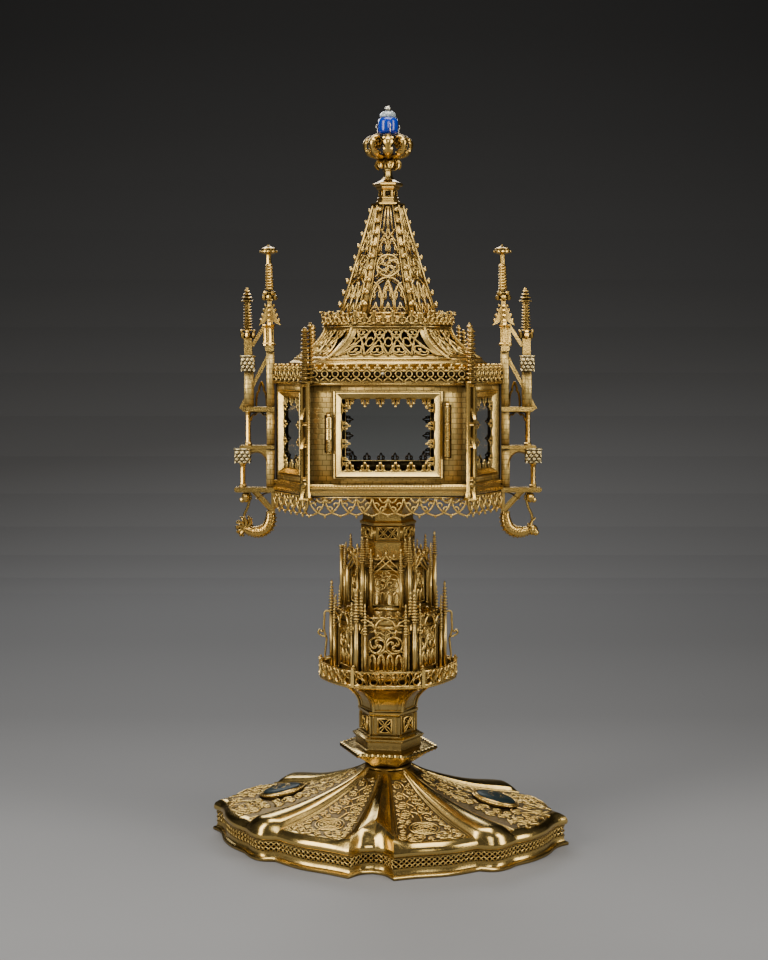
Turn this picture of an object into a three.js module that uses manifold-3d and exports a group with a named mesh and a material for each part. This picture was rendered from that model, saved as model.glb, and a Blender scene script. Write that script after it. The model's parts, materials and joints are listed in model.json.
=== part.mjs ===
// Late Gothic tower monstrance in silver gilt, modelled in millimetres with +Z up.
// The origin is at the centre of the foot's underside. The glazed door faces the front, towards -Y.
import * as THREE from "three";
import Module from "manifold-3d";
import { mergeVertices } from "three/addons/utils/BufferGeometryUtils.js";

const wasm = await Module();
wasm.setup();

// Clearance kept between pieces that touch, and the thickness of the sheet metal.
const gap = 0.3;
const sheet = 1.4;

// Foot: a raised, lobed shell that is turned a little against the tower.
const footTurn = -7.5;
const footHeight = 59;
const footTopRadius = 18.9;
const flangeThickness = 2.5;
const galleryBottom = 7.4;
const galleryTop = 14.8;
const galleryInset = 4.6;
const rimHeight = 23;
const rimInset = 2.4;
const rimSwell = 1.4;
const footWall = 1.6;
const ridgeLift = 3.2;
const footReach = 147.6;
const ridgeAngle = 33;
const ridgeSpread = 8;
const endSpread = 9;
// One quadrant of the outline as angle in degrees and share of the foot's reach.
const footQuadrant = [
  [0, 1],
  [4, 0.942],
  [12, 0.911],
  [19.5, 0.872],
  [26.6, 0.8225],
  [33, 0.811],
  [37.6, 0.783],
  [41.4, 0.722],
  [55, 0.695],
  [70, 0.667],
  [80, 0.685],
  [84, 0.613],
  [90, 0.589],
];
// The dome falls from the top to the rim: share of the way out and share of the rise.
const domeProfile = [
  [0.92, 0.12],
  [0.6, 0.31],
  [0.35, 0.53],
  [0.14, 0.77],
  [0, 1],
];

// Enamel plaques on the two side lobes of the foot.
const plaqueLength = 32;
const plaqueWidth = 23;
const plaqueThickness = 1.6;
const plaqueReach = 88;
const plaqueTilt = 13;
const bezelWall = 1.8;
const bezelHeight = 3.4;
const bezelSeat = 1.2;

// Stem between the foot and the knop.
const collarHeight = 2.6;
const collarRadius = 18.9;
const stemNeckRadius = 19.7;
const bevelHeight = 10;
const ropeRadius = 39;
const ropeHeight = 3.2;
const drumRadius = 27;
const drumHeight = 8;
const stepRadius = 29.5;
const stepHeight = 2.2;
const boxRadius = 23;
const boxHeight = 18.5;
const boxMouldRadius = 24.6;
const boxMouldHeight = 2;
const boxPanel = 12;
const boxPanelDepth = 1;

// Knop: a bowl, a floor with six balconies and two storeys of openwork.
const bowlHeight = 23.6;
const bowlTopRadius = 46;
const knopFloorThickness = 2.5;
const knopFloorRadius = 56;
const balconyBulge = 5;
const parapetHeight = 12.3;
const parapetWall = 1.3;
const balconyOpening = 8;
const lowerStoreyRadius = 42;
const lowerStoreyHeight = 56;
const lowerPostRadius = 46.4;
const lowerPinnacleHeight = 22;
const upperStoreyRadius = 32;
const upperStoreyHeight = 43;
const upperPostRadius = 38;
const upperPinnacleHeight = 19;
const knopPost = 3;
const knopWall = 1.4;
const lightsShare = 0.62;
const hookReach = 11;
const hookWidth = 1.6;

// Upper stem, from the knop to the tower.
const stemUpperRadius = 20.5;
const stemPanelRadius = 21.4;
const stemPanelHeight = 12.5;
const stemPanelDepth = 0.9;
const stemPanelMargin = 1.6;
const corniceRadius = 23;
const corniceHeight = 3;
const funnelRadius = 40;
const funnelHeight = 24;

// Tower: an elongated hexagon whose corners are all 120 degrees.
const towerFront = 61.1;
const towerDepth = 53.5;
const towerWall = 2;
const baseMouldHeight = 9.3;
const baseMouldReach = 3.6;
const hangingHeight = 16.7;
const hangingReach = 2.2;
const hangingPitch = 24;
const crestHeight = 14.5;
const crestReach = 1.6;
const crestPitch = 8.1;
const crestSheet = 1.3;
const deckThickness = 2.5;

// Windows, with their mitred frames and fleur-de-lis cresting.
const windowBottom = 4;
const windowHeight = 69.6;
const wallHead = 6;
const towerWallHeight = windowBottom + windowHeight + wallHead;
const frontFrame = 43;
const sideFrame = 21.5;
const frameWidth = 6.8;
const frameDepth = 3.4;
const frameLip = 1.4;
const fleurLength = 4;
const fleurPitch = 12.4;
const fleurSheet = 1;
const glassThickness = 1.4;
const windowRebate = 2.2;

// Hinge on the right of the door and latch on its left.
const barrelPlace = 46.2;
const barrelRadius = 2.4;
const barrelOut = 3.1;
const pinRadius = 1.1;
const webHalf = 0.9;
const webStep = 0.2;
const webRoot = 0.5;
const hingeBottom = 21.5;
const hingeHeight = 40;
const latchBottom = 25.7;
const latchHeight = 27.2;
const pinHeadRadius = 2.2;
const pinHeadHeight = 3.4;

// Slender buttresses at the four broad corners.
const cornerPost = 5.6;
const cornerPostBottom = -12;
const cornerPostTop = 127;
const cornerPinnacle = 28;
const tieHalf = 1.3;
const tieStep = 0.9;
const tieHeights = [6, 70];

// Flying buttresses at the two side corners, with heights above the tower's floor level.
const pierOut = 3.7;
const pierWidth = 7;
const pierDepth = 6;
const innerPinnacleTop = 191;
const outerPierOut = 21.2;
const outerPierWidth = 6;
const outerPinnacleTop = 156.4;
const lowerColumnOut = 27.9;
const lowerColumnWidth = 5.2;
const slabThickness = 3.2;
const slabReach = 34.4;
const middleSlab = 24.4;
const upperSlab = 55.4;
const bottomSlab = -10.8;
const scaleBlock = 13.6;
const strutWidth = 3;
const strutDepth = 3.4;
const buttressLean = 0.02;
// The tiers of a flying buttress, as heights above the tower's floor level.
const innerShoulder = 108;
const hoodBottom = 125;
const hoodTop = 142;
const hoodFoot = 9;
const hoodHead = 4;
const pinnacleWidth = 7.2;
const outerShoulder = 113;
const blockBottom = 87;
const blockOffset = 1.8;
const blockDepth = 8;
const upperStrutFoot = 108;
const lowerStrutHead = 104;
const lowerStrutFoot = 58;
const middleColumnOffset = 2.6;

// Dragons under the flying buttresses.
const dragonOut = 15.9;
const bracketDrop = 18;
const dragonRadius = 10;
const dragonBody = 5.6;
const dragonStem = 5;
const dragonStemWidth = 2.8;

// Lower roof with its leaf cresting.
const skirtHeight = 15;
const roofBaseFront = 48.4;
const roofBaseDepth = 47.6;
const roofTopFront = 28.7;
const roofTopDepth = 38.6;
const roofHeight = 28;
const roofFlare = 0.62;
const roofRib = 3.4;
const roofBars = 3;
const roofBarWidth = 1.8;
const leafCrestHeight = 12.6;
const leafCrestPitch = 7.2;

// Spire: a regular hexagonal pyramid, pierced on each side, with crockets on its ribs.
const spireRadius = 42;
const spireTopRadius = 12.3;
const spireHeight = 96;
const spireRib = 3.4;
const crocketCount = 9;
const crocketReach = 3.2;
const crocketSheet = 2.2;

// Finial with its column, neck, leaf capital, glass bead and knob.
const finialBaseRadius = 13.9;
const finialBaseHeight = 2.4;
const finialColumnRadius = 7.6;
const finialColumnHeight = 13;
const finialFlangeRadius = 12.3;
const finialFlangeHeight = 3.4;
const finialNeckRadius = 3.4;
const finialNeckHeight = 10.5;
const leafCollarRadius = 9.8;
const leafCollarHeight = 7.4;
const capitalHeight = 20;
const capitalReach = 19.7;
const capitalLeaves = 6;
const capitalLeafWidth = 5;
const beadRadius = 8.2;
const beadHeight = 13;
const beadCapRadius = 6.1;
const beadCapHeight = 5.4;
const knobRadius = 2.6;
const knobHeight = 4.2;

// Materials, one for each kind of surface.
const metal = (color, roughness) => new THREE.MeshStandardMaterial({ color, roughness, metalness: 1 });
const gilt = metal(0xb8924a, 0.34);
const darkGilt = metal(0x8a6a34, 0.42);
const silver = metal(0xcfc8b8, 0.3);
const windowGlass = new THREE.MeshStandardMaterial({
  color: 0xdfe6e4,
  roughness: 0.05,
  metalness: 0,
  transparent: true,
  opacity: 0.25,
});
const blueGlass = new THREE.MeshStandardMaterial({ color: 0x1c4fc4, roughness: 0.1, metalness: 0 });
const greyGlass = new THREE.MeshStandardMaterial({ color: 0x9aa6b0, roughness: 0.12, metalness: 0 });
const enamel = new THREE.MeshStandardMaterial({ color: 0x141c1e, roughness: 0.25, metalness: 0 });

const mergeTolerance = 1e-4;
const cornerPostOut = baseMouldReach / Math.cos(Math.PI / 6) + cornerPost / 2 + gap;
const slope = Math.tan(Math.PI / 6);
const radians = THREE.MathUtils.degToRad;
const up = new THREE.Vector3(0, 0, 1);

// A closed geometry becomes a solid that can be joined and cut.
function solid(geometry) {
  const bare = geometry.index ? geometry.toNonIndexed() : geometry.clone();
  bare.deleteAttribute("normal");
  bare.deleteAttribute("uv");
  const merged = mergeVertices(bare, mergeTolerance);
  const corners = merged.index.array;
  const kept = [];
  for (let i = 0; i < corners.length; i += 3) {
    const [a, b, c] = [corners[i], corners[i + 1], corners[i + 2]];
    if (a !== b && b !== c && c !== a) {
      kept.push(a, b, c);
    }
  }
  const vertProperties = new Float32Array(merged.attributes.position.array);
  const triVerts = new Uint32Array(kept);
  return new wasm.Manifold(new wasm.Mesh({ numProp: 3, vertProperties, triVerts }));
}

// Many solids joined into one.
function join(...bodies) {
  return bodies.flat(Infinity).reduce((whole, body) => whole.add(body));
}

// A solid as a geometry.
function geometryOf(body) {
  const { vertProperties, triVerts } = body.getMesh();
  const geometry = new THREE.BufferGeometry();
  geometry.setAttribute("position", new THREE.BufferAttribute(vertProperties, 3));
  geometry.setIndex(new THREE.BufferAttribute(triVerts, 1));
  return geometry;
}

// A solid moved by a matrix.
function moved(body, matrix) {
  return solid(geometryOf(body).applyMatrix4(matrix));
}

// A solid turned about the upright axis, in degrees.
function turned(body, angle) {
  return moved(body, new THREE.Matrix4().makeRotationZ(radians(angle)));
}

// A solid shifted along the three axes.
function shifted(body, x, y, z) {
  return moved(body, new THREE.Matrix4().makeTranslation(x, y, z));
}

// A solid as a named mesh.
function named(name, body, material) {
  const geometry = geometryOf(body);
  geometry.computeVertexNormals();
  const mesh = new THREE.Mesh(geometry, material);
  mesh.name = name;
  return mesh;
}

// A skin through rings of points that run anticlockwise, with flat ends.
function loft(rings) {
  const count = rings[0].length;
  const last = rings.length - 1;
  const positions = [];
  const add = (...points) => points.forEach((p) => positions.push(p.x, p.y, p.z));
  for (let k = 0; k < last; k += 1) {
    for (let j = 0; j < count; j += 1) {
      const next = (j + 1) % count;
      const [a, b] = [rings[k], rings[k + 1]];
      add(a[j], a[next], b[next]);
      add(a[j], b[next], b[j]);
    }
  }
  for (let j = 1; j < count - 1; j += 1) {
    add(rings[0][0], rings[0][j + 1], rings[0][j]);
    add(rings[last][0], rings[last][j], rings[last][j + 1]);
  }
  const geometry = new THREE.BufferGeometry();
  geometry.setAttribute("position", new THREE.Float32BufferAttribute(positions, 3));
  return solid(geometry);
}

// Points of a regular outline, anticlockwise from the given angle.
function regular(sides, radius, turn = 0) {
  return Array.from({ length: sides }, (_, i) => {
    const angle = radians(turn) + (i * 2 * Math.PI) / sides;
    return [radius * Math.cos(angle), radius * Math.sin(angle)];
  });
}

// The elongated hexagon from its front half-width and half-depth, anticlockwise from the right.
function longHexagon(front, depth) {
  const side = front + depth * slope;
  return [
    [side, 0],
    [front, depth],
    [-front, depth],
    [-side, 0],
    [-front, -depth],
    [front, -depth],
  ];
}

// The tower's own outline, moved out by an offset.
function towerOutline(offset) {
  return longHexagon(towerFront + offset * slope, towerDepth + offset);
}

// An outline at a height.
function level(outline, z) {
  return outline.map(([x, y]) => new THREE.Vector3(x, y, z));
}

// A turned or stepped body from pairs of radius and height, on a regular outline.
function stack(sides, turn, profile) {
  return loft(profile.map(([radius, z]) => level(regular(sides, radius, turn), z)));
}

// A moulding that runs round the tower from pairs of offset and height.
function towerStack(profile) {
  return loft(profile.map(([offset, z]) => level(towerOutline(offset), z)));
}

// A flat outline given depth along its own Z, then placed by a matrix.
function plate(points, depth, matrix = new THREE.Matrix4(), holes = []) {
  const shape = new THREE.Shape(points.map(([u, v]) => new THREE.Vector2(u, v)));
  shape.holes = holes.map((hole) => new THREE.Path(hole.map(([u, v]) => new THREE.Vector2(u, v))));
  const geometry = new THREE.ExtrudeGeometry(shape, { depth, bevelEnabled: false, steps: 1 });
  return solid(geometry.applyMatrix4(matrix));
}

// A box between two corners.
function block([x0, y0, z0], [x1, y1, z1]) {
  const geometry = new THREE.BoxGeometry(x1 - x0, y1 - y0, z1 - z0);
  return solid(geometry.translate((x0 + x1) / 2, (y0 + y1) / 2, (z0 + z1) / 2));
}

// The frame of a face: u runs along its foot, v up it and w out of it, from the middle of its foot.
function faceMatrix(from, to, rise, outward = 0) {
  const u = to.clone().sub(from).normalize();
  const v = rise.clone().sub(u.clone().multiplyScalar(rise.dot(u))).normalize();
  const w = u.clone().cross(v);
  const origin = from.clone().add(to).multiplyScalar(0.5).add(w.clone().multiplyScalar(outward));
  return new THREE.Matrix4().makeBasis(u, v, w).setPosition(origin);
}

// The faces of a ring, each with its matrix and length; the rise leads from the ring to the ring above.
function facesOf(ring, above, outward = 0) {
  return ring.map((from, i) => {
    const next = (i + 1) % ring.length;
    const to = ring[next];
    const foot = from.clone().add(to).multiplyScalar(0.5);
    const head = above[i].clone().add(above[next]).multiplyScalar(0.5);
    const rise = head.sub(foot);
    const matrix = faceMatrix(from, to, rise, outward);
    return { matrix, length: from.distanceTo(to), height: rise.length() };
  });
}

// Upright faces of an outline.
function wallFaces(outline, z, outward = 0) {
  const ring = level(outline, z);
  return facesOf(ring, ring.map((p) => p.clone().add(up)), outward);
}

// A thin band that runs round an outline. Each face's border and holes are drawn flat, in millimetres along
// the face and up it, and its two upright ends are shared with the neighbouring faces. Borders run
// anticlockwise and holes clockwise.
function band(outerOutline, innerOutline, z, draw) {
  const positions = [];
  const add = (...points) => points.forEach((p) => positions.push(p.x, p.y, p.z));
  outerOutline.forEach((from, i) => {
    const next = (i + 1) % outerOutline.length;
    const length = Math.hypot(outerOutline[next][0] - from[0], outerOutline[next][1] - from[1]);
    const { border, holes } = draw(length);
    const place = (outline) => ([u, v]) => {
      const share = u / length;
      const [a, b] = [outline[i], outline[next]];
      return new THREE.Vector3(a[0] + (b[0] - a[0]) * share, a[1] + (b[1] - a[1]) * share, z + v);
    };
    const flat = [border, ...holes].map((loop) => loop.map(([u, v]) => new THREE.Vector2(u, v)));
    const points = [border, ...holes].flat();
    const outer = points.map(place(outerOutline));
    const inner = points.map(place(innerOutline));
    for (const [a, b, c] of THREE.ShapeUtils.triangulateShape(flat[0], flat.slice(1))) {
      add(outer[a], outer[b], outer[c]);
      add(inner[a], inner[c], inner[b]);
    }
    let first = 0;
    for (const loop of [border, ...holes]) {
      loop.forEach(([u], k) => {
        const after = (k + 1) % loop.length;
        const isEnd = (u === 0 && loop[after][0] === 0) || (u === length && loop[after][0] === length);
        if (!isEnd) {
          const [a, b] = [first + k, first + after];
          add(outer[a], inner[a], inner[b]);
          add(outer[a], inner[b], outer[b]);
        }
      });
      first += loop.length;
    }
  });
  const geometry = new THREE.BufferGeometry();
  geometry.setAttribute("position", new THREE.Float32BufferAttribute(positions, 3));
  return solid(geometry);
}

// A cresting's border along one face: a straight foot and a row of points above it.
function crestBorder(length, pitch, low, high) {
  const bays = Math.max(1, Math.round(length / pitch));
  const step = length / bays;
  const border = [[0, 0], [length, 0], [length, low]];
  for (let i = bays - 1; i >= 0; i -= 1) {
    border.push([(i + 0.5) * step, high]);
    border.push([i * step, low]);
  }
  return border;
}

// A pointed window outline: a rectangle under two sloping sides.
function pointed(centre, halfWidth, bottom, top, spring = 0.7) {
  const shoulder = bottom + (top - bottom) * spring;
  return [
    [centre - halfWidth, bottom],
    [centre + halfWidth, bottom],
    [centre + halfWidth, shoulder],
    [centre, top],
    [centre - halfWidth, shoulder],
  ];
}

// A square pinnacle with a hood and a leafy knob, from its foot to its tip.
function pinnacle(x, y, bottom, top, width, turn = 0) {
  const tall = top - bottom;
  const half = width * Math.SQRT1_2;
  const profile = [
    [half * 0.8, bottom],
    [half * 1.15, bottom + tall * 0.16],
    [half * 0.55, bottom + tall * 0.34],
    [half * 0.75, bottom + tall * 0.84],
    [half * 0.2, top],
  ];
  return shifted(stack(4, turn + 45, profile), x, y, 0);
}

// Heights where the pieces meet, each worked out from the pieces below.
const collarBottom = footHeight + gap;
const stemBottom = collarBottom + collarHeight + gap;
const ropeBottom = stemBottom + bevelHeight + 2;
const drumBottom = ropeBottom + ropeHeight;
const stepBottom = drumBottom + drumHeight;
const boxBottom = stepBottom + stepHeight;
const boxTop = boxBottom + boxHeight;
const bowlBottom = boxTop + boxMouldHeight + gap;
const knopFloorBottom = bowlBottom + bowlHeight + gap;
const storeyBottom = knopFloorBottom + knopFloorThickness + gap;
const lowerStoreyTop = storeyBottom + lowerStoreyHeight;
const upperStoreyBottom = lowerStoreyTop + gap;
const upperStoreyTop = upperStoreyBottom + upperStoreyHeight;
const stemPanelBottom = upperStoreyTop + 12;
const corniceBottom = stemPanelBottom + stemPanelHeight;
const funnelBottom = corniceBottom + corniceHeight;
const baseBottom = funnelBottom + funnelHeight + gap;
const wallBottom = baseBottom + baseMouldHeight + gap;
const wallTop = wallBottom + towerWallHeight;
const deckBottom = wallTop + gap;
const deckTop = deckBottom + deckThickness;
const skirtBottom = deckTop + gap;
const eaves = skirtBottom + skirtHeight;
const roofTop = eaves + roofHeight;
const spireBottom = roofTop + gap;
const spireTop = spireBottom + spireHeight;
const finialBottom = spireTop + gap;
const finialColumnBottom = finialBottom + finialBaseHeight;
const finialFlangeBottom = finialColumnBottom + finialColumnHeight;
const finialNeckBottom = finialFlangeBottom + finialFlangeHeight;
const leafCollarBottom = finialNeckBottom + finialNeckHeight + gap;
const capitalBottom = leafCollarBottom + leafCollarHeight + gap;
const beadBottom = capitalBottom + capitalHeight + 1;
const capBottom = beadBottom + beadHeight + gap;
const knobBottom = capBottom + beadCapHeight + gap;

// The foot's outline from its quadrant, mirrored into all four.
function footOutline() {
  const first = footQuadrant.map(([angle, share]) => [angle, share * footReach]);
  const second = first.slice(1, -1).map(([angle, radius]) => [180 - angle, radius]).reverse();
  const half = [...first, ...second];
  return [...half, ...half.map(([angle, radius]) => [angle + 180, radius])];
}

// How far a ridge lifts the dome at an angle: over the four small lobes and the two concave ends.
function ridge(angle) {
  const folded = Math.abs(((angle % 180) + 180) % 180 - 90);
  const overLobe = Math.max(0, 1 - Math.abs(folded - (90 - ridgeAngle)) / ridgeSpread);
  const overEnd = Math.max(0, 1 - folded / endSpread);
  return Math.max(overLobe, overEnd);
}

// One ring of the foot at a share of the way out, lowered by a depth for the inside.
function domeRing(share, rise, depth) {
  return footOutline().map(([angle, radius]) => {
    const rim = radius - rimInset - depth;
    const inner = footTopRadius - depth;
    const reach = inner + (rim - inner) * share;
    const lift = ridgeLift * ridge(angle) * 4 * share * (1 - share);
    const z = rimHeight + (footHeight - rimHeight) * rise + lift - depth;
    const turn = radians(angle);
    return new THREE.Vector3(reach * Math.cos(turn), reach * Math.sin(turn), z);
  });
}

// One ring of the rim, at an inset from the outline.
function rimRing(inset, z) {
  return footOutline().map(([angle, radius]) => {
    const turn = radians(angle);
    return new THREE.Vector3((radius - inset) * Math.cos(turn), (radius - inset) * Math.sin(turn), z);
  });
}

// The matrix of an enamel plaque's seat on the right or left lobe.
function plaqueMatrix(side) {
  const share = (plaqueReach - footTopRadius) / (footQuadrant[2][1] * footReach - rimInset - footTopRadius);
  const [outer, inner] = [domeProfile[0], domeProfile[1]];
  const mix = (share - inner[0]) / (outer[0] - inner[0]);
  const rise = inner[1] + (outer[1] - inner[1]) * mix;
  const z = rimHeight + (footHeight - rimHeight) * rise;
  const turned = new THREE.Matrix4().makeRotationZ(side > 0 ? 0 : Math.PI);
  const tilted = new THREE.Matrix4().makeRotationY(radians(plaqueTilt));
  return turned.multiply(new THREE.Matrix4().makeTranslation(plaqueReach, 0, z)).multiply(tilted);
}

// An oval outline.
function oval(length, width, points = 10) {
  return regular(points, 0.5).map(([x, y]) => [x * length, y * width]);
}

function makeFoot() {
  const inside = domeProfile.filter((_, i) => i % 2 === 0 && i > 0).reverse();
  const outside = domeProfile;
  const body = loft([
    ...inside.map(([share, rise]) => domeRing(share, rise, footWall)),
    domeRing(1, 0, footWall + galleryInset - rimInset),
    rimRing(galleryInset + footWall, 0),
    rimRing(0, 0),
    rimRing(0, flangeThickness),
    rimRing(galleryInset, galleryBottom),
    rimRing(galleryInset, galleryTop),
    rimRing(rimInset - rimSwell, (galleryTop + rimHeight) / 2),
    domeRing(1, 0, 0),
    ...outside.map(([share, rise]) => domeRing(share, rise, 0)),
  ]);
  const seats = [1, -1].map((side) => {
    const matrix = plaqueMatrix(side);
    const outer = oval(plaqueLength + 2 * bezelWall, plaqueWidth + 2 * bezelWall);
    const sunk = new THREE.Matrix4().makeTranslation(0, 0, -bezelSeat);
    return plate(outer, bezelHeight + bezelSeat, matrix.clone().multiply(sunk));
  });
  const pockets = [1, -1].map((side) => {
    const outline = oval(plaqueLength + 2 * gap, plaqueWidth + 2 * gap);
    const raised = new THREE.Matrix4().makeTranslation(0, 0, bezelHeight - plaqueThickness - gap);
    return plate(outline, bezelHeight, plaqueMatrix(side).multiply(raised));
  });
  return pockets.reduce((whole, pocket) => whole.subtract(pocket), join(body, seats));
}

function makePlaque() {
  return plate(oval(plaqueLength, plaqueWidth), plaqueThickness);
}

function makeCollar() {
  const [low, high] = [collarBottom, collarBottom + collarHeight];
  return stack(16, 0, [
    [collarRadius - 1.2, low],
    [collarRadius, low + collarHeight * 0.35],
    [collarRadius, low + collarHeight * 0.65],
    [collarRadius - 1.6, high],
  ]);
}

// Square sunk panels on the faces of a hexagonal stem.
function sunkPanels(radius, bottom, size, width, depth) {
  return wallFaces(regular(6, radius), bottom, -depth).map(({ matrix }) => {
    const half = width / 2;
    return plate(rectangle(half, 0, size), depth + 1, matrix);
  });
}

function makeLowerStem() {
  const body = stack(6, 0, [
    [stemNeckRadius - 2, stemBottom],
    [stemNeckRadius, stemBottom + 2],
    [ropeRadius - 2, ropeBottom],
    [ropeRadius, ropeBottom + 0.8],
    [ropeRadius, drumBottom - 0.8],
    [ropeRadius - 2, drumBottom],
    [drumRadius, drumBottom + 0.8],
    [drumRadius, stepBottom],
    [stepRadius, stepBottom + 0.6],
    [stepRadius, boxBottom - 0.4],
    [boxRadius, boxBottom],
    [boxRadius, boxTop],
    [boxMouldRadius, boxTop + 0.6],
    [boxMouldRadius, boxTop + boxMouldHeight],
  ]);
  const margin = (boxHeight - boxPanel) / 2;
  const panels = sunkPanels(boxRadius, boxBottom + margin, boxPanel, boxPanel, boxPanelDepth);
  return panels.reduce((whole, panel) => whole.subtract(panel), body);
}

// The bowl flares like a trumpet: the radius grows with the cube of the height.
function makeBowl() {
  const steps = 5;
  const profile = Array.from({ length: steps + 1 }, (_, i) => {
    const share = i / steps;
    return [boxRadius + (bowlTopRadius - boxRadius) * share ** 2.6, bowlBottom + bowlHeight * share];
  });
  return stack(6, 0, profile);
}

// The knop floor's outline: a hexagon whose six sides swell into shallow arcs.
function floorOutline(inset) {
  const corners = regular(6, knopFloorRadius - inset);
  const steps = 3;
  return corners.flatMap(([x0, y0], i) => {
    const [x1, y1] = corners[(i + 1) % 6];
    const out = new THREE.Vector2((x0 + x1) / 2, (y0 + y1) / 2).normalize();
    return Array.from({ length: steps }, (_, k) => {
      const share = k / steps;
      const bulge = k === 0 ? 0 : balconyBulge * Math.sqrt(Math.sin(Math.PI * share));
      return [x0 + (x1 - x0) * share + out.x * bulge, y0 + (y1 - y0) * share + out.y * bulge];
    });
  });
}

function makeKnopFloor() {
  const lifted = new THREE.Matrix4().makeTranslation(0, 0, knopFloorBottom);
  const wall = plate(floorOutline(0), knopFloorThickness + parapetHeight, lifted);
  const inside = new THREE.Matrix4().makeTranslation(0, 0, knopFloorBottom + knopFloorThickness);
  const room = plate(floorOutline(parapetWall), parapetHeight + 1, inside);
  const faces = wallFaces(regular(6, knopFloorRadius), knopFloorBottom + knopFloorThickness);
  const pierced = faces.flatMap(({ matrix }) => {
    const low = parapetHeight * 0.16;
    const high = parapetHeight * 0.8;
    return [-12, 12].map((centre) => {
      const diamond = [
        [centre - balconyOpening, (low + high) / 2],
        [centre, low],
        [centre + balconyOpening, (low + high) / 2],
        [centre, high],
      ];
      const back = new THREE.Matrix4().makeTranslation(0, 0, -3);
      return plate(diamond, balconyBulge + 6, matrix.clone().multiply(back));
    });
  });
  return [room, ...pierced].reduce((whole, cut) => whole.subtract(cut), wall);
}

// One storey of the knop: a hollow hexagon with windows, gables, corner posts and pinnacles.
function makeStorey({ radius, bottom, height, postRadius, pinnacleHeight, lights, roundels, inner }) {
  const top = bottom + height;
  const tube = stack(6, 0, [
    [radius, bottom],
    [radius, top],
  ]);
  const room = stack(6, 0, [
    [inner, bottom - 1],
    [inner, top + 1],
  ]);
  const faces = wallFaces(regular(6, radius), bottom, -knopWall * 3);
  const light = (radius * lightsShare) / lights;
  const sill = height * 0.16;
  const spring = height * 0.48;
  const openings = faces.flatMap(({ matrix }) => {
    const lancets = Array.from({ length: lights }, (_, i) => {
      const centre = (i - (lights - 1) / 2) * light * 1.08;
      return plate(pointed(centre, light * 0.36, sill, spring), knopWall * 6, matrix);
    });
    const eyes = Array.from({ length: roundels }, (_, i) => {
      const centre = (i - (roundels - 1) / 2) * radius * 0.33;
      const size = roundels > 1 ? radius * 0.125 : radius * 0.19;
      const outline = regular(5, size, 18).map(([u, v]) => [u + centre, v + height * 0.64]);
      return plate(outline, knopWall * 6, matrix);
    });
    return [...lancets, ...eyes];
  });
  const gables = wallFaces(regular(6, radius), top, -0.2).map(({ matrix }) => {
    const half = radius * 0.4;
    const rise = pinnacleHeight * 0.42;
    const outline = [
      [-half, -height * 0.1],
      [half, -height * 0.1],
      [half * 0.25, rise * 0.3],
      [0, rise],
      [-half * 0.25, rise * 0.3],
    ];
    return plate(outline, 1.6, matrix);
  });
  const posts = regular(6, postRadius).flatMap(([x, y], i) => {
    const turn = i * 60;
    const half = knopPost / 2;
    const fin = block([radius - 2, -half, bottom], [postRadius + half, half, top - height * 0.14]);
    const tip = top + pinnacleHeight * (i % 2 ? 1 : 0.86);
    const tall = pinnacle(x, y, top - height * 0.2, tip, knopPost + 0.4, turn);
    return [turned(fin, turn), tall];
  });
  return join(openings.reduce((body, cut) => body.subtract(cut), tube.subtract(room)), gables, posts);
}

// The bent wire brackets at the two sides of the lower storey.
function makeHooks() {
  const out = lowerPostRadius;
  const low = storeyBottom + parapetHeight + gap;
  const middle = storeyBottom + lowerStoreyHeight * 0.56;
  const high = storeyBottom + lowerStoreyHeight * 0.92;
  const outline = [
    [out, low],
    [out + hookReach * 0.45, low],
    [out + hookReach * 0.45, middle - hookWidth],
    [out + hookReach, middle - hookWidth],
    [out + hookReach, middle],
    [out + hookReach * 0.6, middle],
    [out + hookReach * 0.6, high],
    [out, high],
    [out, high - hookWidth],
    [out + hookReach * 0.6 - hookWidth, high - hookWidth],
    [out + hookReach * 0.6 - hookWidth, middle],
    [out + hookReach * 0.45 - hookWidth, middle - hookWidth],
    [out + hookReach * 0.45 - hookWidth, low + hookWidth],
    [out, low + hookWidth],
  ];
  const upright = new THREE.Matrix4().makeRotationX(Math.PI / 2);
  upright.setPosition(0, hookWidth / 2, 0);
  const right = plate(outline, hookWidth, upright);
  return [right, turned(right, 180)];
}

function makeLowerStorey() {
  const storey = makeStorey({
    radius: lowerStoreyRadius,
    bottom: storeyBottom,
    height: lowerStoreyHeight,
    postRadius: lowerPostRadius,
    pinnacleHeight: lowerPinnacleHeight,
    lights: 2,
    roundels: 2,
    inner: lowerStoreyRadius - knopWall * 1.6,
  });
  return join(storey, makeHooks());
}

function makeUpperStorey() {
  return makeStorey({
    radius: upperStoreyRadius,
    bottom: upperStoreyBottom,
    height: upperStoreyHeight,
    postRadius: upperPostRadius,
    pinnacleHeight: upperPinnacleHeight,
    lights: 1,
    roundels: 1,
    inner: upperStoreyRadius - knopWall * 1.6,
  });
}

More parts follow.
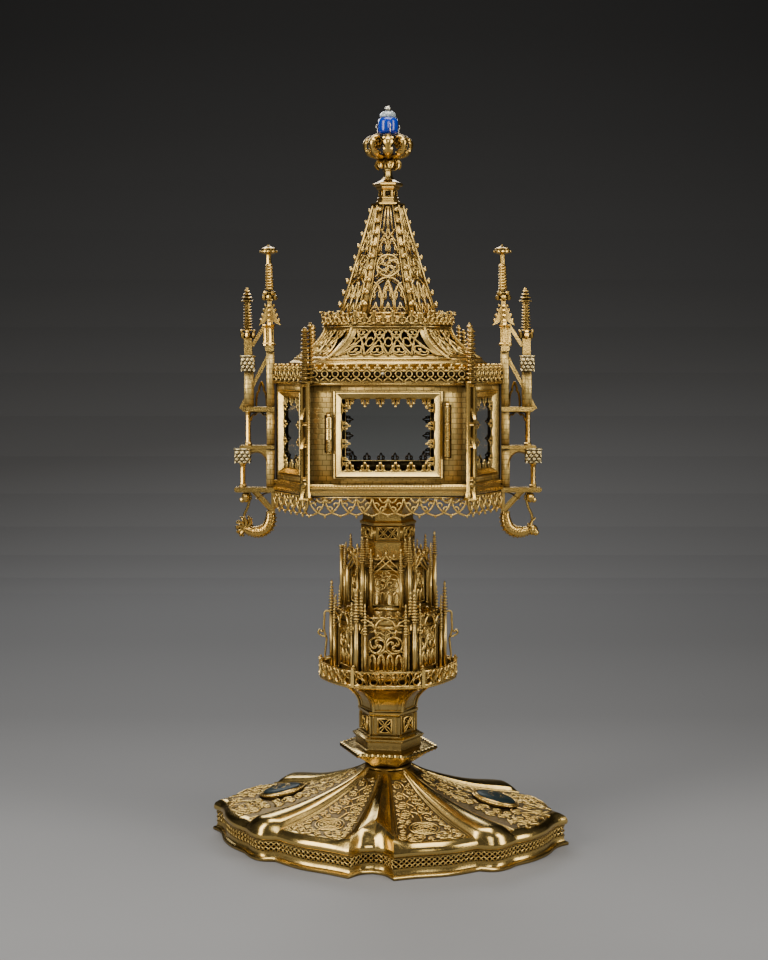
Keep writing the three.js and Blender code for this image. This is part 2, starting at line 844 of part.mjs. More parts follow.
// Upper stem, with a hexagonal tube down through both storeys and a funnel under the tower.
function makeUpperStem() {
  const body = stack(6, 0, [
    [stemUpperRadius - 6, storeyBottom],
    [stemUpperRadius - 6, upperStoreyTop - 4],
    [stemUpperRadius, upperStoreyTop - 2],
    [stemUpperRadius, stemPanelBottom - 1],
    [stemPanelRadius + 0.8, stemPanelBottom - 0.6],
    [stemPanelRadius, stemPanelBottom],
    [stemPanelRadius, corniceBottom],
    [corniceRadius, corniceBottom + 0.8],
    [corniceRadius, funnelBottom - 0.6],
    [stemUpperRadius, funnelBottom],
    [stemUpperRadius, funnelBottom + funnelHeight * 0.3],
    [funnelRadius, funnelBottom + funnelHeight - 2],
    [funnelRadius, funnelBottom + funnelHeight],
  ]);
  const width = stemPanelRadius * 0.72;
  const [low, size] = [stemPanelBottom + stemPanelMargin, stemPanelHeight - 2 * stemPanelMargin];
  const panels = sunkPanels(stemPanelRadius, low, size, width, stemPanelDepth);
  return panels.reduce((whole, panel) => whole.subtract(panel), body);
}

function makeTowerBase() {
  return towerStack([
    [0, baseBottom],
    [baseMouldReach, baseBottom + 1.4],
    [baseMouldReach, baseBottom + 3],
    [1.4, baseBottom + 5],
    [1.4, baseBottom + 6.2],
    [2.6, baseBottom + 6.8],
    [2.6, baseBottom + baseMouldHeight - 0.6],
    [0.6, baseBottom + baseMouldHeight],
  ]);
}

// Openwork arches that hang under the tower's edge, side by side along each face.
function makeHangingCrest() {
  const bottom = baseBottom - gap - hangingHeight;
  return band(towerOutline(hangingReach), towerOutline(hangingReach - crestSheet), bottom, (length) => {
    const bays = Math.max(1, Math.round(length / hangingPitch));
    const pitch = length / bays;
    const valley = hangingHeight * 0.56;
    const border = [[0, hangingHeight], [0, valley]];
    const holes = [];
    for (let i = 0; i < bays; i += 1) {
      const middle = (i + 0.5) * pitch;
      border.push([middle - pitch * 0.3, hangingHeight * 0.14]);
      border.push([middle, 0]);
      border.push([middle + pitch * 0.3, hangingHeight * 0.14]);
      border.push([(i + 1 === bays) ? length : (i + 1) * pitch, valley]);
      holes.push([
        [middle, hangingHeight * 0.8],
        [middle + pitch * 0.34, hangingHeight * 0.64],
        [middle + pitch * 0.2, hangingHeight * 0.26],
        [middle - pitch * 0.2, hangingHeight * 0.26],
        [middle - pitch * 0.34, hangingHeight * 0.64],
      ]);
    }
    border.push([length, hangingHeight]);
    return { border, holes };
  });
}

// The window faces of the tower, each with its frame's half-width.
function windowFaces() {
  return wallFaces(towerOutline(0), wallBottom).map((face) => ({
    ...face,
    half: face.length > 2.2 * frontFrame ? frontFrame : sideFrame,
  }));
}

// A rectangle as an outline.
function rectangle(half, bottom, top) {
  return [
    [-half, bottom],
    [half, bottom],
    [half, top],
    [-half, top],
  ];
}

// A ring that the hinge or latch pin runs through, from one height to another.
function knuckle(place, bottom, top) {
  const centred = new THREE.Matrix4().makeTranslation(place, -towerDepth - barrelOut, bottom);
  return plate(regular(6, barrelRadius), top - bottom, centred, [regular(6, pinRadius + gap)]);
}

// A web that ties a knuckle to the wall behind it.
function wallWeb(place, bottom, top) {
  const front = -towerDepth - barrelOut + pinRadius + gap + webStep;
  return block([place - webHalf, front, bottom], [place + webHalf, -towerDepth + webRoot, top]);
}

function makeTowerWalls() {
  const outside = towerStack([
    [0, wallBottom],
    [0, wallTop],
  ]);
  const room = towerStack([
    [-towerWall, wallBottom - 1],
    [-towerWall, wallTop + 1],
  ]);
  const openings = windowFaces().map(({ matrix, half }) => {
    const edge = frameWidth - windowRebate;
    const opening = rectangle(half - edge, windowBottom + edge, windowBottom + windowHeight - edge);
    const back = new THREE.Matrix4().makeTranslation(0, 0, -towerWall - 2);
    return plate(opening, towerWall + 4, matrix.clone().multiply(back));
  });
  const walls = openings.reduce((whole, cut) => whole.subtract(cut), outside.subtract(room));
  const hinge = hingeKnuckles().filter((_, i) => i !== 1);
  const latch = latchKnuckles().filter((_, i) => i !== 1);
  const knuckles = [
    ...hinge.map(([low, high]) => join(knuckle(barrelPlace, low, high), wallWeb(barrelPlace, low, high))),
    ...latch.map(([low, high]) => join(knuckle(-barrelPlace, low, high), wallWeb(-barrelPlace, low, high))),
  ];
  return join(walls, knuckles);
}

// Three knuckles share a barrel's height, with a clearance between them.
function shared(bottom, height) {
  const each = (height - 2 * gap) / 3;
  return [0, 1, 2].map((i) => [bottom + i * (each + gap), bottom + i * (each + gap) + each]);
}

function hingeKnuckles() {
  return shared(wallBottom + hingeBottom, hingeHeight);
}

function latchKnuckles() {
  return shared(wallBottom + latchBottom, latchHeight);
}

// A mitred frame with small leaf points that stand inward from its inner edge, on its own face plane.
function windowFrame(half) {
  const [low, high] = [windowBottom, windowBottom + windowHeight];
  const ring = (inset, depth) => [
    new THREE.Vector3(-half + inset, low + inset, depth),
    new THREE.Vector3(half - inset, low + inset, depth),
    new THREE.Vector3(half - inset, high - inset, depth),
    new THREE.Vector3(-half + inset, high - inset, depth),
  ];
  const outer = loft([
    ring(0, 0),
    ring(0, frameDepth * 0.55),
    ring(frameWidth * 0.35, frameDepth),
    ring(frameWidth, frameLip),
  ]);
  const opening = loft([ring(frameWidth, -1), ring(frameWidth, frameDepth + 1)]);
  const [halfIn, lowIn, highIn] = [half - frameWidth, low + frameWidth, high - frameWidth];
  const edge = [];
  const side = (x0, y0, x1, y1, nx, ny) => {
    const length = Math.hypot(x1 - x0, y1 - y0);
    const count = Math.max(2, Math.round(length / fleurPitch));
    for (let i = 0; i < count; i += 1) {
      const [s0, s1] = [i / count, (i + 0.5) / count];
      edge.push([x0 + (x1 - x0) * s0 + nx, y0 + (y1 - y0) * s0 + ny]);
      edge.push([x0 + (x1 - x0) * s1 + nx * fleurLength, y0 + (y1 - y0) * s1 + ny * fleurLength]);
    }
  };
  side(-halfIn, lowIn, halfIn, lowIn, 0, 1);
  side(halfIn, lowIn, halfIn, highIn, -1, 0);
  side(halfIn, highIn, -halfIn, highIn, 0, -1);
  side(-halfIn, highIn, -halfIn, lowIn, 1, 0);
  const border = rectangle(halfIn + 1, lowIn - 1, highIn + 1);
  const fleurs = plate(border, fleurSheet, new THREE.Matrix4(), [edge]);
  return join(outer.subtract(opening), fleurs);
}

// The door: the front frame with its hinge knuckle and a latch knuckle that is open behind.
function makeDoor() {
  const front = windowFaces()[4];
  const seated = front.matrix.clone().multiply(new THREE.Matrix4().makeTranslation(0, 0, gap));
  const frame = moved(windowFrame(frontFrame), seated);
  const [low, high] = hingeKnuckles()[1];
  const web = block(
    [frontFrame - 1, -towerDepth - barrelOut - 1, low],
    [barrelPlace - pinRadius - gap - webStep, -towerDepth - barrelOut + 1, high],
  );
  const [latchLow, latchHigh] = latchKnuckles()[1];
  const inner = pinRadius + gap;
  const y = -towerDepth - barrelOut;
  const left = -barrelPlace;
  const hook = [
    [-frontFrame + 1, y - barrelRadius],
    [-frontFrame + 1, y + 1.2],
    [left + inner, y + 1.2],
    [left + inner, y - inner],
    [left - inner, y - inner],
    [left - inner, y + 1.2],
    [left - barrelRadius, y + 1.2],
    [left - barrelRadius, y - barrelRadius],
  ].reverse();
  const lifted = new THREE.Matrix4().makeTranslation(0, 0, latchLow);
  return join(frame, knuckle(barrelPlace, low, high), web, plate(hook, latchHigh - latchLow, lifted));
}

// A pane in the rebate behind a frame.
function windowPane(half) {
  const clear = windowRebate - gap;
  const [low, high] = [windowBottom + frameWidth - clear, windowBottom + windowHeight - frameWidth + clear];
  return plate(rectangle(half - frameWidth + clear, low, high), glassThickness);
}

// A headed pin from pairs of radius and height.
function makePin(bottom, height, place) {
  const foot = bottom - gap;
  const head = bottom + height + gap;
  const pin = stack(6, 0, [
    [pinHeadRadius, foot - 1.2],
    [pinHeadRadius, foot],
    [pinRadius, foot],
    [pinRadius, head],
    [pinHeadRadius, head],
    [pinHeadRadius, head + 1],
    [pinRadius, head + pinHeadHeight * 0.6],
    [pinHeadRadius * 0.8, head + pinHeadHeight],
  ]);
  return shifted(pin, place, -towerDepth - barrelOut, 0);
}

// The gallery's zigzag openwork that stands on the tower's edge.
function makeGalleryCrest() {
  return band(towerOutline(crestReach), towerOutline(crestReach - crestSheet), deckBottom, (length) => {
    return { border: crestBorder(length, crestPitch, crestHeight * 0.66, crestHeight), holes: [] };
  });
}

function makeDeck() {
  const offset = crestReach - crestSheet - gap;
  return towerStack([
    [offset, deckBottom],
    [offset, deckTop],
  ]);
}

// The lower roof's outline between its eaves and its top, at a share of the way in.
function roofOutline(share, inset = 0) {
  const front = roofBaseFront + (roofTopFront - roofBaseFront) * share - inset * slope;
  const depth = roofBaseDepth + (roofTopDepth - roofBaseDepth) * share - inset;
  return longHexagon(front, depth);
}

function makeLowerRoof() {
  const middle = eaves + roofHeight * 0.5;
  const body = loft([
    level(roofOutline(0), skirtBottom),
    level(roofOutline(0), eaves - 2),
    level(roofOutline(0, -1.6), eaves - 1.4),
    level(roofOutline(0, -1.6), eaves),
    level(roofOutline(roofFlare), middle),
    level(roofOutline(1), roofTop - 1.4),
    level(roofOutline(1), roofTop),
  ]);
  const room = loft([
    level(roofOutline(0, sheet), skirtBottom - 1),
    level(roofOutline(0, sheet), eaves - 1),
    level(roofOutline(roofFlare, sheet), middle - 1),
    level(roofOutline(1, sheet), roofTop - sheet),
  ]);
  const ring = level(roofOutline(0), eaves);
  const above = level(roofOutline(1), roofTop);
  const openings = facesOf(ring, above, -8).flatMap(({ matrix, length, height }) => {
    const bottomHalf = length / 2 - roofRib;
    const isFront = length > 2 * roofBaseFront - 1;
    const ratio = isFront ? roofTopFront / roofBaseFront : roofTopDepth / roofBaseDepth;
    const topHalf = (length / 2) * ratio - roofRib;
    const [low, high] = [height * 0.14, height * 0.82];
    return Array.from({ length: roofBars }, (_, i) => {
      const [s0, s1] = [i / roofBars, (i + 1) / roofBars];
      const at = (half, share) => -half + 2 * half * share;
      const outline = [
        [at(bottomHalf, s0) + roofBarWidth / 2, low],
        [at(bottomHalf, s1) - roofBarWidth / 2, low],
        [at(topHalf, s1) - roofBarWidth / 2, high],
        [at(topHalf, s0) + roofBarWidth / 2, high],
      ];
      return plate(outline, 16, matrix);
    });
  });
  return openings.reduce((whole, cut) => whole.subtract(cut), body.subtract(room));
}

// Leaves that stand along the top edge of the lower roof.
function makeRoofCrest() {
  return band(roofOutline(1), roofOutline(1, crestSheet), spireBottom, (length) => {
    const border = crestBorder(length, leafCrestPitch, leafCrestHeight * 0.55, leafCrestHeight);
    return { border, holes: [] };
  });
}

function makeSpire() {
  const inner = (radius) => radius - sheet / Math.cos(Math.PI / 6);
  const body = stack(6, 0, [
    [spireRadius, spireBottom],
    [spireTopRadius, spireTop],
  ]);
  const room = stack(6, 0, [
    [inner(spireRadius), spireBottom - 0.01],
    [inner(spireTopRadius), spireTop - 3],
  ]);
  const ring = level(regular(6, spireRadius), spireBottom);
  const above = level(regular(6, spireTopRadius), spireTop);
  const openings = facesOf(ring, above, -2 * sheet).flatMap(({ matrix, height }) => {
    const halfAt = (v) => (spireRadius + ((spireTopRadius - spireRadius) * v) / height) / 2 - spireRib;
    const third = halfAt(height * 0.1) / 1.5;
    const lancets = [-1, 0, 1].map((i) => pointed(i * third, third * 0.36, height * 0.1, height * 0.27));
    const wheel = height * 0.43;
    const wheelRadius = halfAt(wheel) * 0.86;
    const eye = regular(7, wheelRadius, 90).map(([u, v]) => [u, v + wheel]);
    const lights = [-1, 1].map((i) => {
      const centre = i * halfAt(height * 0.6) * 0.52;
      return regular(4, height * 0.055).map(([u, v]) => [u * 0.5 + centre, v + height * 0.605]);
    });
    const slot = pointed(0, halfAt(height * 0.84) * 0.5, height * 0.73, height * 0.94);
    return [...lancets, eye, ...lights, slot].map((outline) => plate(outline, 4 * sheet, matrix));
  });
  const pierced = openings.reduce((whole, cut) => whole.subtract(cut), body.subtract(room));
  const fins = regular(6, 1).map((_, i) => turned(crocketFin(), 60 * i));
  return join(pierced, fins);
}

// A row of crockets as a toothed fin along the spire's right-hand rib.
function crocketFin() {
  const run = spireRadius - spireTopRadius;
  const at = (share, out) => [spireRadius - run * share + out, spireBottom + spireHeight * share];
  const start = (leafCrestHeight + gap) / spireHeight;
  const step = (1 - start) / crocketCount;
  const edge = [at(start, -1), at(start, 0.6)];
  for (let i = 0; i < crocketCount; i += 1) {
    edge.push(at(start + (i + 0.35) * step, crocketReach));
    edge.push(at(start + (i + 0.8) * step, 0.6));
  }
  edge.push(at(1, 0.4), at(1, -1));
  const upright = new THREE.Matrix4().makeRotationX(Math.PI / 2);
  upright.setPosition(0, crocketSheet / 2, 0);
  return plate(edge, crocketSheet, upright);
}

function makeFinialColumn() {
  return stack(6, 0, [
    [finialBaseRadius, finialBottom],
    [finialBaseRadius, finialColumnBottom],
    [finialColumnRadius, finialColumnBottom + 2],
    [finialColumnRadius, finialFlangeBottom],
    [finialFlangeRadius, finialFlangeBottom + 0.8],
    [finialFlangeRadius, finialNeckBottom],
  ]);
}

function makeFinialNeck() {
  const top = leafCollarBottom - gap;
  const low = finialNeckBottom + gap;
  return stack(12, 0, [
    [finialColumnRadius + 0.6, low],
    [finialNeckRadius + 1.4, low + finialNeckHeight * 0.25],
    [finialNeckRadius, low + finialNeckHeight * 0.55],
    [finialNeckRadius, top],
  ]);
}

function makeLeafCollar() {
  const core = stack(8, 22.5, [
    [finialNeckRadius + 1.6, leafCollarBottom],
    [leafCollarRadius * 0.75, leafCollarBottom + leafCollarHeight * 0.6],
    [finialNeckRadius + 1.6, leafCollarBottom + leafCollarHeight],
  ]);
  const tips = regular(4, 1, 45).map((_, i) => {
    const tip = stack(4, 45, [
      [1.2, leafCollarBottom + 0.6],
      [2.4, leafCollarBottom + leafCollarHeight * 0.45],
      [0.8, leafCollarBottom + leafCollarHeight * 0.75],
    ]);
    return turned(shifted(tip, leafCollarRadius - 2.2, 0, 0), 45 + 90 * i);
  });
  return join(core, tips);
}

// The capital's leaves rise from a short stalk and curl outward into open loops.
function makeCapital() {
  const stalk = stack(6, 0, [
    [finialNeckRadius + 1.4, capitalBottom],
    [finialNeckRadius + 3, capitalBottom + capitalHeight * 0.5],
    [finialNeckRadius + 4, capitalBottom + capitalHeight],
  ]);
  const loop = capitalHeight * 0.27;
  const centre = [capitalReach - loop - 0.4, capitalHeight * 0.6];
  const [x, z] = centre;
  const leaf = [
    [3, 1],
    [7, 1.4],
    [x + loop * 0.5, z - loop * 0.9],
    [x + loop, z],
    [x + loop * 0.6, z + loop * 0.85],
    [x - loop * 0.3, z + loop],
    [x - loop * 1.3, capitalHeight],
    [3, capitalHeight - 1],
  ];
  const hole = regular(5, loop * 0.5, 10).map(([u, v]) => [u + x, v + z]);
  const upright = new THREE.Matrix4().makeRotationX(Math.PI / 2);
  upright.setPosition(0, capitalLeafWidth / 2, capitalBottom);
  const one = plate(leaf, capitalLeafWidth, upright, [hole]);
  const leaves = regular(capitalLeaves, 1).map((_, i) => turned(one, (360 / capitalLeaves) * (i + 0.5)));
  return join(stalk, leaves);
}

// A ball cut flat at its poles.
function makeBall(radius, bottom, height) {
  const rows = 4;
  const polar = radians(72);
  const profile = Array.from({ length: rows + 1 }, (_, i) => {
    const angle = polar * ((2 * i) / rows - 1);
    return [radius * Math.cos(angle), bottom + (height / 2) * (Math.sin(angle) / Math.sin(polar) + 1)];
  });
  return stack(10, 0, profile);
}

function makeBeadCap() {
  return stack(10, 0, [
    [beadCapRadius * 0.8, capBottom],
    [beadCapRadius, capBottom + beadCapHeight * 0.35],
    [beadCapRadius * 0.6, capBottom + beadCapHeight],
  ]);
}

// The slender buttress of one broad corner, with its inner face towards the wall along -X.
function makeCornerButtress() {
  const half = cornerPost * Math.SQRT1_2;
  const [low, high] = [wallBottom + cornerPostBottom, wallBottom + cornerPostTop];
  const shoulder = high - cornerPinnacle;
  const post = stack(4, 45, [
    [half * 0.5, low],
    [half * 0.85, low + 5],
    [half * 0.85, wallBottom + 44],
    [half, wallBottom + 46],
    [half * 0.75, wallBottom + 48],
    [half * 0.75, shoulder],
  ]);
  const spike = pinnacle(0, 0, shoulder - 1, high, cornerPost);
  const wallSide = -cornerPostOut + gap + tieStep;
  const ties = tieHeights.map((height) => {
    const middle = wallBottom + height;
    return block([wallSide, -tieHalf, middle - tieHalf], [0, tieHalf, middle + tieHalf]);
  });
  return join(post, spike, ties);
}

// Flying buttress in its own plane: u runs out from the tower's side corner, v up from its floor level.
function buttressSolid() {
  const upright = new THREE.Matrix4().makeRotationX(Math.PI / 2);
  upright.setPosition(0, pierDepth / 2, 0);
  const bar = (points, depth = pierDepth) => {
    const centred = upright.clone().setPosition(0, depth / 2, 0);
    return plate(points, depth, centred);
  };
  const column = (centre, width, low, high, depth = pierDepth) => {
    const [left, right] = [centre - width / 2, centre + width / 2];
    return bar([[left, low], [right, low], [right, high], [left, high]], depth);
  };
  const slab = (from, to, low) => column((from + to) / 2, to - from, low, low + slabThickness);
  const strut = (u0, v0, u1, v1) => {
    const across = new THREE.Vector2(v1 - v0, u0 - u1).setLength(strutWidth / 2);
    const outline = [
      [u0 - across.x, v0 - across.y],
      [u0 + across.x, v0 + across.y],
      [u1 + across.x, v1 + across.y],
      [u1 - across.x, v1 - across.y],
    ];
    return bar(outline, strutDepth);
  };
  const hood = [
    [pierOut - hoodFoot, hoodBottom],
    [pierOut + hoodFoot, hoodBottom],
    [pierOut + hoodHead, hoodTop],
    [pierOut - hoodHead, hoodTop],
  ];
  const lowerBlock = middleSlab - scaleBlock + 2;
  const bracketBottom = bottomSlab - bracketDrop;
  return join(
    column(pierOut, pierWidth, bottomSlab, innerShoulder),
    column(pierOut, pierWidth * 0.86, innerShoulder - 1, hoodBottom + 1),
    bar(hood, hoodFoot),
    pinnacle(pierOut, 0, hoodTop - 1, innerPinnacleTop, pinnacleWidth),
    column(outerPierOut, outerPierWidth, upperSlab, outerShoulder),
    column(outerPierOut + blockOffset, scaleBlock, blockBottom, blockBottom + scaleBlock - 0.6, blockDepth),
    pinnacle(outerPierOut, 0, outerShoulder - 1, outerPinnacleTop, pinnacleWidth),
    strut(pierOut + 2, hoodBottom, outerPierOut - 2, upperStrutFoot),
    strut(pierOut + 1, lowerStrutHead, outerPierOut + 8, lowerStrutFoot),
    slab(pierOut - 2, outerPierOut + 6, upperSlab),
    column(outerPierOut + middleColumnOffset, lowerColumnWidth, middleSlab, upperSlab + 1),
    slab(pierOut - 3, slabReach, middleSlab),
    column(slabReach - scaleBlock / 2, scaleBlock, lowerBlock, middleSlab + 1, blockDepth),
    column(lowerColumnOut, lowerColumnWidth, bottomSlab + 1, lowerBlock + 1),
    slab(pierOut, slabReach, bottomSlab),
    strut(pierOut + 1, bracketBottom + 1.4, lowerColumnOut - 4, bottomSlab + 1),
    column(pierOut - 0.6, strutWidth, bracketBottom, bottomSlab + 1, strutDepth),
  );
}

// A flying buttress set on a side corner, leaning a little to the left above the wall's top.
function makeSideButtress(side) {
  const corner = towerFront + towerDepth * slope + gap;
  const body = shifted(buttressSolid(), corner, 0, wallBottom);
  const geometry = geometryOf(side > 0 ? body : turned(body, 180));
  const place = geometry.attributes.position;
  for (let i = 0; i < place.count; i += 1) {
    place.setX(i, place.getX(i) - buttressLean * Math.max(0, place.getZ(i) - wallTop));
  }
  const leaning = solid(geometry);
  const clear = towerStack([
    [gap, wallBottom - 40],
    [gap, wallTop + 30],
  ]);
  const base = towerStack([
    [baseMouldReach + gap, baseBottom - gap],
    [baseMouldReach + gap, wallBottom],
  ]);
  const crest = towerStack([
    [crestReach + gap, deckBottom - gap],
    [crestReach + gap, deckBottom + crestHeight + gap],
  ]);
  const hanging = towerStack([
    [hangingReach + gap, baseBottom - hangingHeight - 2 * gap],
    [hangingReach + gap, baseBottom],
  ]);
  return [clear, base, crest, hanging].reduce((whole, cut) => whole.subtract(cut), leaning);
}

// A dragon bent into a U, with its round head raised on the outer side.
function makeDragon(side) {
  const steps = 5;
  const rings = Array.from({ length: steps + 1 }, (_, i) => {
    const share = i / steps;
    const angle = radians(200 + 190 * share);
    const girth = (dragonBody / 2) * (0.55 + 0.45 * Math.sin(Math.PI * Math.min(1, share * 1.2)));
    const centre = new THREE.Vector3(dragonRadius * Math.cos(angle), 0, dragonRadius * Math.sin(angle));
    const outward = new THREE.Vector3(Math.cos(angle), 0, Math.sin(angle));
    return regular(6, girth).map(([a, b]) => {
      const across = new THREE.Vector3(0, b, 0);
      return centre.clone().addScaledVector(outward, a).add(across);
    });
  });
  const body = loft(rings);
  const head = solid(new THREE.IcosahedronGeometry(dragonBody * 0.72, 0).translate(dragonRadius + 1, 0, 2));
  const half = dragonStemWidth / 2;
  const stem = block([-dragonRadius - half, -half, -dragonStem], [-dragonRadius + half, half, dragonStem]);
  const corner = towerFront + towerDepth * slope + gap;
  const drop = wallBottom + bottomSlab - bracketDrop - gap - dragonStem;
  const whole = shifted(join(body, head, stem), corner + dragonOut, 0, drop);
  return side > 0 ? whole : turned(whole, 180);
}

// The whole monstrance.
const monstrance = new THREE.Group();

const footGroup = new THREE.Group();
footGroup.rotation.z = radians(footTurn);
footGroup.add(named("foot", makeFoot(), gilt));
for (const side of [1, -1]) {
  const plaque = named(side > 0 ? "enamel_plaque_right" : "enamel_plaque_left", makePlaque(), enamel);
  const seat = new THREE.Matrix4().makeTranslation(0, 0, bezelHeight - plaqueThickness);
  plaque.applyMatrix4(plaqueMatrix(side).multiply(seat));
  footGroup.add(plaque);
}
monstrance.add(footGroup);

monstrance.add(named("stem_collar", makeCollar(), gilt));
monstrance.add(named("lower_stem", makeLowerStem(), gilt));
monstrance.add(named("knop_bowl", makeBowl(), gilt));
monstrance.add(named("knop_floor", makeKnopFloor(), gilt));
monstrance.add(named("knop_lower_storey", makeLowerStorey(), gilt));
monstrance.add(named("knop_upper_storey", makeUpperStorey(), darkGilt));
monstrance.add(named("upper_stem", makeUpperStem(), gilt));
monstrance.add(named("tower_base", makeTowerBase(), gilt));
monstrance.add(named("hanging_crest", makeHangingCrest(), gilt));
monstrance.add(named("tower_walls", makeTowerWalls(), gilt));
monstrance.add(named("door_frame", makeDoor(), gilt));
const hingePin = makePin(wallBottom + hingeBottom, hingeHeight, barrelPlace);
monstrance.add(named("hinge_pin", hingePin, gilt));
const latchPin = makePin(wallBottom + latchBottom, latchHeight, -barrelPlace);
monstrance.add(named("latch_pin", latchPin, gilt));

const faceNames = ["back_right", "back", "back_left", "front_left", "front", "front_right"];
windowFaces().forEach(({ matrix, half }, i) => {
  const place = (mesh, outward) => {
    mesh.applyMatrix4(matrix.clone().multiply(new THREE.Matrix4().makeTranslation(0, 0, outward)));
    monstrance.add(mesh);
  };
  const isDoor = faceNames[i] === "front";
  const paneName = isDoor ? "door_glass" : "glass_" + faceNames[i];
  place(named(paneName, windowPane(half), windowGlass), -glassThickness);
  if (!isDoor) {
    place(named("window_frame_" + faceNames[i], windowFrame(half), gilt), gap);
  }
});

monstrance.add(named("gallery_crest", makeGalleryCrest(), gilt));
monstrance.add(named("roof_deck", makeDeck(), gilt));
monstrance.add(named("lower_roof", makeLowerRoof(), gilt));
monstrance.add(named("roof_crest", makeRoofCrest(), gilt));
monstrance.add(named("spire", makeSpire(), gilt));
monstrance.add(named("finial_column", makeFinialColumn(), gilt));
monstrance.add(named("finial_neck", makeFinialNeck(), gilt));
monstrance.add(named("leaf_collar", makeLeafCollar(), gilt));
monstrance.add(named("leaf_capital", makeCapital(), gilt));
monstrance.add(named("blue_bead", makeBall(beadRadius, beadBottom, beadHeight), blueGlass));
monstrance.add(named("bead_cap", makeBeadCap(), greyGlass));
monstrance.add(named("silver_knob", makeBall(knobRadius, knobBottom, knobHeight), silver));

const corners = towerOutline(0).filter(([, y]) => y !== 0);
corners.forEach(([x, y], i) => {
  const outward = Math.atan2(Math.sign(y) * Math.cos(Math.PI / 6), Math.sign(x) * Math.sin(Math.PI / 6));
  const mesh = named("corner_buttress_" + (i + 1), makeCornerButtress(), gilt);
  mesh.position.set(x + cornerPostOut * Math.cos(outward), y + cornerPostOut * Math.sin(outward), 0);
  mesh.rotation.z = outward;
  monstrance.add(mesh);
});

for (const [name, side] of [["right", 1], ["left", -1]]) {
  monstrance.add(named("flying_buttress_" + name, makeSideButtress(side), gilt));
  monstrance.add(named("dragon_" + name, makeDragon(side), gilt));
}

export default monstrance;
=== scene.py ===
# %% [markdown]
# # A late Gothic tower monstrance in silver gilt
#
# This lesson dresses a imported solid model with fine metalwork. The solids give every place and size.
# The scene adds what a goldsmith adds: mouldings, tracery, crockets, rope edges, filigree and worn gilding.
# Everything here is written in millimetres and becomes metres when a mesh is made.

# %% Load the frame
import json
import math

import bpy
import numpy as np
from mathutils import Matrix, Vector


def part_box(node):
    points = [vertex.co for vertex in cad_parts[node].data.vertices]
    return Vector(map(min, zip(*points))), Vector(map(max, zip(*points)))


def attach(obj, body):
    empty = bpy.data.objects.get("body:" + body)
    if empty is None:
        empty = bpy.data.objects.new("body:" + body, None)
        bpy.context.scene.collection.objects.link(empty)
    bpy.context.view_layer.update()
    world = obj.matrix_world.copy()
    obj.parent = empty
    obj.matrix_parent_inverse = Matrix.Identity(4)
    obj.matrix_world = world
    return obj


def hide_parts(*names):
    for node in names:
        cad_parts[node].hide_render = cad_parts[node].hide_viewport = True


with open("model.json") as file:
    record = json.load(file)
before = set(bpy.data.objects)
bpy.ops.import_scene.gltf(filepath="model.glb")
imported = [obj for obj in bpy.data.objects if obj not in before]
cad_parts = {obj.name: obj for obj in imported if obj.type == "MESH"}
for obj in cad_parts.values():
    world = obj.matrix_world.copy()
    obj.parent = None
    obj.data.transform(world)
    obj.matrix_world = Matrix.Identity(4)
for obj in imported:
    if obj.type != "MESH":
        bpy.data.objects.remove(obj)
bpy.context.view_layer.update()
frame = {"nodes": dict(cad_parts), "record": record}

MM = 0.001
BODY = "monstrance"

# %% [markdown]
# ## The camera
#
# The photograph looks at the tower from in front, a little above its middle. Its upright lines stay parallel,
# so most of the framing is a lens shift, and only a small part is a downward tilt.

# %% Camera
PICTURE_HEIGHT = 960
FOCAL_PIXELS = 1460
SENSOR = 36.0
CAMERA_DISTANCE = 1.1934
CAMERA_HEIGHT = 0.4011
TILT = 0.0235
SHIFT_UP = 0.10
CENTRE_OFFSET = 4

lens = bpy.data.cameras.new("camera")
lens.lens = FOCAL_PIXELS / PICTURE_HEIGHT * SENSOR
lens.sensor_width = SENSOR
lens.shift_y = -SHIFT_UP
lens.shift_x = -CENTRE_OFFSET / PICTURE_HEIGHT
camera = bpy.data.objects.new("camera", lens)
camera.location = (0, -CAMERA_DISTANCE, CAMERA_HEIGHT)
camera.rotation_euler = (math.pi / 2 - TILT, 0, 0)
bpy.context.collection.objects.link(camera)
bpy.context.scene.camera = camera
print("lens", round(lens.lens, 1), "mm, tilt", round(math.degrees(TILT), 2), "degrees")

# %% [markdown]
# ## Shapes as arrays
#
# Each shape is a part: points, four-cornered faces and three-cornered faces, all numpy arrays.
# A ring is carried into a skin, a profile is carried along a path, and a finished part is copied by matrices.

# %% Parts
def part(points, quads=None, tris=None):
    """Points with their faces. Missing faces become empty arrays."""
    quads = np.zeros((0, 4), int) if quads is None else np.asarray(quads, int).reshape(-1, 4)
    tris = np.zeros((0, 3), int) if tris is None else np.asarray(tris, int).reshape(-1, 3)
    return np.asarray(points, float).reshape(-1, 3), quads, tris


def joined(parts):
    """Many parts as one: each part's face numbers are raised by the count of points before it."""
    counts = np.cumsum([0] + [len(p[0]) for p in parts])
    points = np.concatenate([p[0] for p in parts])
    quads = np.concatenate([p[1] + n for p, n in zip(parts, counts)])
    tris = np.concatenate([p[2] + n for p, n in zip(parts, counts)])
    return points, quads, tris


def copies(shape, matrices):
    """The shape once for each 4 by 4 matrix, all worked out in one product."""
    matrices = np.asarray(matrices, float).reshape(-1, 4, 4)
    points, quads, tris = shape
    spots = np.einsum("kij,nj->kni", matrices[:, :3, :3], points) + matrices[:, None, :3, 3]
    step = (np.arange(len(matrices)) * len(points))[:, None, None]
    flipped = np.linalg.det(matrices[:, :3, :3]) < 0
    many_quads, many_tris = quads[None] + step, tris[None] + step
    many_quads[flipped] = many_quads[flipped][:, :, ::-1]
    many_tris[flipped] = many_tris[flipped][:, :, ::-1]
    return part(spots, many_quads, many_tris)


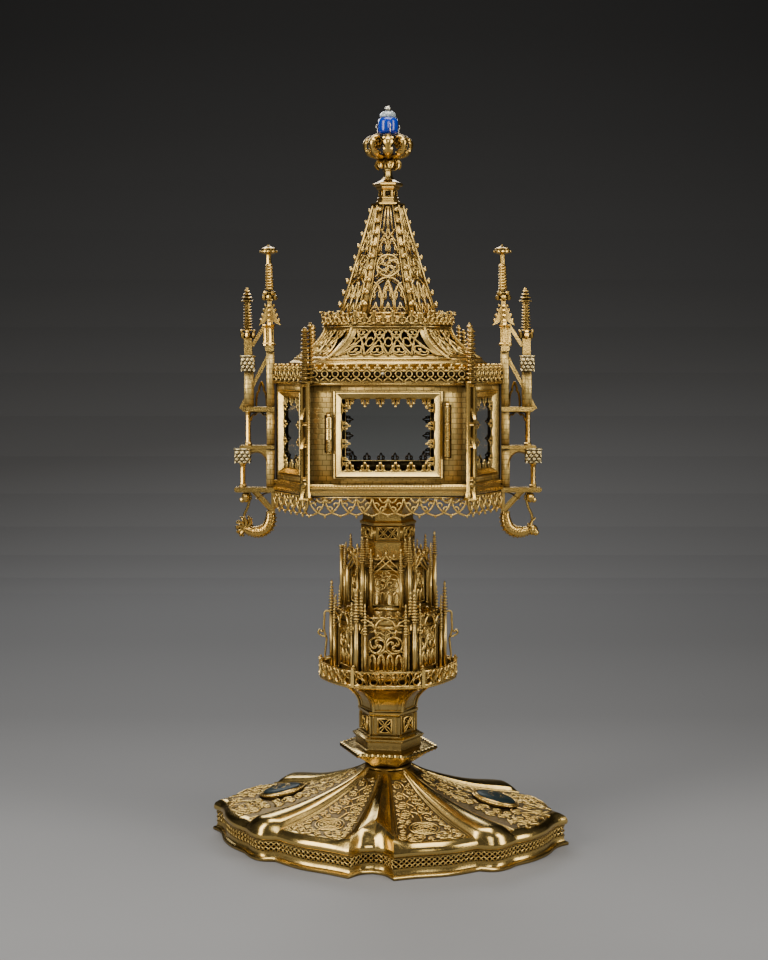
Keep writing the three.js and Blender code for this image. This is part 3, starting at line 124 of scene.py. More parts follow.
def matrix(origin=(0, 0, 0), u=(1, 0, 0), v=(0, 1, 0), w=(0, 0, 1)):
    """A placing matrix from where the origin goes and where the three axes point."""
    made = np.eye(4)
    made[:3, 0], made[:3, 1], made[:3, 2], made[:3, 3] = u, v, w, origin
    return made


def turn(degrees):
    """A turn about the upright axis."""
    c, s = math.cos(math.radians(degrees)), math.sin(math.radians(degrees))
    return matrix((0, 0, 0), (c, s, 0), (-s, c, 0), (0, 0, 1))


def move(x, y, z):
    """A shift."""
    return matrix((x, y, z))


def stretch(x, y, z):
    """A scaling along each axis."""
    return matrix((0, 0, 0), (x, 0, 0), (0, y, 0), (0, 0, z))


FACING = matrix((0, 0, 0), (1, 0, 0), (0, 0, -1), (0, 1, 0))


def at(shape, *matrices):
    """The shape placed by the product of the matrices."""
    product = np.eye(4)
    for m in matrices:
        product = product @ m
    return copies(shape, [product])


def around(shape, count, start=0.0):
    """The shape repeated in a circle about the upright axis."""
    return copies(shape, [turn(start + 360.0 * i / count) for i in range(count)])


# %% Surfaces and sweeps
def skin(rings, closed=False):
    """A surface through rings of points that run anticlockwise as the rings rise. The ends get a fan each."""
    rings = np.asarray(rings, float)
    rows, cols = rings.shape[:2]
    r = np.arange(rows if closed else rows - 1)[:, None]
    c = np.arange(cols)[None, :]
    a, b = r * cols + c, r * cols + (c + 1) % cols
    up = (r + 1) % rows * cols
    quads = np.stack([a, b, up + (c + 1) % cols, up + c], -1).reshape(-1, 4)
    points = rings.reshape(-1, 3)
    if closed:
        return part(points, quads)
    centres = np.array([rings[0].mean(0), rings[-1].mean(0)])
    first, last = rows * cols, rows * cols + 1
    k = np.arange(cols)
    low = np.stack([np.full(cols, first), (k + 1) % cols, k], -1)
    top = (rows - 1) * cols
    high = np.stack([np.full(cols, last), top + k, top + (k + 1) % cols], -1)
    return part(np.concatenate([points, centres]), quads, np.concatenate([low, high]))


def sweep(path, section, normal=(0, 0, 1), closed=False, grow=None):
    """A section (across, out) carried along a path. Out follows the normal, and grow scales it on the way."""
    path = np.asarray(path, float)
    if path.shape[1] == 2:
        path = np.column_stack([path, np.zeros(len(path))])
    step = np.roll(path, -1, 0) - np.roll(path, 1, 0) if closed else np.gradient(path, axis=0)
    along = step / np.maximum(np.linalg.norm(step, axis=1, keepdims=True), 1e-9)
    out = np.broadcast_to(np.asarray(normal, float), path.shape)
    out = out - (out * along).sum(1, keepdims=True) * along
    out = out / np.maximum(np.linalg.norm(out, axis=1, keepdims=True), 1e-9)
    side = np.cross(out, along)
    section = np.asarray(section, float)
    if section.ndim == 2:
        section = np.broadcast_to(section, (len(path),) + section.shape)
    if grow is not None:
        section = section * np.asarray(grow, float)[:, None, None]
    rings = path[:, None] + section[..., :1] * side[:, None] + section[..., 1:] * out[:, None]
    return skin(rings, closed=closed)


def ridge_bar(width, depth):
    """The section of a tracery bar: flat behind, with a ridge in front that catches the light."""
    half = width / 2
    return np.array([[-half, 0], [half, 0], [half, depth * 0.45], [0, depth], [-half, depth * 0.45]])


def measured(path, closed=False):
    """The points of a path, the first one again where it is closed, and how far along each point lies."""
    path = np.asarray(path, float)
    ends = np.vstack([path, path[:1]]) if closed else path
    return ends, np.concatenate([[0], np.cumsum(np.linalg.norm(np.diff(ends, axis=0), axis=1))])


def round_bar(radius, sides=6):
    """A round section."""
    return regular(sides, radius)


def bars(curves, width, depth, closed=False):
    """Ridged bars along flat curves."""
    section = ridge_bar(width, depth)
    return joined([sweep(c, section, closed=closed) for c in curves])


# %% Flat curves
def line(a, b, count=2):
    """A straight run of points."""
    share = np.linspace(0, 1, count)[:, None]
    return np.asarray(a, float) * (1 - share) + np.asarray(b, float) * share


def arc(centre, radius, start, end, count=10):
    """An arc between two angles in degrees."""
    angle = np.radians(np.linspace(start, end, count))
    return np.column_stack([centre[0] + radius * np.cos(angle), centre[1] + radius * np.sin(angle)])


def circle(centre, radius, count=16):
    """A ring of points whose first point isn't repeated."""
    return arc(centre, radius, 0, 360 - 360 / count, count)


def hoop(centre, radius, count, width, depth):
    """A closed round bar."""
    return bars([circle(centre, radius, count)], width, depth, closed=True)


def oblong_line(x0, y0, x1, y1):
    """The four corners of an oblong."""
    return np.array([[x0, y0], [x1, y0], [x1, y1], [x0, y1]])


def frame_bars(x0, y0, x1, y1, width, depth):
    """A closed oblong frame of bars."""
    return bars([oblong_line(x0, y0, x1, y1)], width, depth, closed=True)


def bend(a, b, c, d, count=10):
    """A smooth curve from a to d that leaves towards b and arrives from c."""
    t = np.linspace(0, 1, count)[:, None]
    a, b, c, d = (np.asarray(p, float) for p in (a, b, c, d))
    return a * (1 - t) ** 3 + 3 * b * t * (1 - t) ** 2 + 3 * c * t ** 2 * (1 - t) + d * t ** 3


def spiral(centre, radius, start, turns, count=22, shrink=0.12):
    """A scroll that winds in from its rim to a small eye."""
    share = np.linspace(0, 1, count)
    angle = math.radians(start) + 2 * np.pi * turns * share
    reach = radius * (1 - (1 - shrink) * share)
    return np.column_stack([centre[0] + reach * np.cos(angle), centre[1] + reach * np.sin(angle)])


def mirrored(curves):
    """The curves and their mirror images across the middle."""
    return list(curves) + [np.asarray(c) * [-1, 1] for c in curves]


# %% Turned and flat bodies
def level(outline, z):
    """A flat outline at one height."""
    return np.column_stack([outline, np.full(len(outline), z)])


def side_path(curve, y=0.0):
    """A curve of outward distance and height, stood up in the upright plane at y."""
    return np.column_stack([curve[:, 0], np.full(len(curve), y), curve[:, 1]])


def regular(sides, radius, start=0.0):
    """The corners of a regular outline."""
    angle = math.radians(start) + np.arange(sides) * 2 * np.pi / sides
    return radius * np.column_stack([np.cos(angle), np.sin(angle)])


def lathe(profile, sides=6, start=0.0):
    """A turned or stepped body: rings of the radius and height pairs on a regular outline."""
    return skin([level(regular(sides, r, start), z) for r, z in profile])


def ball(radius, centre=(0, 0, 0), sides=7, rows=5, tall=1.0):
    """A small ball as a lathe of a half circle, slightly open at the poles and closed by fans."""
    angle = np.radians(np.linspace(-80, 80, rows))
    return at(lathe([(radius * math.cos(a), radius * tall * math.sin(a)) for a in angle], sides),
        move(*centre))


def backed(points, quads, thickness, rim=()):
    """A sheet with a back: the same points moved by the thickness, with their faces turned, and a rim."""
    back = np.asarray(quads)[:, ::-1] + len(points)
    return part(np.vstack([points, points - thickness]), np.vstack([quads, back] + [list(rim)] * bool(rim)))


def box(low, high):
    """A block between two corners."""
    (x0, y0, z0), (x1, y1, z1) = low, high
    return skin([level(oblong_line(x0, y0, x1, y1), z) for z in (z0, z1)])


def slab(outline, low, high):
    """A flat outline, anticlockwise, given thickness along its own third axis."""
    outline = np.asarray(outline, float)
    return skin([level(outline, z) for z in (low, high)])


def plate(x0, y0, x1, y1, low, high):
    """An oblong slab."""
    return slab(oblong_line(x0, y0, x1, y1), low, high)


def walls_round(half, opening, low, high, tall, back, front):
    """Four plates round the oblong opening of one wall, from its back to its front."""
    spans = (-half, 0, -opening, tall), (opening, 0, half, tall), (-opening, 0, opening, low), (-opening,
        high, opening, tall)
    return [plate(*span, back, front) for span in spans]


def rope(path, radius, pitch=3.2, closed=True, normal=(0, 0, 1)):
    """A twisted rope: a section with three lobes that turns as it goes along the path."""
    ends, lengths = measured(path, closed)
    count = max(4, int(lengths[-1] / (pitch / 4)))
    along = np.linspace(0, lengths[-1], count, endpoint=not closed)
    fine = np.column_stack([np.interp(along, lengths, ends[:, i]) for i in range(3)])
    angle = np.arange(6) * np.pi / 3
    lobes = 1 + 0.24 * np.cos(2 * angle[None] + 2 * np.pi * along[:, None] / pitch)
    section = radius * lobes[..., None] * np.stack([np.cos(angle), np.sin(angle)], -1)[None]
    return sweep(fine, section, normal, closed)


# %% Outlines of the tower
# Where corners have 120 degrees, a wall moved outward by one grows by this much at each end.
CORNER_SLOPE = math.tan(math.pi / 6)


def long_hexagon(front, depth):
    """The tower's outline: front half-width and half-depth, with every corner at 120 degrees."""
    side = front + depth * CORNER_SLOPE
    return np.array([[side, 0], [front, depth], [-front, depth], [-side, 0], [-front, -depth],
        [front, -depth]])


TOWER_FRONT, TOWER_DEPTH = 61.1, 53.5


def tower_ring(offset, z):
    """The tower's outline, moved outward by an offset, at one height."""
    return level(long_hexagon(TOWER_FRONT + offset * CORNER_SLOPE, TOWER_DEPTH + offset), z)


def tower_skin(profile):
    """A moulding round the tower from pairs of offset and height."""
    return skin([tower_ring(o, z) for o, z in profile])


def faces(ring, above=None):
    """For each side of a ring: its placing matrix (along, up, outward), its length and its slant height."""
    ring = np.asarray(ring, float)
    above = ring + [0, 0, 1] if above is None else np.asarray(above, float)
    made = []
    for i in range(len(ring)):
        j = (i + 1) % len(ring)
        foot, head = (ring[i] + ring[j]) / 2, (above[i] + above[j]) / 2
        u = (ring[j] - ring[i]) / np.linalg.norm(ring[j] - ring[i])
        rise = head - foot
        height = np.linalg.norm(rise)
        v = rise / height
        made.append((matrix(foot, u, v, np.cross(u, v)), np.linalg.norm(ring[j] - ring[i]), height))
    return made


def hex_spots(radius, z):
    """The placing matrices of the six sides of a hexagon."""
    return [m for m, _, _ in faces(level(regular(6, radius), z))]


def wrap(shape, path, closed=True):
    """Bends a flat strip round a path: along it by the strip's x, up by its y, and outward by its z."""
    points, quads, tris = shape
    ends, lengths = measured(path, closed)
    s = np.mod(points[:, 0], lengths[-1]) if closed else np.clip(points[:, 0], 0, lengths[-1])
    k = np.clip(np.searchsorted(lengths, s, side="right") - 1, 0, len(ends) - 2)
    tangent = (ends[k + 1] - ends[k]) / (lengths[k + 1] - lengths[k])[:, None]
    spot = ends[k] + tangent * (s - lengths[k])[:, None]
    outward = np.column_stack([tangent[:, 1], -tangent[:, 0]])
    flat = spot + outward * points[:, 2:3]
    return part(np.column_stack([flat, points[:, 1]]), quads, tris)


def length_of(path):
    """The length of a closed path."""
    ends = np.vstack([path, path[:1]])
    return float(np.linalg.norm(np.diff(ends, axis=0), axis=1).sum())


# %% A part becomes a piece
tally = {}


def piece(name, shape, material, nodes=(), body=BODY, smooth=0.0, uv=None):
    """Puts a part into a mesh in metres. Smooth is the angle in degrees below which faces shade as one."""
    points, quads, tris = shape
    mesh = bpy.data.meshes.new(name)
    mesh.vertices.add(len(points))
    mesh.vertices.foreach_set("co", (points * MM).astype(np.float32).ravel())
    corners = np.concatenate([quads.ravel(), tris.ravel()]).astype(np.int32)
    mesh.loops.add(len(corners))
    mesh.loops.foreach_set("vertex_index", corners)
    sizes = np.concatenate([np.full(len(quads), 4), np.full(len(tris), 3)]).astype(np.int32)
    mesh.polygons.add(len(sizes))
    mesh.polygons.foreach_set("loop_start", np.concatenate([[0], np.cumsum(sizes)[:-1]]).astype(np.int32))
    mesh.polygons.foreach_set("loop_total", sizes)
    if uv is not None:
        layer = mesh.uv_layers.new(name="UVMap")
        layer.data.foreach_set("uv", np.asarray(uv, np.float32)[corners].ravel())
    mesh.update(calc_edges=True)
    mesh.validate()
    if smooth:
        mesh.polygons.foreach_set("use_smooth", np.ones(len(mesh.polygons), bool))
        mesh.set_sharp_from_angle(angle=math.radians(smooth))
    mesh.materials.append(material)
    made = bpy.data.objects.new(name, mesh)
    bpy.context.collection.objects.link(made)
    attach(made, body)
    if nodes:
        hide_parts(*nodes)
    tally[name] = 2 * len(quads) + len(tris)
    print(f"{name}: {tally[name]} triangles")
    return made


# %% [markdown]
# ## Worn gilding and its relatives
#
# Old gilding is never one colour. It is bright where hands and cloths reach, and brown or black in the
# corners. One node group finds the corners by how much sky a point sees and darkens them, partly as tarnish
# in the hollows and partly as painted shade. It adds soft patches and fine grain, and gives a colour, a
# roughness and a height. Each metal places the group with its own values.

# %% Node helpers
def node(tree, kind, **values):
    """A new node with its settings."""
    made = tree.nodes.new(kind)
    for key, value in values.items():
        setattr(made, key, value)
    return made


def new_group(name, inputs, outputs):
    """An empty group with its named sockets."""
    group = bpy.data.node_groups.new(name, "ShaderNodeTree")
    for title, kind, start in inputs:
        socket = group.interface.new_socket(title, in_out="INPUT", socket_type=kind)
        socket.default_value = start
    for title, kind in outputs:
        group.interface.new_socket(title, in_out="OUTPUT", socket_type=kind)
    return group, node(group, "NodeGroupInput"), node(group, "NodeGroupOutput")


def feed(tree, socket, value):
    """Links an output to a socket, or sets a plain value there."""
    if hasattr(value, "is_output"):
        tree.links.new(value, socket)
    else:
        socket.default_value = value


def math_node(tree, kind, a, b, clamp=False):
    """One step of arithmetic on two values."""
    made = node(tree, "ShaderNodeMath", operation=kind, use_clamp=clamp)
    feed(tree, made.inputs[0], a)
    feed(tree, made.inputs[1], b)
    return made.outputs[0]


def mix_colour(tree, share, a, b, blend="MIX"):
    """Colour a where the share is 0 and colour b where it is 1."""
    made = node(tree, "ShaderNodeMix", data_type="RGBA", blend_type=blend)
    for place, value in ((0, share), (6, a), (7, b)):
        feed(tree, made.inputs[place], value)
    return made.outputs[2]


def noise(tree, vector, scale, detail=3.0, roughness=0.55):
    """Soft clouds at a scale."""
    made = node(tree, "ShaderNodeTexNoise")
    made.inputs["Scale"].default_value = scale
    made.inputs["Detail"].default_value = detail
    made.inputs["Roughness"].default_value = roughness
    tree.links.new(vector, made.inputs["Vector"])
    return made.outputs["Fac"]


# %% The wear and painted shade group
FLOAT, COLOUR = "NodeSocketFloat", "NodeSocketColor"
wear_and_shade, given, result = new_group(
    "wear_and_shade_metal",
    [
        ("Metal", COLOUR, (0.7, 0.5, 0.2, 1)),
        ("Warm", COLOUR, (0.6, 0.36, 0.12, 1)),
        ("Tarnish and shade", COLOUR, (0.06, 0.04, 0.02, 1)),
        ("Age", FLOAT, 0.5),
        ("Reach", FLOAT, 0.006),
        ("Polish", FLOAT, 0.3),
    ],
    [("Colour", COLOUR), ("Roughness", FLOAT), ("Height", FLOAT)],
)
places = node(wear_and_shade, "ShaderNodeTexCoord").outputs["Object"]
# Corners that see little sky within Reach get darker: partly tarnish in the hollows, partly painted shade.
sky = node(wear_and_shade, "ShaderNodeAmbientOcclusion", samples=6)
wear_and_shade.links.new(given.outputs["Reach"], sky.inputs["Distance"])
corner = math_node(wear_and_shade, "SUBTRACT", 1.0, sky.outputs["AO"], clamp=True)
patches = noise(wear_and_shade, places, 42, 4)
grain = noise(wear_and_shade, places, 900, 2)
speckle = noise(wear_and_shade, places, 260, 4, 0.7)
patchy = math_node(wear_and_shade, "MULTIPLY", math_node(wear_and_shade, "SUBTRACT", patches, 0.42, clamp=True), 2.2, clamp=True)
# Painted shade with tarnish: the less sky a point sees, the darker it gets, scaled by age and speckle.
hollow_shade_and_tarnish = math_node(wear_and_shade, "MULTIPLY", math_node(wear_and_shade, "POWER", corner, 1.3), 1.75)
hollow_shade_and_tarnish = math_node(wear_and_shade, "MULTIPLY", hollow_shade_and_tarnish, math_node(wear_and_shade, "ADD", given.outputs["Age"], speckle))
stain = math_node(wear_and_shade, "MULTIPLY", math_node(wear_and_shade, "SUBTRACT", speckle, 0.58, clamp=True), 2.4)
stain = math_node(wear_and_shade, "MULTIPLY", stain, given.outputs["Age"])
shade_tarnish_and_stain = math_node(wear_and_shade, "ADD", hollow_shade_and_tarnish, stain, clamp=True)
tone = mix_colour(wear_and_shade, patchy, given.outputs["Metal"], given.outputs["Warm"])
# The colour goes to the tarnish and shade colour by the painted shade, the tarnish and the stains.
wear_and_shade.links.new(mix_colour(wear_and_shade, shade_tarnish_and_stain, tone, given.outputs["Tarnish and shade"]), result.inputs["Colour"])
rough = math_node(wear_and_shade, "ADD", given.outputs["Polish"], math_node(wear_and_shade, "MULTIPLY", shade_tarnish_and_stain, 0.35))
rough = math_node(wear_and_shade, "ADD", rough, math_node(wear_and_shade, "MULTIPLY", speckle, 0.12))
wear_and_shade.links.new(math_node(wear_and_shade, "SUBTRACT", rough, 0.05, clamp=True), result.inputs["Roughness"])
height = math_node(wear_and_shade, "ADD", math_node(wear_and_shade, "MULTIPLY", grain, 0.35), patches)
wear_and_shade.links.new(height, result.inputs["Height"])
print("worn metal group:", len(wear_and_shade.nodes), "nodes")

# %% [markdown]
# ## The metals, the glass and the enamel
#
# Each metal is a plain shader whose colour, roughness and bump come from the group. Glass keeps plain values.

# %% Materials
def plain(name, colour, roughness, metallic=0.0):
    """A material with plain values, and its shader."""
    made = bpy.data.materials.new(name)
    made.use_nodes = True
    shader = made.node_tree.nodes["Principled BSDF"]
    shader.inputs["Base Color"].default_value = colour
    shader.inputs["Roughness"].default_value = roughness
    shader.inputs["Metallic"].default_value = metallic
    return made, shader


def bump(tree, shader, height, distance, strength=1.0):
    """Small relief from a height, over any relief that the shader already has."""
    made = node(tree, "ShaderNodeBump")
    made.inputs["Distance"].default_value = distance
    made.inputs["Strength"].default_value = strength
    if shader.inputs["Normal"].links:
        tree.links.new(shader.inputs["Normal"].links[0].from_socket, made.inputs["Normal"])
    tree.links.new(height, made.inputs["Height"])
    tree.links.new(made.outputs["Normal"], shader.inputs["Normal"])


def metal(name, clean, warm, tarnish_and_shade, age, polish, reach=0.006, depth=0.00025):
    """A metal that places the wear and painted shade group with its own values."""
    clean, warm, tarnish_and_shade = (*clean, 1), (*warm, 1), (*tarnish_and_shade, 1)
    made, shader = plain(name, clean, polish, 1.0)
    tree = made.node_tree
    group = node(tree, "ShaderNodeGroup", node_tree=wear_and_shade)
    for title, value in (("Metal", clean), ("Warm", warm), ("Tarnish and shade", tarnish_and_shade), ("Age", age),
        ("Reach", reach), ("Polish", polish)):
        group.inputs[title].default_value = value
    tree.links.new(group.outputs["Colour"], shader.inputs["Base Color"])
    tree.links.new(group.outputs["Roughness"], shader.inputs["Roughness"])
    bump(tree, shader, group.outputs["Height"], depth)
    return made


# Each metal's tarnish colour is also the colour of the painted shade in its corners.
TARNISH_AND_SHADE_BROWN = (0.055, 0.032, 0.012)
gilt = metal("worn_gilding", (0.70, 0.46, 0.125), (0.58, 0.33, 0.075), TARNISH_AND_SHADE_BROWN, 0.45, 0.24)
smooth_gilt = metal(
    "polished_gilding", (0.65, 0.455, 0.145), (0.50, 0.325, 0.09), TARNISH_AND_SHADE_BROWN, 0.45, 0.19, 0.009, 0.00008)
bright_gilt = metal(
    "bright_gilding", (0.88, 0.61, 0.19), (0.72, 0.44, 0.11), (0.05, 0.03, 0.011), 0.45, 0.26, 0.0036, 0.0001)
dark_gilt = metal(
    "tarnished_gilding", (0.76, 0.54, 0.18), (0.58, 0.37, 0.10), (0.03, 0.02, 0.01), 0.5, 0.28, 0.004)
# Near-black painted shade, for hollows, liners, openings and bands where only shade is seen.
shade_black = metal(
    "painted_shade_black", (0.07, 0.048, 0.02), (0.04, 0.026, 0.012), (0.008, 0.006, 0.005), 0.8, 0.5)
chased_ground = metal(
    "chased_ground", (0.17, 0.115, 0.04), (0.11, 0.07, 0.025), (0.02, 0.014, 0.007), 0.9, 0.36, 0.003, 0.0012)
silver = metal("bare_silver", (0.80, 0.74, 0.59), (0.70, 0.59, 0.37), (0.1, 0.08, 0.05), 0.35, 0.22)
pale_gilt = metal(
    "pale_gilding", (0.86, 0.70, 0.36), (0.72, 0.54, 0.22), (0.07, 0.045, 0.02), 0.6, 0.26, 0.004)

clear_glass, shader = plain("clear_window_glass", (0.95, 0.97, 0.96, 1), 0.02)
shader.inputs["Transmission Weight"].default_value = 1.0
shader.inputs["IOR"].default_value = 1.08
blue_glass, shader = plain("deep_blue_glass", (0.002, 0.03, 0.38, 1), 0.24)
shader.inputs["Coat Weight"].default_value = 0.5
grey_glass, shader = plain("pale_grey_glass", (0.62, 0.72, 0.74, 1), 0.08)
shader.inputs["Transmission Weight"].default_value = 0.55
shader.inputs["Coat Weight"].default_value = 1.0
print("materials:", len(bpy.data.materials))

# %% [markdown]
# ## The foot
#
# The foot is raised from sheet. Its outline has a pointed tip at each side, small round lobes, broad lobes
# and two concave ends between sharp cusps. Each run between two cusps is one smooth curve, so it is sampled
# run by run. Every ring of the dome uses the same directions, so ridges and lobes line up from rim to neck.

# %% Outline of the foot
FOOT_TURN = -7.5
FOOT_TOP_RADIUS = 18.9
FOOT_HEIGHT = 59.0
RIM_HEIGHT = 23.0
RIM_INSET = 2.4
QUADRANT_RUNS = [
    [(0, 147.6), (4, 139), (12, 134.5), (19.5, 128.7), (26.6, 121.4)],
    [(26.6, 121.4), (33, 119.7), (37.6, 115.6), (41.4, 106.6)],
    [(41.4, 106.6), (55, 102.6), (70, 98.5), (80, 101)],
    [(80, 101), (84, 90.5), (90, 86.9)],
]


def smooth_run(points, count):
    """A curve through the points: each stretch is a cubic whose slopes come from the neighbours."""
    p = np.asarray(points, float)
    padded = np.vstack([2 * p[0] - p[1], p, 2 * p[-1] - p[-2]])
    made = []
    for i in range(len(p) - 1):
        a, b, c, d = padded[i:i + 4]
        made.append(bend(b, b + (c - a) / 6, c - (d - b) / 6, c, count + 1)[:-1])
    return np.vstack(made + [p[-1:]])


def polar(points):
    """Pairs of degrees and radius as flat points."""
    angle, radius = np.radians(np.asarray(points, float)).T[0], np.asarray(points, float)[:, 1]
    return np.column_stack([radius * np.cos(angle), radius * np.sin(angle)])


quadrant = np.vstack([smooth_run(polar(run), 6)[:-1] for run in QUADRANT_RUNS] + [polar([(90, 86.9)])])
half = np.vstack([quadrant, (quadrant * [-1, 1])[::-1][1:]])
rim = np.vstack([half[:-1], (-half)[:-1]])
RIM_ANGLE = np.degrees(np.unwrap(np.arctan2(rim[:, 1], rim[:, 0])))
RIM_RADIUS = np.hypot(rim[:, 0], rim[:, 1])
dome_path = smooth_run([(0, 1), (0.14, 0.77), (0.35, 0.53), (0.6, 0.31), (0.92, 0.12), (1, 0)], 6)
print("rim points:", len(rim), "dome points:", len(dome_path))

# %% [markdown]
# The dome is a function of direction and share of the way out. Half-round ridges run down to the small lobes,
# and a tent-shaped ridge runs to each concave end, where it splits into two creases that reach the cusps.

# %% The dome as a function
LOBE_ANGLE, LOBE_HALF, LOBE_LIFT = 34.0, 7.2, 5.4
END_HALF, END_LIFT, SPLIT_SHARE = 9.8, 6.4, 0.78


def ridge_lift(angle, share):
    """How far the metal rises above the plain dome at a direction and a share of the way out."""
    folded = 90 - np.abs((angle % 180) - 90)
    off = np.abs(folded - LOBE_ANGLE) / LOBE_HALF
    tube = LOBE_LIFT * np.sqrt(np.clip(1 - off ** 2, 0, 1)) * np.clip(0.35 + 0.65 * share, 0, 1)
    split = END_HALF * np.clip((share - SPLIT_SHARE) / (1 - SPLIT_SHARE), 0, 1)
    tent = END_LIFT * np.clip(1 - np.abs(90 - folded - split) / END_HALF, 0, 1) * np.sqrt(np.clip(share * 3,
        0.12, 1))
    tent = tent * np.clip((1 - share) / 0.07, 0, 1)
    sink = -1.5 * np.clip(1 - (np.abs(share - 0.55) / 0.42) ** 6, 0, 1) * (tube < 0.01) * (tent < 0.01)
    return tube * np.clip((1.02 - share) / 0.10, 0, 1) ** 0.5 + tent + sink


def dome(angle, share, lift=0.0):
    """A point of the dome, raised by a lift."""
    angle, share = np.broadcast_arrays(np.asarray(angle, float), np.asarray(share, float))
    rim_radius = np.interp(angle % 360, RIM_ANGLE, RIM_RADIUS, period=360)
    reach = FOOT_TOP_RADIUS + (rim_radius - RIM_INSET - FOOT_TOP_RADIUS) * share
    rise = np.interp(share, dome_path[:, 0], dome_path[:, 1])
    z = RIM_HEIGHT + (FOOT_HEIGHT - RIM_HEIGHT) * rise + ridge_lift(angle, share) + lift
    turn_by = np.radians(angle)
    return np.stack([reach * np.cos(turn_by), reach * np.sin(turn_by), z], -1)


def rim_ring(inset, z):
    """The foot's outline, moved inward, at one height."""
    radius = RIM_RADIUS - inset
    turn_by = np.radians(RIM_ANGLE)
    return level(np.column_stack([radius * np.cos(turn_by), radius * np.sin(turn_by)]), z)


# %% Skin of the foot
outer_shares = np.concatenate([np.linspace(1, 0.86, 8), np.linspace(0.83, 0, 24)])
under_shares = np.linspace(0, 0.96, 9)
rings = [dome(RIM_ANGLE, s, -1.6 - np.maximum(ridge_lift(RIM_ANGLE, s), 0)) * [0.985, 0.985,
    1] for s in under_shares]
rings += [rim_ring(8.6, 16), rim_ring(8.2, 0), rim_ring(0.6, 0), rim_ring(0, 0.5), rim_ring(0, 2.0),
    rim_ring(0.9, 2.7), rim_ring(2.8, 3.4), rim_ring(3.6, 4.6), rim_ring(3.8, 6.6), rim_ring(3.1, 6.9),
    rim_ring(3.1, 7.7), rim_ring(6.4, 7.9), rim_ring(6.4, 14.9), rim_ring(3.1, 15.1), rim_ring(3.0, 15.8),
    rim_ring(3.6, 16.1), rim_ring(1.9, 16.8), rim_ring(0.9, 18.0), rim_ring(0.7, 19.4), rim_ring(1.1, 21.0),
    rim_ring(1.9, 22.4)]
rings += [dome(RIM_ANGLE, s) for s in outer_shares]
foot_shell = at(skin(rings, closed=True), turn(FOOT_TURN))
piece("foot_shell", foot_shell, smooth_gilt, ("foot",), smooth=32)

# %% [markdown]
# The gallery round the rim is pierced into a lattice. Two families of slanting bars cross in front of a
# painted shade liner, with a small ball at each crossing, and a flat strip of them is bent round the outline.

# %% Lattice of the gallery
LATTICE_STEP = 4.3
LATTICE_LOW, LATTICE_MIDDLE, LATTICE_HIGH = 7.7, 11.4, 15.1
gallery_path = rim_ring(3.7, 0)[:, :2]
gallery_length = length_of(gallery_path)
cells = int(gallery_length / LATTICE_STEP)
step = gallery_length / cells
slant = [line((0, a), (step, LATTICE_MIDDLE)) for a in (LATTICE_LOW, LATTICE_HIGH)]
slant += [line((0, LATTICE_MIDDLE), (step, b)) for b in (LATTICE_LOW, LATTICE_HIGH)]
slant = [slant[i] for i in (0, 2, 3, 1)]
cell = joined([bars(slant, 1.0, 1.2), ball(0.75, (0, LATTICE_MIDDLE, 0.5), 6, 4)])
strip = copies(cell, [move(i * step, 0, -0.3) for i in range(cells)])
lattice = at(wrap(strip, gallery_path), turn(FOOT_TURN))
piece("foot_gallery_lattice", lattice, bright_gilt)
# A near-black band of painted shade behind the lattice.
shadow = skin([rim_ring(8.0, 7.8), rim_ring(6.2, 8.0), rim_ring(6.2, 14.8), rim_ring(8.0, 15.0)], closed=True)
piece("foot_gallery_shadow", at(shadow, turn(FOOT_TURN)), shade_black)

# %% [markdown]
# Fillets border every field. Inside them a thin sheet with a darker, chased surface covers the dome, and
# scrolls of wire lie on it. A scroll is drawn flat beside the field's middle line, then laid on the dome:
# across becomes an angle, and along becomes a share of the way out.

# %% Fillets and filigree
def on_dome(curve, middle, lift):
    """Lays points (millimetres across, share of the way out) on the dome beside a middle direction."""
    curve = np.asarray(curve, float)
    share = np.clip(curve[:, 1], 0.02, 0.97)
    base = dome(np.full(len(share), middle), share)
    reach = np.hypot(base[:, 0], base[:, 1])
    return dome(middle + np.degrees(curve[:, 0] / reach), share, lift)


def dome_bar(curve, middle, width, depth, lift=0.0, grow=None):
    """A ridged bar along a curve that is laid on the dome."""
    path = on_dome(curve, middle, lift)
    return sweep(path, ridge_bar(width, depth), (0, 0, 1), grow=grow)


FIELD_RUN = 112.0


def laid_scroll(across, share, radius, start, turns, count=18):
    """A spiral whose size is given in millimetres, laid at a share of the way out."""
    flat = spiral((0, 0), radius, start, turns, count)
    return np.column_stack([across + flat[:, 0], share + flat[:, 1] / FIELD_RUN])


shares = np.linspace(0.03, 0.955, 26)
borders = []
for middle, width in ((0, 26.3), (61, 18.0)):
    for side in (-1, 1):
        for inset in (0.0, 1.6):
            borders.append((middle, side * (width - inset * 0.9)))
fillets = []
for middle, offset in borders:
    reach = np.hypot(*dome(np.full(26, float(middle)), shares)[:, :2].T)
    across = np.radians(offset) * reach
    for mirror in (1, -1) if middle else (1,):
        for flip in (0, 180):
            centre_line = (middle * mirror + flip) % 360
            fillets.append(dome_bar(np.column_stack([across * mirror, shares]), centre_line, 1.3, 1.0, 0.1))
piece("foot_fillets", at(joined(fillets), turn(FOOT_TURN)), smooth_gilt, smooth=60)

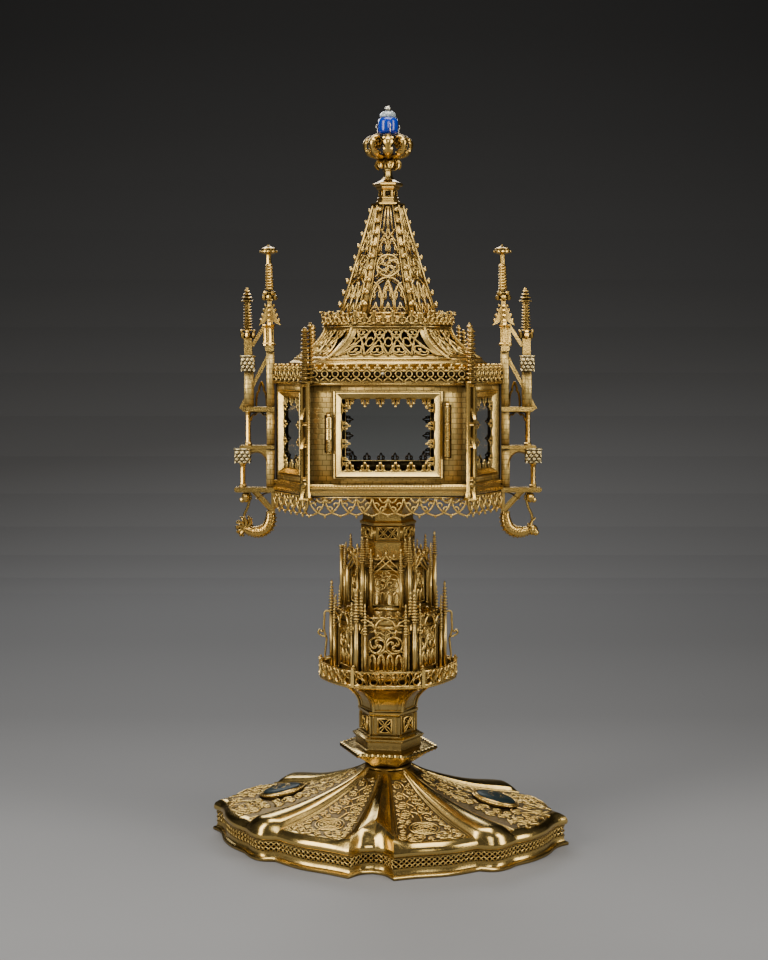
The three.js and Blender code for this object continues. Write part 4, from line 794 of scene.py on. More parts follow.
# %% Grounds of the fields
def field_plate(middle, half_angle, low, high, across=9, along=24):
    """The sunk ground of a field: a thin closed sheet that follows the dome between two directions."""
    turned = np.linspace(-half_angle, half_angle, across)
    out = np.linspace(low, high, along)
    top = dome(middle + turned[:, None], out[None, :], 0.3)
    count = across * along
    start = (np.arange(across - 1)[:, None] * along + np.arange(along - 1)).reshape(-1, 1)
    upper = (start + [along, along + 1, 1, 0]).tolist()
    edge = [i * along for i in range(across)] + [(across - 1) * along + j for j in range(1, along)]
    edge += [i * along + along - 1 for i in range(across - 2, -1, -1)] + list(range(along - 2, 0, -1))
    rim_faces = [[b, b + count, a + count, a] for a, b in zip(edge, edge[1:] + edge[:1])]
    return backed(top.reshape(-1, 3), upper, [0, 0, 0.6], rim_faces)


plates = [field_plate(m, 16.4, 0.08, 0.93) for m in (61, 119, 241, 299)] + [field_plate(m, 24.4, 0.08,
    0.93) for m in (0, 180)]
piece("foot_field_grounds", at(joined(plates), turn(FOOT_TURN)), chased_ground, smooth=60)

# %% Scrolls in the fields
def filigree(middle, half_angle, shares_of_scrolls, medallion=None, extra=()):
    """A running vine: scrolls on both sides of a waving stem, sized to the width of the field."""
    made = []
    stem = []
    for i, share in enumerate(shares_of_scrolls):
        reach = np.hypot(*dome(float(middle), share)[:2])
        width = math.radians(half_angle) * reach * 0.86
        for side in (-1, 1):
            size = width * 0.36
            lean = side if i % 2 else -side
            scroll = laid_scroll(side * width * 0.5, share + 0.012 * lean, size, 90 + 60 * lean, 1.7 * side)
            made.append(dome_bar(scroll, middle, 0.95, 0.9, 0.15, np.linspace(1.15, 0.5, len(scroll))))
            small = laid_scroll(side * width * 0.86, share + 0.035, size * 0.42, 200, -1.3 * side, 12)
            made.append(dome_bar(small, middle, 0.8, 0.8, 0.15))
        stem.append((width * 0.16 * (1 if i % 2 else -1), share))
    wave = smooth_run(stem, 5)
    made.append(dome_bar(wave, middle, 1.0, 1.0, 0.15))
    for k, (across, share, size) in enumerate(extra):
        for side in (-1, 1) if across else (1,):
            scroll = laid_scroll(side * across, share, size, 60 * k, 1.6 * side, 14)
            made += [
                dome_bar(scroll, middle, 1.2, 1.2, 0.2, np.linspace(1.2, 0.6, len(scroll))),
                dome_bar(scroll[:5] + [side * size * 0.7, 0.02], middle, 0.8, 0.9, 0.2),
            ]
    if medallion:
        share, radius = medallion
        for size in (radius, radius * 0.78, radius * 0.5, radius * 0.26):
            flat = circle((0, 0), size, 22)
            made.append(sweep(on_dome(np.column_stack([flat[:, 0], share + flat[:, 1] / FIELD_RUN]), middle,
                0.2), ridge_bar(1.0, 1.1), (0, 0, 1), closed=True))
        for k in range(8):
            a = math.radians(45 * k)
            hub = np.array([[radius * 0.28 * math.cos(a), share + radius * 0.28 * math.sin(a) / FIELD_RUN],
                [radius * 0.76 * math.cos(a + 0.5), share + radius * 0.76 * math.sin(a + 0.5) / FIELD_RUN]])
            made.append(dome_bar(line(hub[0], hub[1], 4), middle, 0.9, 0.9, 0.2))
    return joined(made)


FRONT_EXTRA = ((14.0, 0.6, 2.8), (16.2, 0.68, 3.2), (18.2, 0.76, 3.4), (20.4, 0.84, 3.4), (21.6, 0.91, 3.0),
    (13.4, 0.84, 2.8), (14.6, 0.91, 2.8), (7.0, 0.88, 3.2), (0, 0.91, 2.6), (8.4, 0.6, 2.4))
SIDE_EXTRA = ((19.0, 0.47, 3.6), (21.0, 0.56, 3.8), (27.5, 0.56, 3.4), (22.0, 0.65, 3.8), (30.0, 0.65, 3.8),
    (14.0, 0.76, 4.4), (24.0, 0.74, 4.0), (33.0, 0.74, 4.0), (0, 0.77, 4.2), (20.0, 0.84, 4.2), (30.0, 0.83,
    4.2), (38.0, 0.83, 3.8), (7.0, 0.88, 3.8), (16.0, 0.47, 2.4), (36.0, 0.9, 3.6), (26.0, 0.9, 3.4))
front_fields = [filigree(m, 18, (0.1, 0.16, 0.22, 0.28, 0.34, 0.4, 0.46, 0.53, 0.87), (0.73, 11.5),
    FRONT_EXTRA) for m in (61, 119, 241, 299)]
side_fields = [filigree(m, 25, (0.1, 0.16, 0.22, 0.28, 0.34, 0.4, 0.86, 0.92), None,
    SIDE_EXTRA) for m in (0, 180)]
piece("foot_filigree", at(joined(front_fields + side_fields), turn(FOOT_TURN)), bright_gilt)

# %% [markdown]
# The plaques are low domes of dark enamel. A thin gilt scroll of no particular pattern lies in the glaze,
# and a twisted wire and a plain collar hold each plaque.

# %% Enamel plaques and their settings
PLAQUE_REACH, PLAQUE_TILT = 88.0, 13.0
PLAQUE_LENGTH, PLAQUE_WIDTH = 32.0, 23.0


def plaque_place(side):
    """The place of a plaque: the middle of its solid, tipped as the dome is there."""
    lean = math.radians(PLAQUE_TILT)
    tipped = matrix((PLAQUE_REACH, 0, 0), (math.cos(lean), 0, -math.sin(lean)), (0, 1, 0), (math.sin(lean),
        0, math.cos(lean)))
    low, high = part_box("enamel_plaque_right" if side > 0 else "enamel_plaque_left")
    middle = (np.array(low) + np.array(high)) / 2 / MM
    placed = turn(FOOT_TURN) @ turn(0 if side > 0 else 180) @ tipped
    placed[:3, 3] = middle
    return placed


def oval_ring(length, width, z, count=36):
    """An oval at one height."""
    return level(regular(count, 0.5) * [length, width], z)


levels = [(1.0, -0.8), (1.0, 0.5), (0.94, 1.1), (0.8, 1.7), (0.6, 2.1), (0.35, 2.4), (0.12, 2.5)]
plaque = skin([oval_ring(PLAQUE_LENGTH * s, PLAQUE_WIDTH * s, z) for s, z in levels])
collar_rings = [(4.0, -3.0), (4.0, -1.3), (2.8, 0.1), (1.4, 0.6), (0.4, 0.2), (0.4, -3.0)]
setting = skin([oval_ring(PLAQUE_LENGTH + w, PLAQUE_WIDTH + w, z) for w, z in collar_rings], closed=True)
twist = rope(oval_ring(PLAQUE_LENGTH + 5.8, PLAQUE_WIDTH + 5.8, -1.0, 48), 0.85, 2.6)
scroll_parts = []
for side in (-1, 1):
    for k, (cx, cy, size, start) in enumerate(((7.2, 0, 4.2, 90), (3.2, 5.4, 2.2, 0), (3.2, -5.4, 2.2, 180),
        (11.5, 3.4, 1.7, 60), (11.5, -3.4, 1.7, 300))):
        flat = spiral((side * cx, cy), size, start, 1.5 * side, 20)
        height = 2.5 - 2.2 * ((flat[:, 0] / 16) ** 2 + (flat[:, 1] / 11.5) ** 2)
        scroll_parts.append(sweep(np.column_stack([flat, height]), ridge_bar(0.4, 0.3)))
enamel, shader = plain("dark_enamel", (0.012, 0.02, 0.024, 1), 0.4)
shader.inputs["Specular IOR Level"].default_value = 0.12
shader.inputs["Coat Weight"].default_value = 0.06
shader.inputs["Coat Roughness"].default_value = 0.2
tree = enamel.node_tree
clouds = noise(tree, node(tree, "ShaderNodeTexCoord").outputs["Object"], 240, 4)
tint = mix_colour(tree, math_node(tree, "MULTIPLY", clouds, 1.4, clamp=True), (0.003, 0.006, 0.009, 1),
    (0.014, 0.024, 0.022, 1))
tree.links.new(tint, shader.inputs["Base Color"])
for side, word in ((1, "right"), (-1, "left")):
    place = plaque_place(side)
    piece("enamel_" + word, at(plaque, place), enamel, ("enamel_plaque_" + word,), smooth=60)
    piece("enamel_scroll_" + word, at(joined(scroll_parts), place), gilt)
    piece("plaque_setting_" + word, at(joined([setting, twist]), place), gilt, smooth=50)


# %% [markdown]
# ## The lower stem
#
# The stem is six-sided. Each moulding is a ring of radius and height, a rope runs round its widest edge, and
# pierced squares with four-lobed openings are set into the box, over a near-black plate of painted shade.

# %% Stem, collar and bowl
STEM_TURN, KNOP_TURN = -7.5, -3.0
BOWL_BOTTOM, BOWL_TOP = 108.4, 132.0
collar = lathe([(17.6, 59.2), (18.9, 59.9), (19.3, 60.6), (18.9, 61.3), (17.4, 62.0)], 40)
piece("stem_collar_ring", collar, smooth_gilt, ("stem_collar",), smooth=40)

lower_profile = [
    (18.3, 62.2), (19.7, 63.0), (22.5, 64.6), (27.5, 67.8), (33.0, 71.2), (36.4, 73.0), (36.8, 74.3), (38.0,
        74.8),
    (38.2, 76.7), (36.6, 77.3), (28.4, 77.6), (27.4, 78.2), (27.0, 79.2), (27.0, 84.0), (27.6, 84.5), (28.2,
        85.4),
    (29.5, 86.0), (29.6, 87.0), (27.8, 87.5), (26.0, 88.0), (25.6, 88.9), (24.0, 89.3), (23.0, 90.0), (23.0,
        104.2),
    (23.8, 104.8), (24.4, 105.6), (24.8, 106.6), (25.0, 107.6), (24.6, 108.1),
]
stem_parts = [lathe(lower_profile)]
BOX_RADIUS = 23.2
stem_parts += [
    rope(level(regular(6, 39.0), 75.8), 1.75, 4.6),
    rope(level(regular(6, 28.2), 85.1), 0.55, 1.8),
]
for k in range(6):
    x, y = regular(6, BOX_RADIUS)[k]
    stem_parts.append(sweep([(x, y, 90.2), (x, y, 104.2)], round_bar(0.9), (0, 1, 0)))
piece("stem_mouldings", at(joined(stem_parts), turn(STEM_TURN)), smooth_gilt, ("lower_stem",), smooth=28)

# %% Pierced panels of the stem box
def quatrefoil_panel(half, rise, depth=1.2, width=1.2):
    """A square or oblong frame with crossing arcs that leave four-lobed openings."""
    border = np.array([[-half, 0], [half, 0], [half, rise], [-half, rise]])
    middle = rise / 2
    lobe = min(half, middle) * 0.46
    drawn = [bars([border], width * 1.3, depth, closed=True)]
    cells = (-0.5, 0.5) if half > middle * 1.3 else (0.0,)
    for cell in cells:
        reach = half * (0.5 if len(cells) == 2 else 1.0)
        hub = np.array([cell * half, middle])
        for sx, sy in ((1, 1), (-1, 1), (-1, -1), (1, -1)):
            corner = hub + [sx * reach, sy * middle]
            for ax, ay, bx, by in ((0.2, 0.75, 0.3, 0.1), (0.75, 0.2, 0.1, 0.3)):
                leaving = corner + [-sx * reach * ax, -sy * middle * ay]
                arriving = hub + [sx * reach * bx, sy * middle * by]
                drawn.append(bars([bend(corner, leaving, arriving, hub, 6)], width * 0.75, depth * 0.9))
        drawn.append(hoop(hub, lobe * 0.42, 8, width * 0.6, depth))
    return joined(drawn)


panel = at(quatrefoil_panel(5.6, 11.2), move(0, 3.6, 0.15))
frame_lines = frame_bars(-9.2, 1.4, 9.2, 17.0, 0.9, 0.7)
# A near-black plate of painted shade behind each pierced panel.
hollow = at(plate(-5.6, 0, 5.6, 11.2, 0.02, 0.12), move(0, 3.6, 0))
spots = [turn(STEM_TURN) @ m for m in hex_spots(23.0, 87.9)]
piece("stem_panels", copies(joined([panel, frame_lines]), spots), gilt)
piece("stem_panel_hollows", copies(hollow, spots), shade_black)

# %% Bowl
bowl_share = np.linspace(0, 1, 14)
bowl_radius = 23.2 + 24.8 * bowl_share ** 2.4
bowl_z = BOWL_BOTTOM + (BOWL_TOP - BOWL_BOTTOM) * bowl_share
bowl_parts = [lathe(list(zip(bowl_radius, bowl_z)))]
for k in range(6):
    a = math.radians(60 * k)
    path = np.column_stack([bowl_radius * math.cos(a), bowl_radius * math.sin(a), bowl_z])
    bowl_parts.append(sweep(path, round_bar(1.1), (0, 0, 1)))
    for share in (0.2, 0.8):
        corner_a, corner_b = math.radians(60 * k), math.radians(60 * (k + 1))
        x = bowl_radius * (math.cos(corner_a) * (1 - share) + math.cos(corner_b) * share)
        y = bowl_radius * (math.sin(corner_a) * (1 - share) + math.sin(corner_b) * share)
        bowl_parts.append(sweep(np.column_stack([x, y, bowl_z])[1:-1], round_bar(0.55, 4), (0, 0, 1)))
bowl_parts.append(lathe([(23.0, 108.3), (24.2, 108.6), (24.2, 109.4), (23.4, 109.9)]))
piece("knop_bowl_flare", joined(bowl_parts), smooth_gilt, ("knop_bowl",), smooth=30)

# %% [markdown]
# ## Pinnacles
#
# A late Gothic pinnacle is a square shaft, a small hood and a spirelet whose crockets read as stacked discs.
# One lathe profile gives the whole spirelet, so the many pinnacles of the tower stay light.

# %% Pinnacle
def pinnacle(height, width, rings=5, shaft=0.34, finial=True, sides=8):
    """A pinnacle from its foot at zero: shaft, hood, ringed spirelet and top knob."""
    half_width = width / 2
    neck = height * shaft
    made = [box((-half_width, -half_width, 0), (half_width, half_width, neck))]
    made.append(lathe([(half_width * 1.2, neck - 0.3), (half_width * 1.75, neck), (half_width * 1.75,
        neck + width * 0.14), (half_width * 0.9, neck + width * 0.5)], 4, 45))
    profile = [(half_width * 0.85, neck + width * 0.3)]
    rise = (height - neck) * (0.78 if finial else 0.5)
    for i in range(rings):
        share = i / rings
        z = neck + width * 0.4 + rise * share
        gap_z = rise / rings
        core, disc = half_width * (0.9 - 0.5 * share), half_width * (1.95 - 1.0 * share)
        profile += [(core, z), (disc, z + gap_z * 0.3), (disc * 0.94, z + gap_z * 0.5), (core * 0.92,
            z + gap_z * 0.78)]
    top = profile[-1][1]
    if finial:
        profile += [(half_width * 0.3, top + 0.3), (half_width * 0.62, top + (height - top) * 0.35),
                    (half_width * 0.62, top + (height - top) * 0.6), (half_width * 0.16, height)]
    made.append(lathe(profile, sides, 22.5))
    return joined(made)


# %% [markdown]
# ## The knop
#
# The knop is a small building. Six rounded balconies stand on the bowl, and two storeys of tracery rise
# inside them. One face of each storey is drawn flat, then set round the six sides.

# %% Floor and balconies
FLOOR_RADIUS, BULGE, BALCONY_DEPTH = 56.0, 5.0, 0.88
balcony = []
for k in range(6):
    a, b = (FLOOR_RADIUS * np.array([math.cos(math.radians(60 * (k + d))),
        math.sin(math.radians(60 * (k + d)))]) for d in (0, 1))
    out = (a + b) / np.linalg.norm(a + b)
    share = np.linspace(0, 1, 13)[:-1]
    bulge_out = BULGE * np.sqrt(np.clip(np.sin(np.pi * share), 0, 1))
    balcony.append(a + (b - a) * share[:, None] + out * bulge_out[:, None])
balcony = np.vstack(balcony)


def balcony_ring(inset, z):
    """The outline of the balconies, moved inward, at one height."""
    length = np.hypot(balcony[:, 0], balcony[:, 1])[:, None]
    return level(balcony * (1 - inset / length), z)


floor_rings = [(9.5, 131.9), (4.2, 132.3), (0.6, 132.6), (0, 133.2), (0, 134.0), (0.8, 134.6), (4, 134.8)]
floor_plate = skin([balcony_ring(i, z) for i, z in floor_rings])
top_rail = skin([balcony_ring(i, z) for i, z in ((0.2, 145.2), (0.0, 145.8), (0.2, 146.6), (1.3, 146.6),
    (1.5, 145.8), (1.3, 145.2))], closed=True)
foot_rail = skin([balcony_ring(i, z) for i, z in ((0.2, 134.5), (0.0, 135.0), (0.3, 135.7), (1.4, 135.7),
    (1.4, 134.5))], closed=True)
bow_length = length_of(balcony) / 6
bay = bow_length / 5
bay_bars = []
for curve in (circle((0, 3.4), 3.0, 12), circle((0, 8.4), 1.5, 8)):
    bay_bars.append(bars([curve], 1.15, 1.7, closed=True))
bay_bars.append(bars(mirrored([bend((-bay / 2, 0), (-bay / 2, 4), (-1.4, 6), (0, 10.6), 8),
    line((bay / 2, 0), (bay / 2, 10.6)), bend((-bay / 2, 10.6), (-bay * 0.2, 9.4), (-bay * 0.3, 5),
    (0, 5.6), 6)]), 1.0, 1.5))
bay_shape = joined(bay_bars)
parapet = wrap(copies(bay_shape, [move((i + 0.5) * bay, 135.2, -1.0) for i in range(30)]), balcony)
knobs = []
for k in range(6):
    a = math.radians(60 * k)
    x, y = (FLOOR_RADIUS - 0.8) * math.cos(a), (FLOOR_RADIUS - 0.8) * math.sin(a)
    knobs += [
        at(box((-1.5, -1.5, 134.0), (1.5, 1.5, 147.6)), move(x, y, 0), turn(60 * k)),
        at(lathe([(1.2, 147.4), (2.2, 148.0), (2.0, 148.8), (0.9, 149.4), (1.2, 150.2), (0.4, 151.0)], 8),
            move(x, y, 0)),
    ]
balconies = at(joined([floor_plate, top_rail, foot_rail, parapet] + knobs), stretch(1, BALCONY_DEPTH, 1))
piece("knop_balconies", balconies, bright_gilt, ("knop_floor",), smooth=30)

# %% One face of the lower storey
STOREY_BOTTOM = 135.1
LOWER_RADIUS, LOWER_POST = 42.0, 46.4
face_half = LOWER_RADIUS / 2
window_half = 14.4
sill, head = 10.0, 44.0

# %% Figures of the tracery
def wheel(centre, radius, width=1.1, depth=1.2, lobes=3, hand=1):
    """A wheel of tracery whose curved blades turn about the middle, each with a small cusp."""
    drawn = [hoop(centre, radius, 20, width, depth)]
    for k in range(lobes):
        blade = turn(360 / lobes * k + 25)[:2, :2]
        swirl = bend((radius, 0), (radius * 0.55, radius * 0.8), (-radius * 0.15, radius * 0.75), (0, 0), 10)
        eye = spiral((radius * 0.3, radius * 0.34), radius * 0.3, 20, 0.7, 8, 0.3)
        for curve, size in ((swirl, 1.0), (eye, 0.75)):
            drawn.append(bars([(curve * [hand, 1]) @ blade.T + centre], width * size, depth))
    return joined(drawn)


def lancet(centre, half_width, bottom, spring, top, width=1.0, depth=1.2, cusps=True):
    """A pointed light: two jambs, two arcs, and cusps inside the head."""
    left = np.vstack([[(centre - half_width, bottom)], bend((centre - half_width, spring),
        (centre - half_width, spring + (top - spring) * 0.6), (centre - half_width * 0.35,
        top - (top - spring) * 0.12), (centre, top), 7)])
    right = left * [-1, 1] + [2 * centre, 0]
    drawn = [bars([left, right], width, depth)]
    if cusps:
        cusp_y = spring + (top - spring) * 0.25
        for side in (-1, 1):
            edge = centre + side * half_width
            drawn.append(bars([bend((edge, cusp_y - 1.2 * half_width), (edge - side * half_width * 0.7,
                cusp_y), (edge - side * half_width * 0.6, cusp_y), (edge - side * half_width * 0.35,
                cusp_y + half_width * 0.8), 5)], width * 0.7, depth * 0.7))
    return joined(drawn)


def rope_column(x, bottom, top, radius, out):
    """A twisted column with a base and a capital, standing in front of the face."""
    path = np.array([(x, z, out) for z in np.linspace(bottom, top, 3)])
    shaft = rope(path, radius, radius * 4.2, closed=False, normal=(1, 0, 0))
    upright = matrix((x, 0, out), (1, 0, 0), (0, 0, -1), (0, 1, 0))
    ends = [(bottom - 0.6, bottom + 1.2), (top - 1.0, top + 0.8)]
    rings = [at(lathe([(radius * 1.2, a), (radius * 1.7, a + 0.5), (radius * 1.7, b - 0.5), (radius * 1.2,
        b)], 8), upright) for a, b in ends]
    return joined([shaft] + rings)


# %% The lower face put together
light_half = window_half / 4
lower_face = [frame_bars(-window_half, sill, window_half, head, 1.6, 1.8)]
for i in range(4):
    lower_face.append(lancet((i - 1.5) * 2 * light_half, light_half * 0.66, sill, sill + 6.6, sill + 13.0,
        2.1, 1.6))
lower_face += [
    bars(mirrored([bend((0.4, sill + 8), (2, sill + 15), (7, sill + 17), (light_half * 2, sill + 12.2),
        7)]), 0.9, 1.3),
    wheel((-window_half / 2 + 0.2, sill + 20.6), 6.6, 1.8, 1.6, 3),
    wheel((window_half / 2 - 0.2, sill + 20.6), 6.6, 1.8, 1.6, 3, hand=-1),
    bars(mirrored([bend((0, head), (-4, head - 2), (-7, head - 5), (-7.2, sill + 27), 6),
        bend((0, sill + 27.5), (-3, sill + 31), (-8, sill + 33), (-window_half, sill + 30), 7),
        line((0, head), (0, sill + 14))]), 1.5, 1.3),
    wheel((0, sill + 29), 3.0, 0.8, 1.2),
]
arch = bend((-face_half + 2.2, 40.5), (-face_half + 2.5, 46.5), (-11, 50.5), (-8.2, 44.2), 9)
branches = mirrored([arch, bend((-8.2, 43.6), (-7.4, 50.5), (-3.2, 52.8), (4.5, 53.4), 10),
    bend((-face_half + 1, 51), (-14, 51.5), (-11, 50), (-8.4, 45), 8), bend((-8.2, 44.2), (-9.4, 41),
    (-7.6, 40.2), (-6.4, 41.6), 5)])
lower_face.append(at(bars(branches, 1.5, 1.5), move(0, 0, 3.6)))
gallery_rail = [line((-face_half, 52.6), (face_half, 52.6)), line((-face_half, 49.4), (-9.5, 49.4)),
    line((9.5, 49.4), (face_half, 49.4))]
lower_face.append(at(bars(gallery_rail, 1.4, 1.6), move(0, 0, 1.2)))
for x in np.linspace(-face_half + 2.2, face_half - 2.2, 9):
    lower_face += [
        at(hoop((x, 51.0), 1.0, 6, 0.6, 1.0), move(0, 0, 1.4)),
        ball(0.85, (x, 54.3, 2.0), 6, 4, 1.4),
    ]
for x in (-18.4, 18.4):
    lower_face.append(rope_column(x, 6.5, 41.0, 1.35, 2.6))
for x in (-15.9, 15.9):
    lower_face += [
        rope_column(x, 6.5, 44.0, 0.8, 1.4),
        plate(x - 1.3, 6.2, x + 1.3, 47.0, 0.0, 0.9),
    ]
lower_face += [
    plate(-window_half, head - 1.0, window_half, head + 1.6, 0.0, 1.3),
    bars(mirrored([bend((-window_half, sill + 30), (-11, sill + 34), (-8.5, sill + 32), (-7.2, sill + 27),
        6), line((-window_half, sill + 14), (-window_half + 3.2, sill + 17)), bend((-7.2, sill + 14),
        (-5.2, sill + 13), (-1.6, sill + 13.4), (0, sill + 16.4), 5)]), 1.3, 1.3),
    plate(-face_half, 3.2, face_half, 5.8, 0.0, 2.4),
]
lower_face = joined(lower_face)
lower_spots = hex_spots(LOWER_RADIUS - 0.6, STOREY_BOTTOM)
print("lower face:", 2 * len(lower_face[1]) + len(lower_face[2]), "triangles")

# %% Walls behind the tracery
def pierced_wall(radius, inner, bottom, top, half_open, low_open, high_open):
    """A hexagonal tube with one oblong opening in each side, built as four plates a side."""
    plates = walls_round(radius / 2, half_open, low_open, high_open, top - bottom, inner - radius, 0)
    return joined([at(shape, place) for place in hex_spots(radius, bottom) for shape in plates])


def knop_pinnacles(post_radius, base, top, tall, width, inner_radius, lost_corner=None):
    """At each corner a tall pinnacle, one close behind it, a smaller one on each side, and a thin wall."""
    made = []
    full = top - base + tall
    for k in range(6):
        lost = k == lost_corner
        height = full * (0.84 if lost else 1)
        corner = [at(pinnacle(height, width, 1 if lost else 9, 0.9 if lost else (top - base) / full,
            finial=not lost), move(post_radius, 0, base))]
        corner.append(at(pinnacle(full * 0.96, width * 0.92, 8, (top - base) / full), move(inner_radius, 0,
            base)))
        for side in (-1, 1):
            small = pinnacle(full * 0.84, width * 0.64, 9, (top - base) / full * 0.92)
            corner.append(at(small, move(post_radius - 3.0, side * 6.4, base)))
        fin = slab([[inner_radius - 8, 0], [post_radius, 0], [post_radius, (top - base) * 0.8],
            [inner_radius - 8, (top - base) * 0.96]], -0.6, 0.6)
        corner.append(at(fin, matrix((0, 0, base), (1, 0, 0), (0, 0, 1), (0, -1, 0))))
        made.append(at(joined(corner), turn(60 * k)))
    return joined(made)


# %% Side brackets and the lower storey
hook_path = smooth_run([(46.6, 148.4), (51.5, 148.6), (51.0, 158), (50.6, 165.0), (54.0, 166.4),
    (57.0, 168.6), (56.4, 171.2), (54.4, 170.2)], 5)
hook_upper = smooth_run([(50.8, 165.2), (52.6, 172), (52.3, 180), (51.6, 186.4), (47.0, 186.6)], 5)
hook = []
for path in (hook_path, hook_upper):
    hook.append(sweep(side_path(path), round_bar(0.85), (0, 1, 0)))
hook.append(ball(1.3, (54.4, 0, 170.2), 6, 4))
hooks = joined(hook)
hooks = joined([hooks, at(hooks, turn(180))])
lower_walls = pierced_wall(LOWER_RADIUS - 0.6, LOWER_RADIUS - 2.6, STOREY_BOTTOM, STOREY_BOTTOM + 53,
    window_half, sill, head)
piece("knop_lower_tracery", copies(lower_face, [turn(KNOP_TURN) @ m for m in lower_spots]), bright_gilt,
    ("knop_lower_storey",))
piece("knop_lower_walls", at(lower_walls, turn(KNOP_TURN)), bright_gilt)
lower_top = knop_pinnacles(LOWER_POST, STOREY_BOTTOM, STOREY_BOTTOM + 50, 27, 3.3, 39.4)
piece("knop_lower_pinnacles", joined([at(lower_top, turn(KNOP_TURN)), hooks]), dark_gilt)

# %% Upper storey
UPPER_BOTTOM = 191.4
UPPER_RADIUS, UPPER_POST = 32.0, 38.0
upper_half = UPPER_RADIUS / 2
light = 10.6
upper_face = [frame_bars(-light, 5, light, 33, 1.4, 1.6)]
for i in range(4):
    upper_face.append(lancet((i - 1.5) * light / 2, light * 0.18, 5, 11.5, 15.5, 1.3, 1.2, cusps=False))
upper_face += [
    wheel((-4.9, 21.6), 4.6, 1.2, 1.3),
    wheel((4.9, 21.6), 4.6, 1.2, 1.3, hand=-1),
    wheel((0, 28.6), 3.6, 1.1, 1.3),
    bars(mirrored([bend((-light, 26), (-8, 31), (-4, 31), (0, 24.5), 8)]), 0.9, 1.2),
]
ogees = mirrored([bend((-light - 1, 30), (-10, 37.5), (-4, 38), (0, 45.5), 10), bend((-upper_half, 36),
    (-12, 36), (-8, 42), (-upper_half + 2, 45), 8), bend((-light - 1, 30), (-6, 33.5), (-2, 36),
    (5.4, 43.5), 9), bend((-upper_half + 1, 44), (-11, 43.5), (-7, 40), (-2.6, 44.5), 7)])
upper_face.append(at(bars(ogees, 1.2, 1.5), move(0, 0, 2.6)))
for x, y in ((0, 46.6), (-6.4, 44.6), (6.4, 44.6), (-12.6, 45.6), (12.6, 45.6)):
    upper_face.append(at(lathe([(0.4, -1.2), (1.5, -0.2), (0.7, 0.4), (1.2, 1.0), (0.3, 2.0)], 6),
        move(x, y, 3.2), FACING))
for x in (-13.2, 13.2):
    upper_face.append(rope_column(x, 3.5, 33.5, 0.95, 2.0))
upper_face += [
    plate(-upper_half, 0.5, upper_half, 3.0, 0.0, 2.2),
    at(bars([line((-upper_half, 36.4), (upper_half, 36.4))], 1.2, 1.6), move(0, 0, 1.0)),
]
upper_face = joined(upper_face)
upper_spots = hex_spots(UPPER_RADIUS - 0.6, UPPER_BOTTOM)
upper_walls = pierced_wall(UPPER_RADIUS - 0.6, UPPER_RADIUS - 2.4, UPPER_BOTTOM, UPPER_BOTTOM + 38, light,
    5, 33)
piece("knop_upper_tracery", copies(upper_face, [turn(KNOP_TURN) @ m for m in upper_spots]), bright_gilt,
    ("knop_upper_storey",))
piece("knop_upper_walls", at(upper_walls, turn(KNOP_TURN)), bright_gilt)
piece("knop_upper_pinnacles", at(knop_pinnacles(UPPER_POST, UPPER_BOTTOM, UPPER_BOTTOM + 40, 21.5, 3.0,
    30.6, 3), turn(KNOP_TURN)), dark_gilt)


# %% [markdown]
# ## The upper stem
#
# Above the knop the stem shows a plain band, a band of pierced panels, a cornice and a funnel that spreads to
# carry the tower.

# %% Upper stem
core = lathe([(17.0, 135.2), (17.0, 232.0)])
piece("knop_inner_column", core, dark_gilt)
upper_profile = [
    (14.5, 229.4), (20.3, 231), (20.3, 245.2), (21.9, 245.8), (22.2, 246.6), (21.2, 247.2), (21.2, 258.2),
    (22.4, 258.8), (23.0, 259.6), (23.2, 261.2), (21.4, 262.0), (20.7, 263.0), (20.7, 268.0), (24.0,
        273.0), (30.0, 278.5),
    (38.6, 283.6), (39.8, 284.4), (39.8, 285.8),
]
piece("upper_stem_body", lathe(upper_profile), gilt, ("upper_stem",), smooth=25)
upper_panel = joined([at(quatrefoil_panel(7.6, 9.0), move(0, 1.4, 0.1)),
    bars([line((-10.2, 0.4), (-10.2, 11)), line((10.2, 0.4), (10.2, 11))], 1.2, 1.2)])
# A near-black plate of painted shade behind each panel of the band.
upper_hollow = plate(-7.6, 1.4, 7.6, 10.4, 0.02, 0.1)
band_spots = hex_spots(21.2, 247.1)
piece("upper_stem_panels", copies(upper_panel, band_spots), gilt)
piece("upper_stem_hollows", copies(upper_hollow, band_spots), shade_black)

# %% [markdown]
# ## The tower
#
# The six-sided tower has one window in each side. Its plain walls are engraved as brickwork, so every wall
# carries its own coordinates in millimetres and a brick pattern turns them into fine grooves. A near-black
# lining of painted shade lies against the inner side of the walls.

# %% Brick walls
WALL_BOTTOM, WALL_TOP = 295.8, 375.4
WINDOW_LOW, WINDOW_HIGH = 4.0, 73.6
FRONT_HALF, SIDE_HALF = 43.0, 21.5
FRAME_LAP, FLOWER_LAP = 6.4, 6.9
HINGE_X, HINGE_Y, BARREL_RADIUS = 46.2, -56.6, 2.3


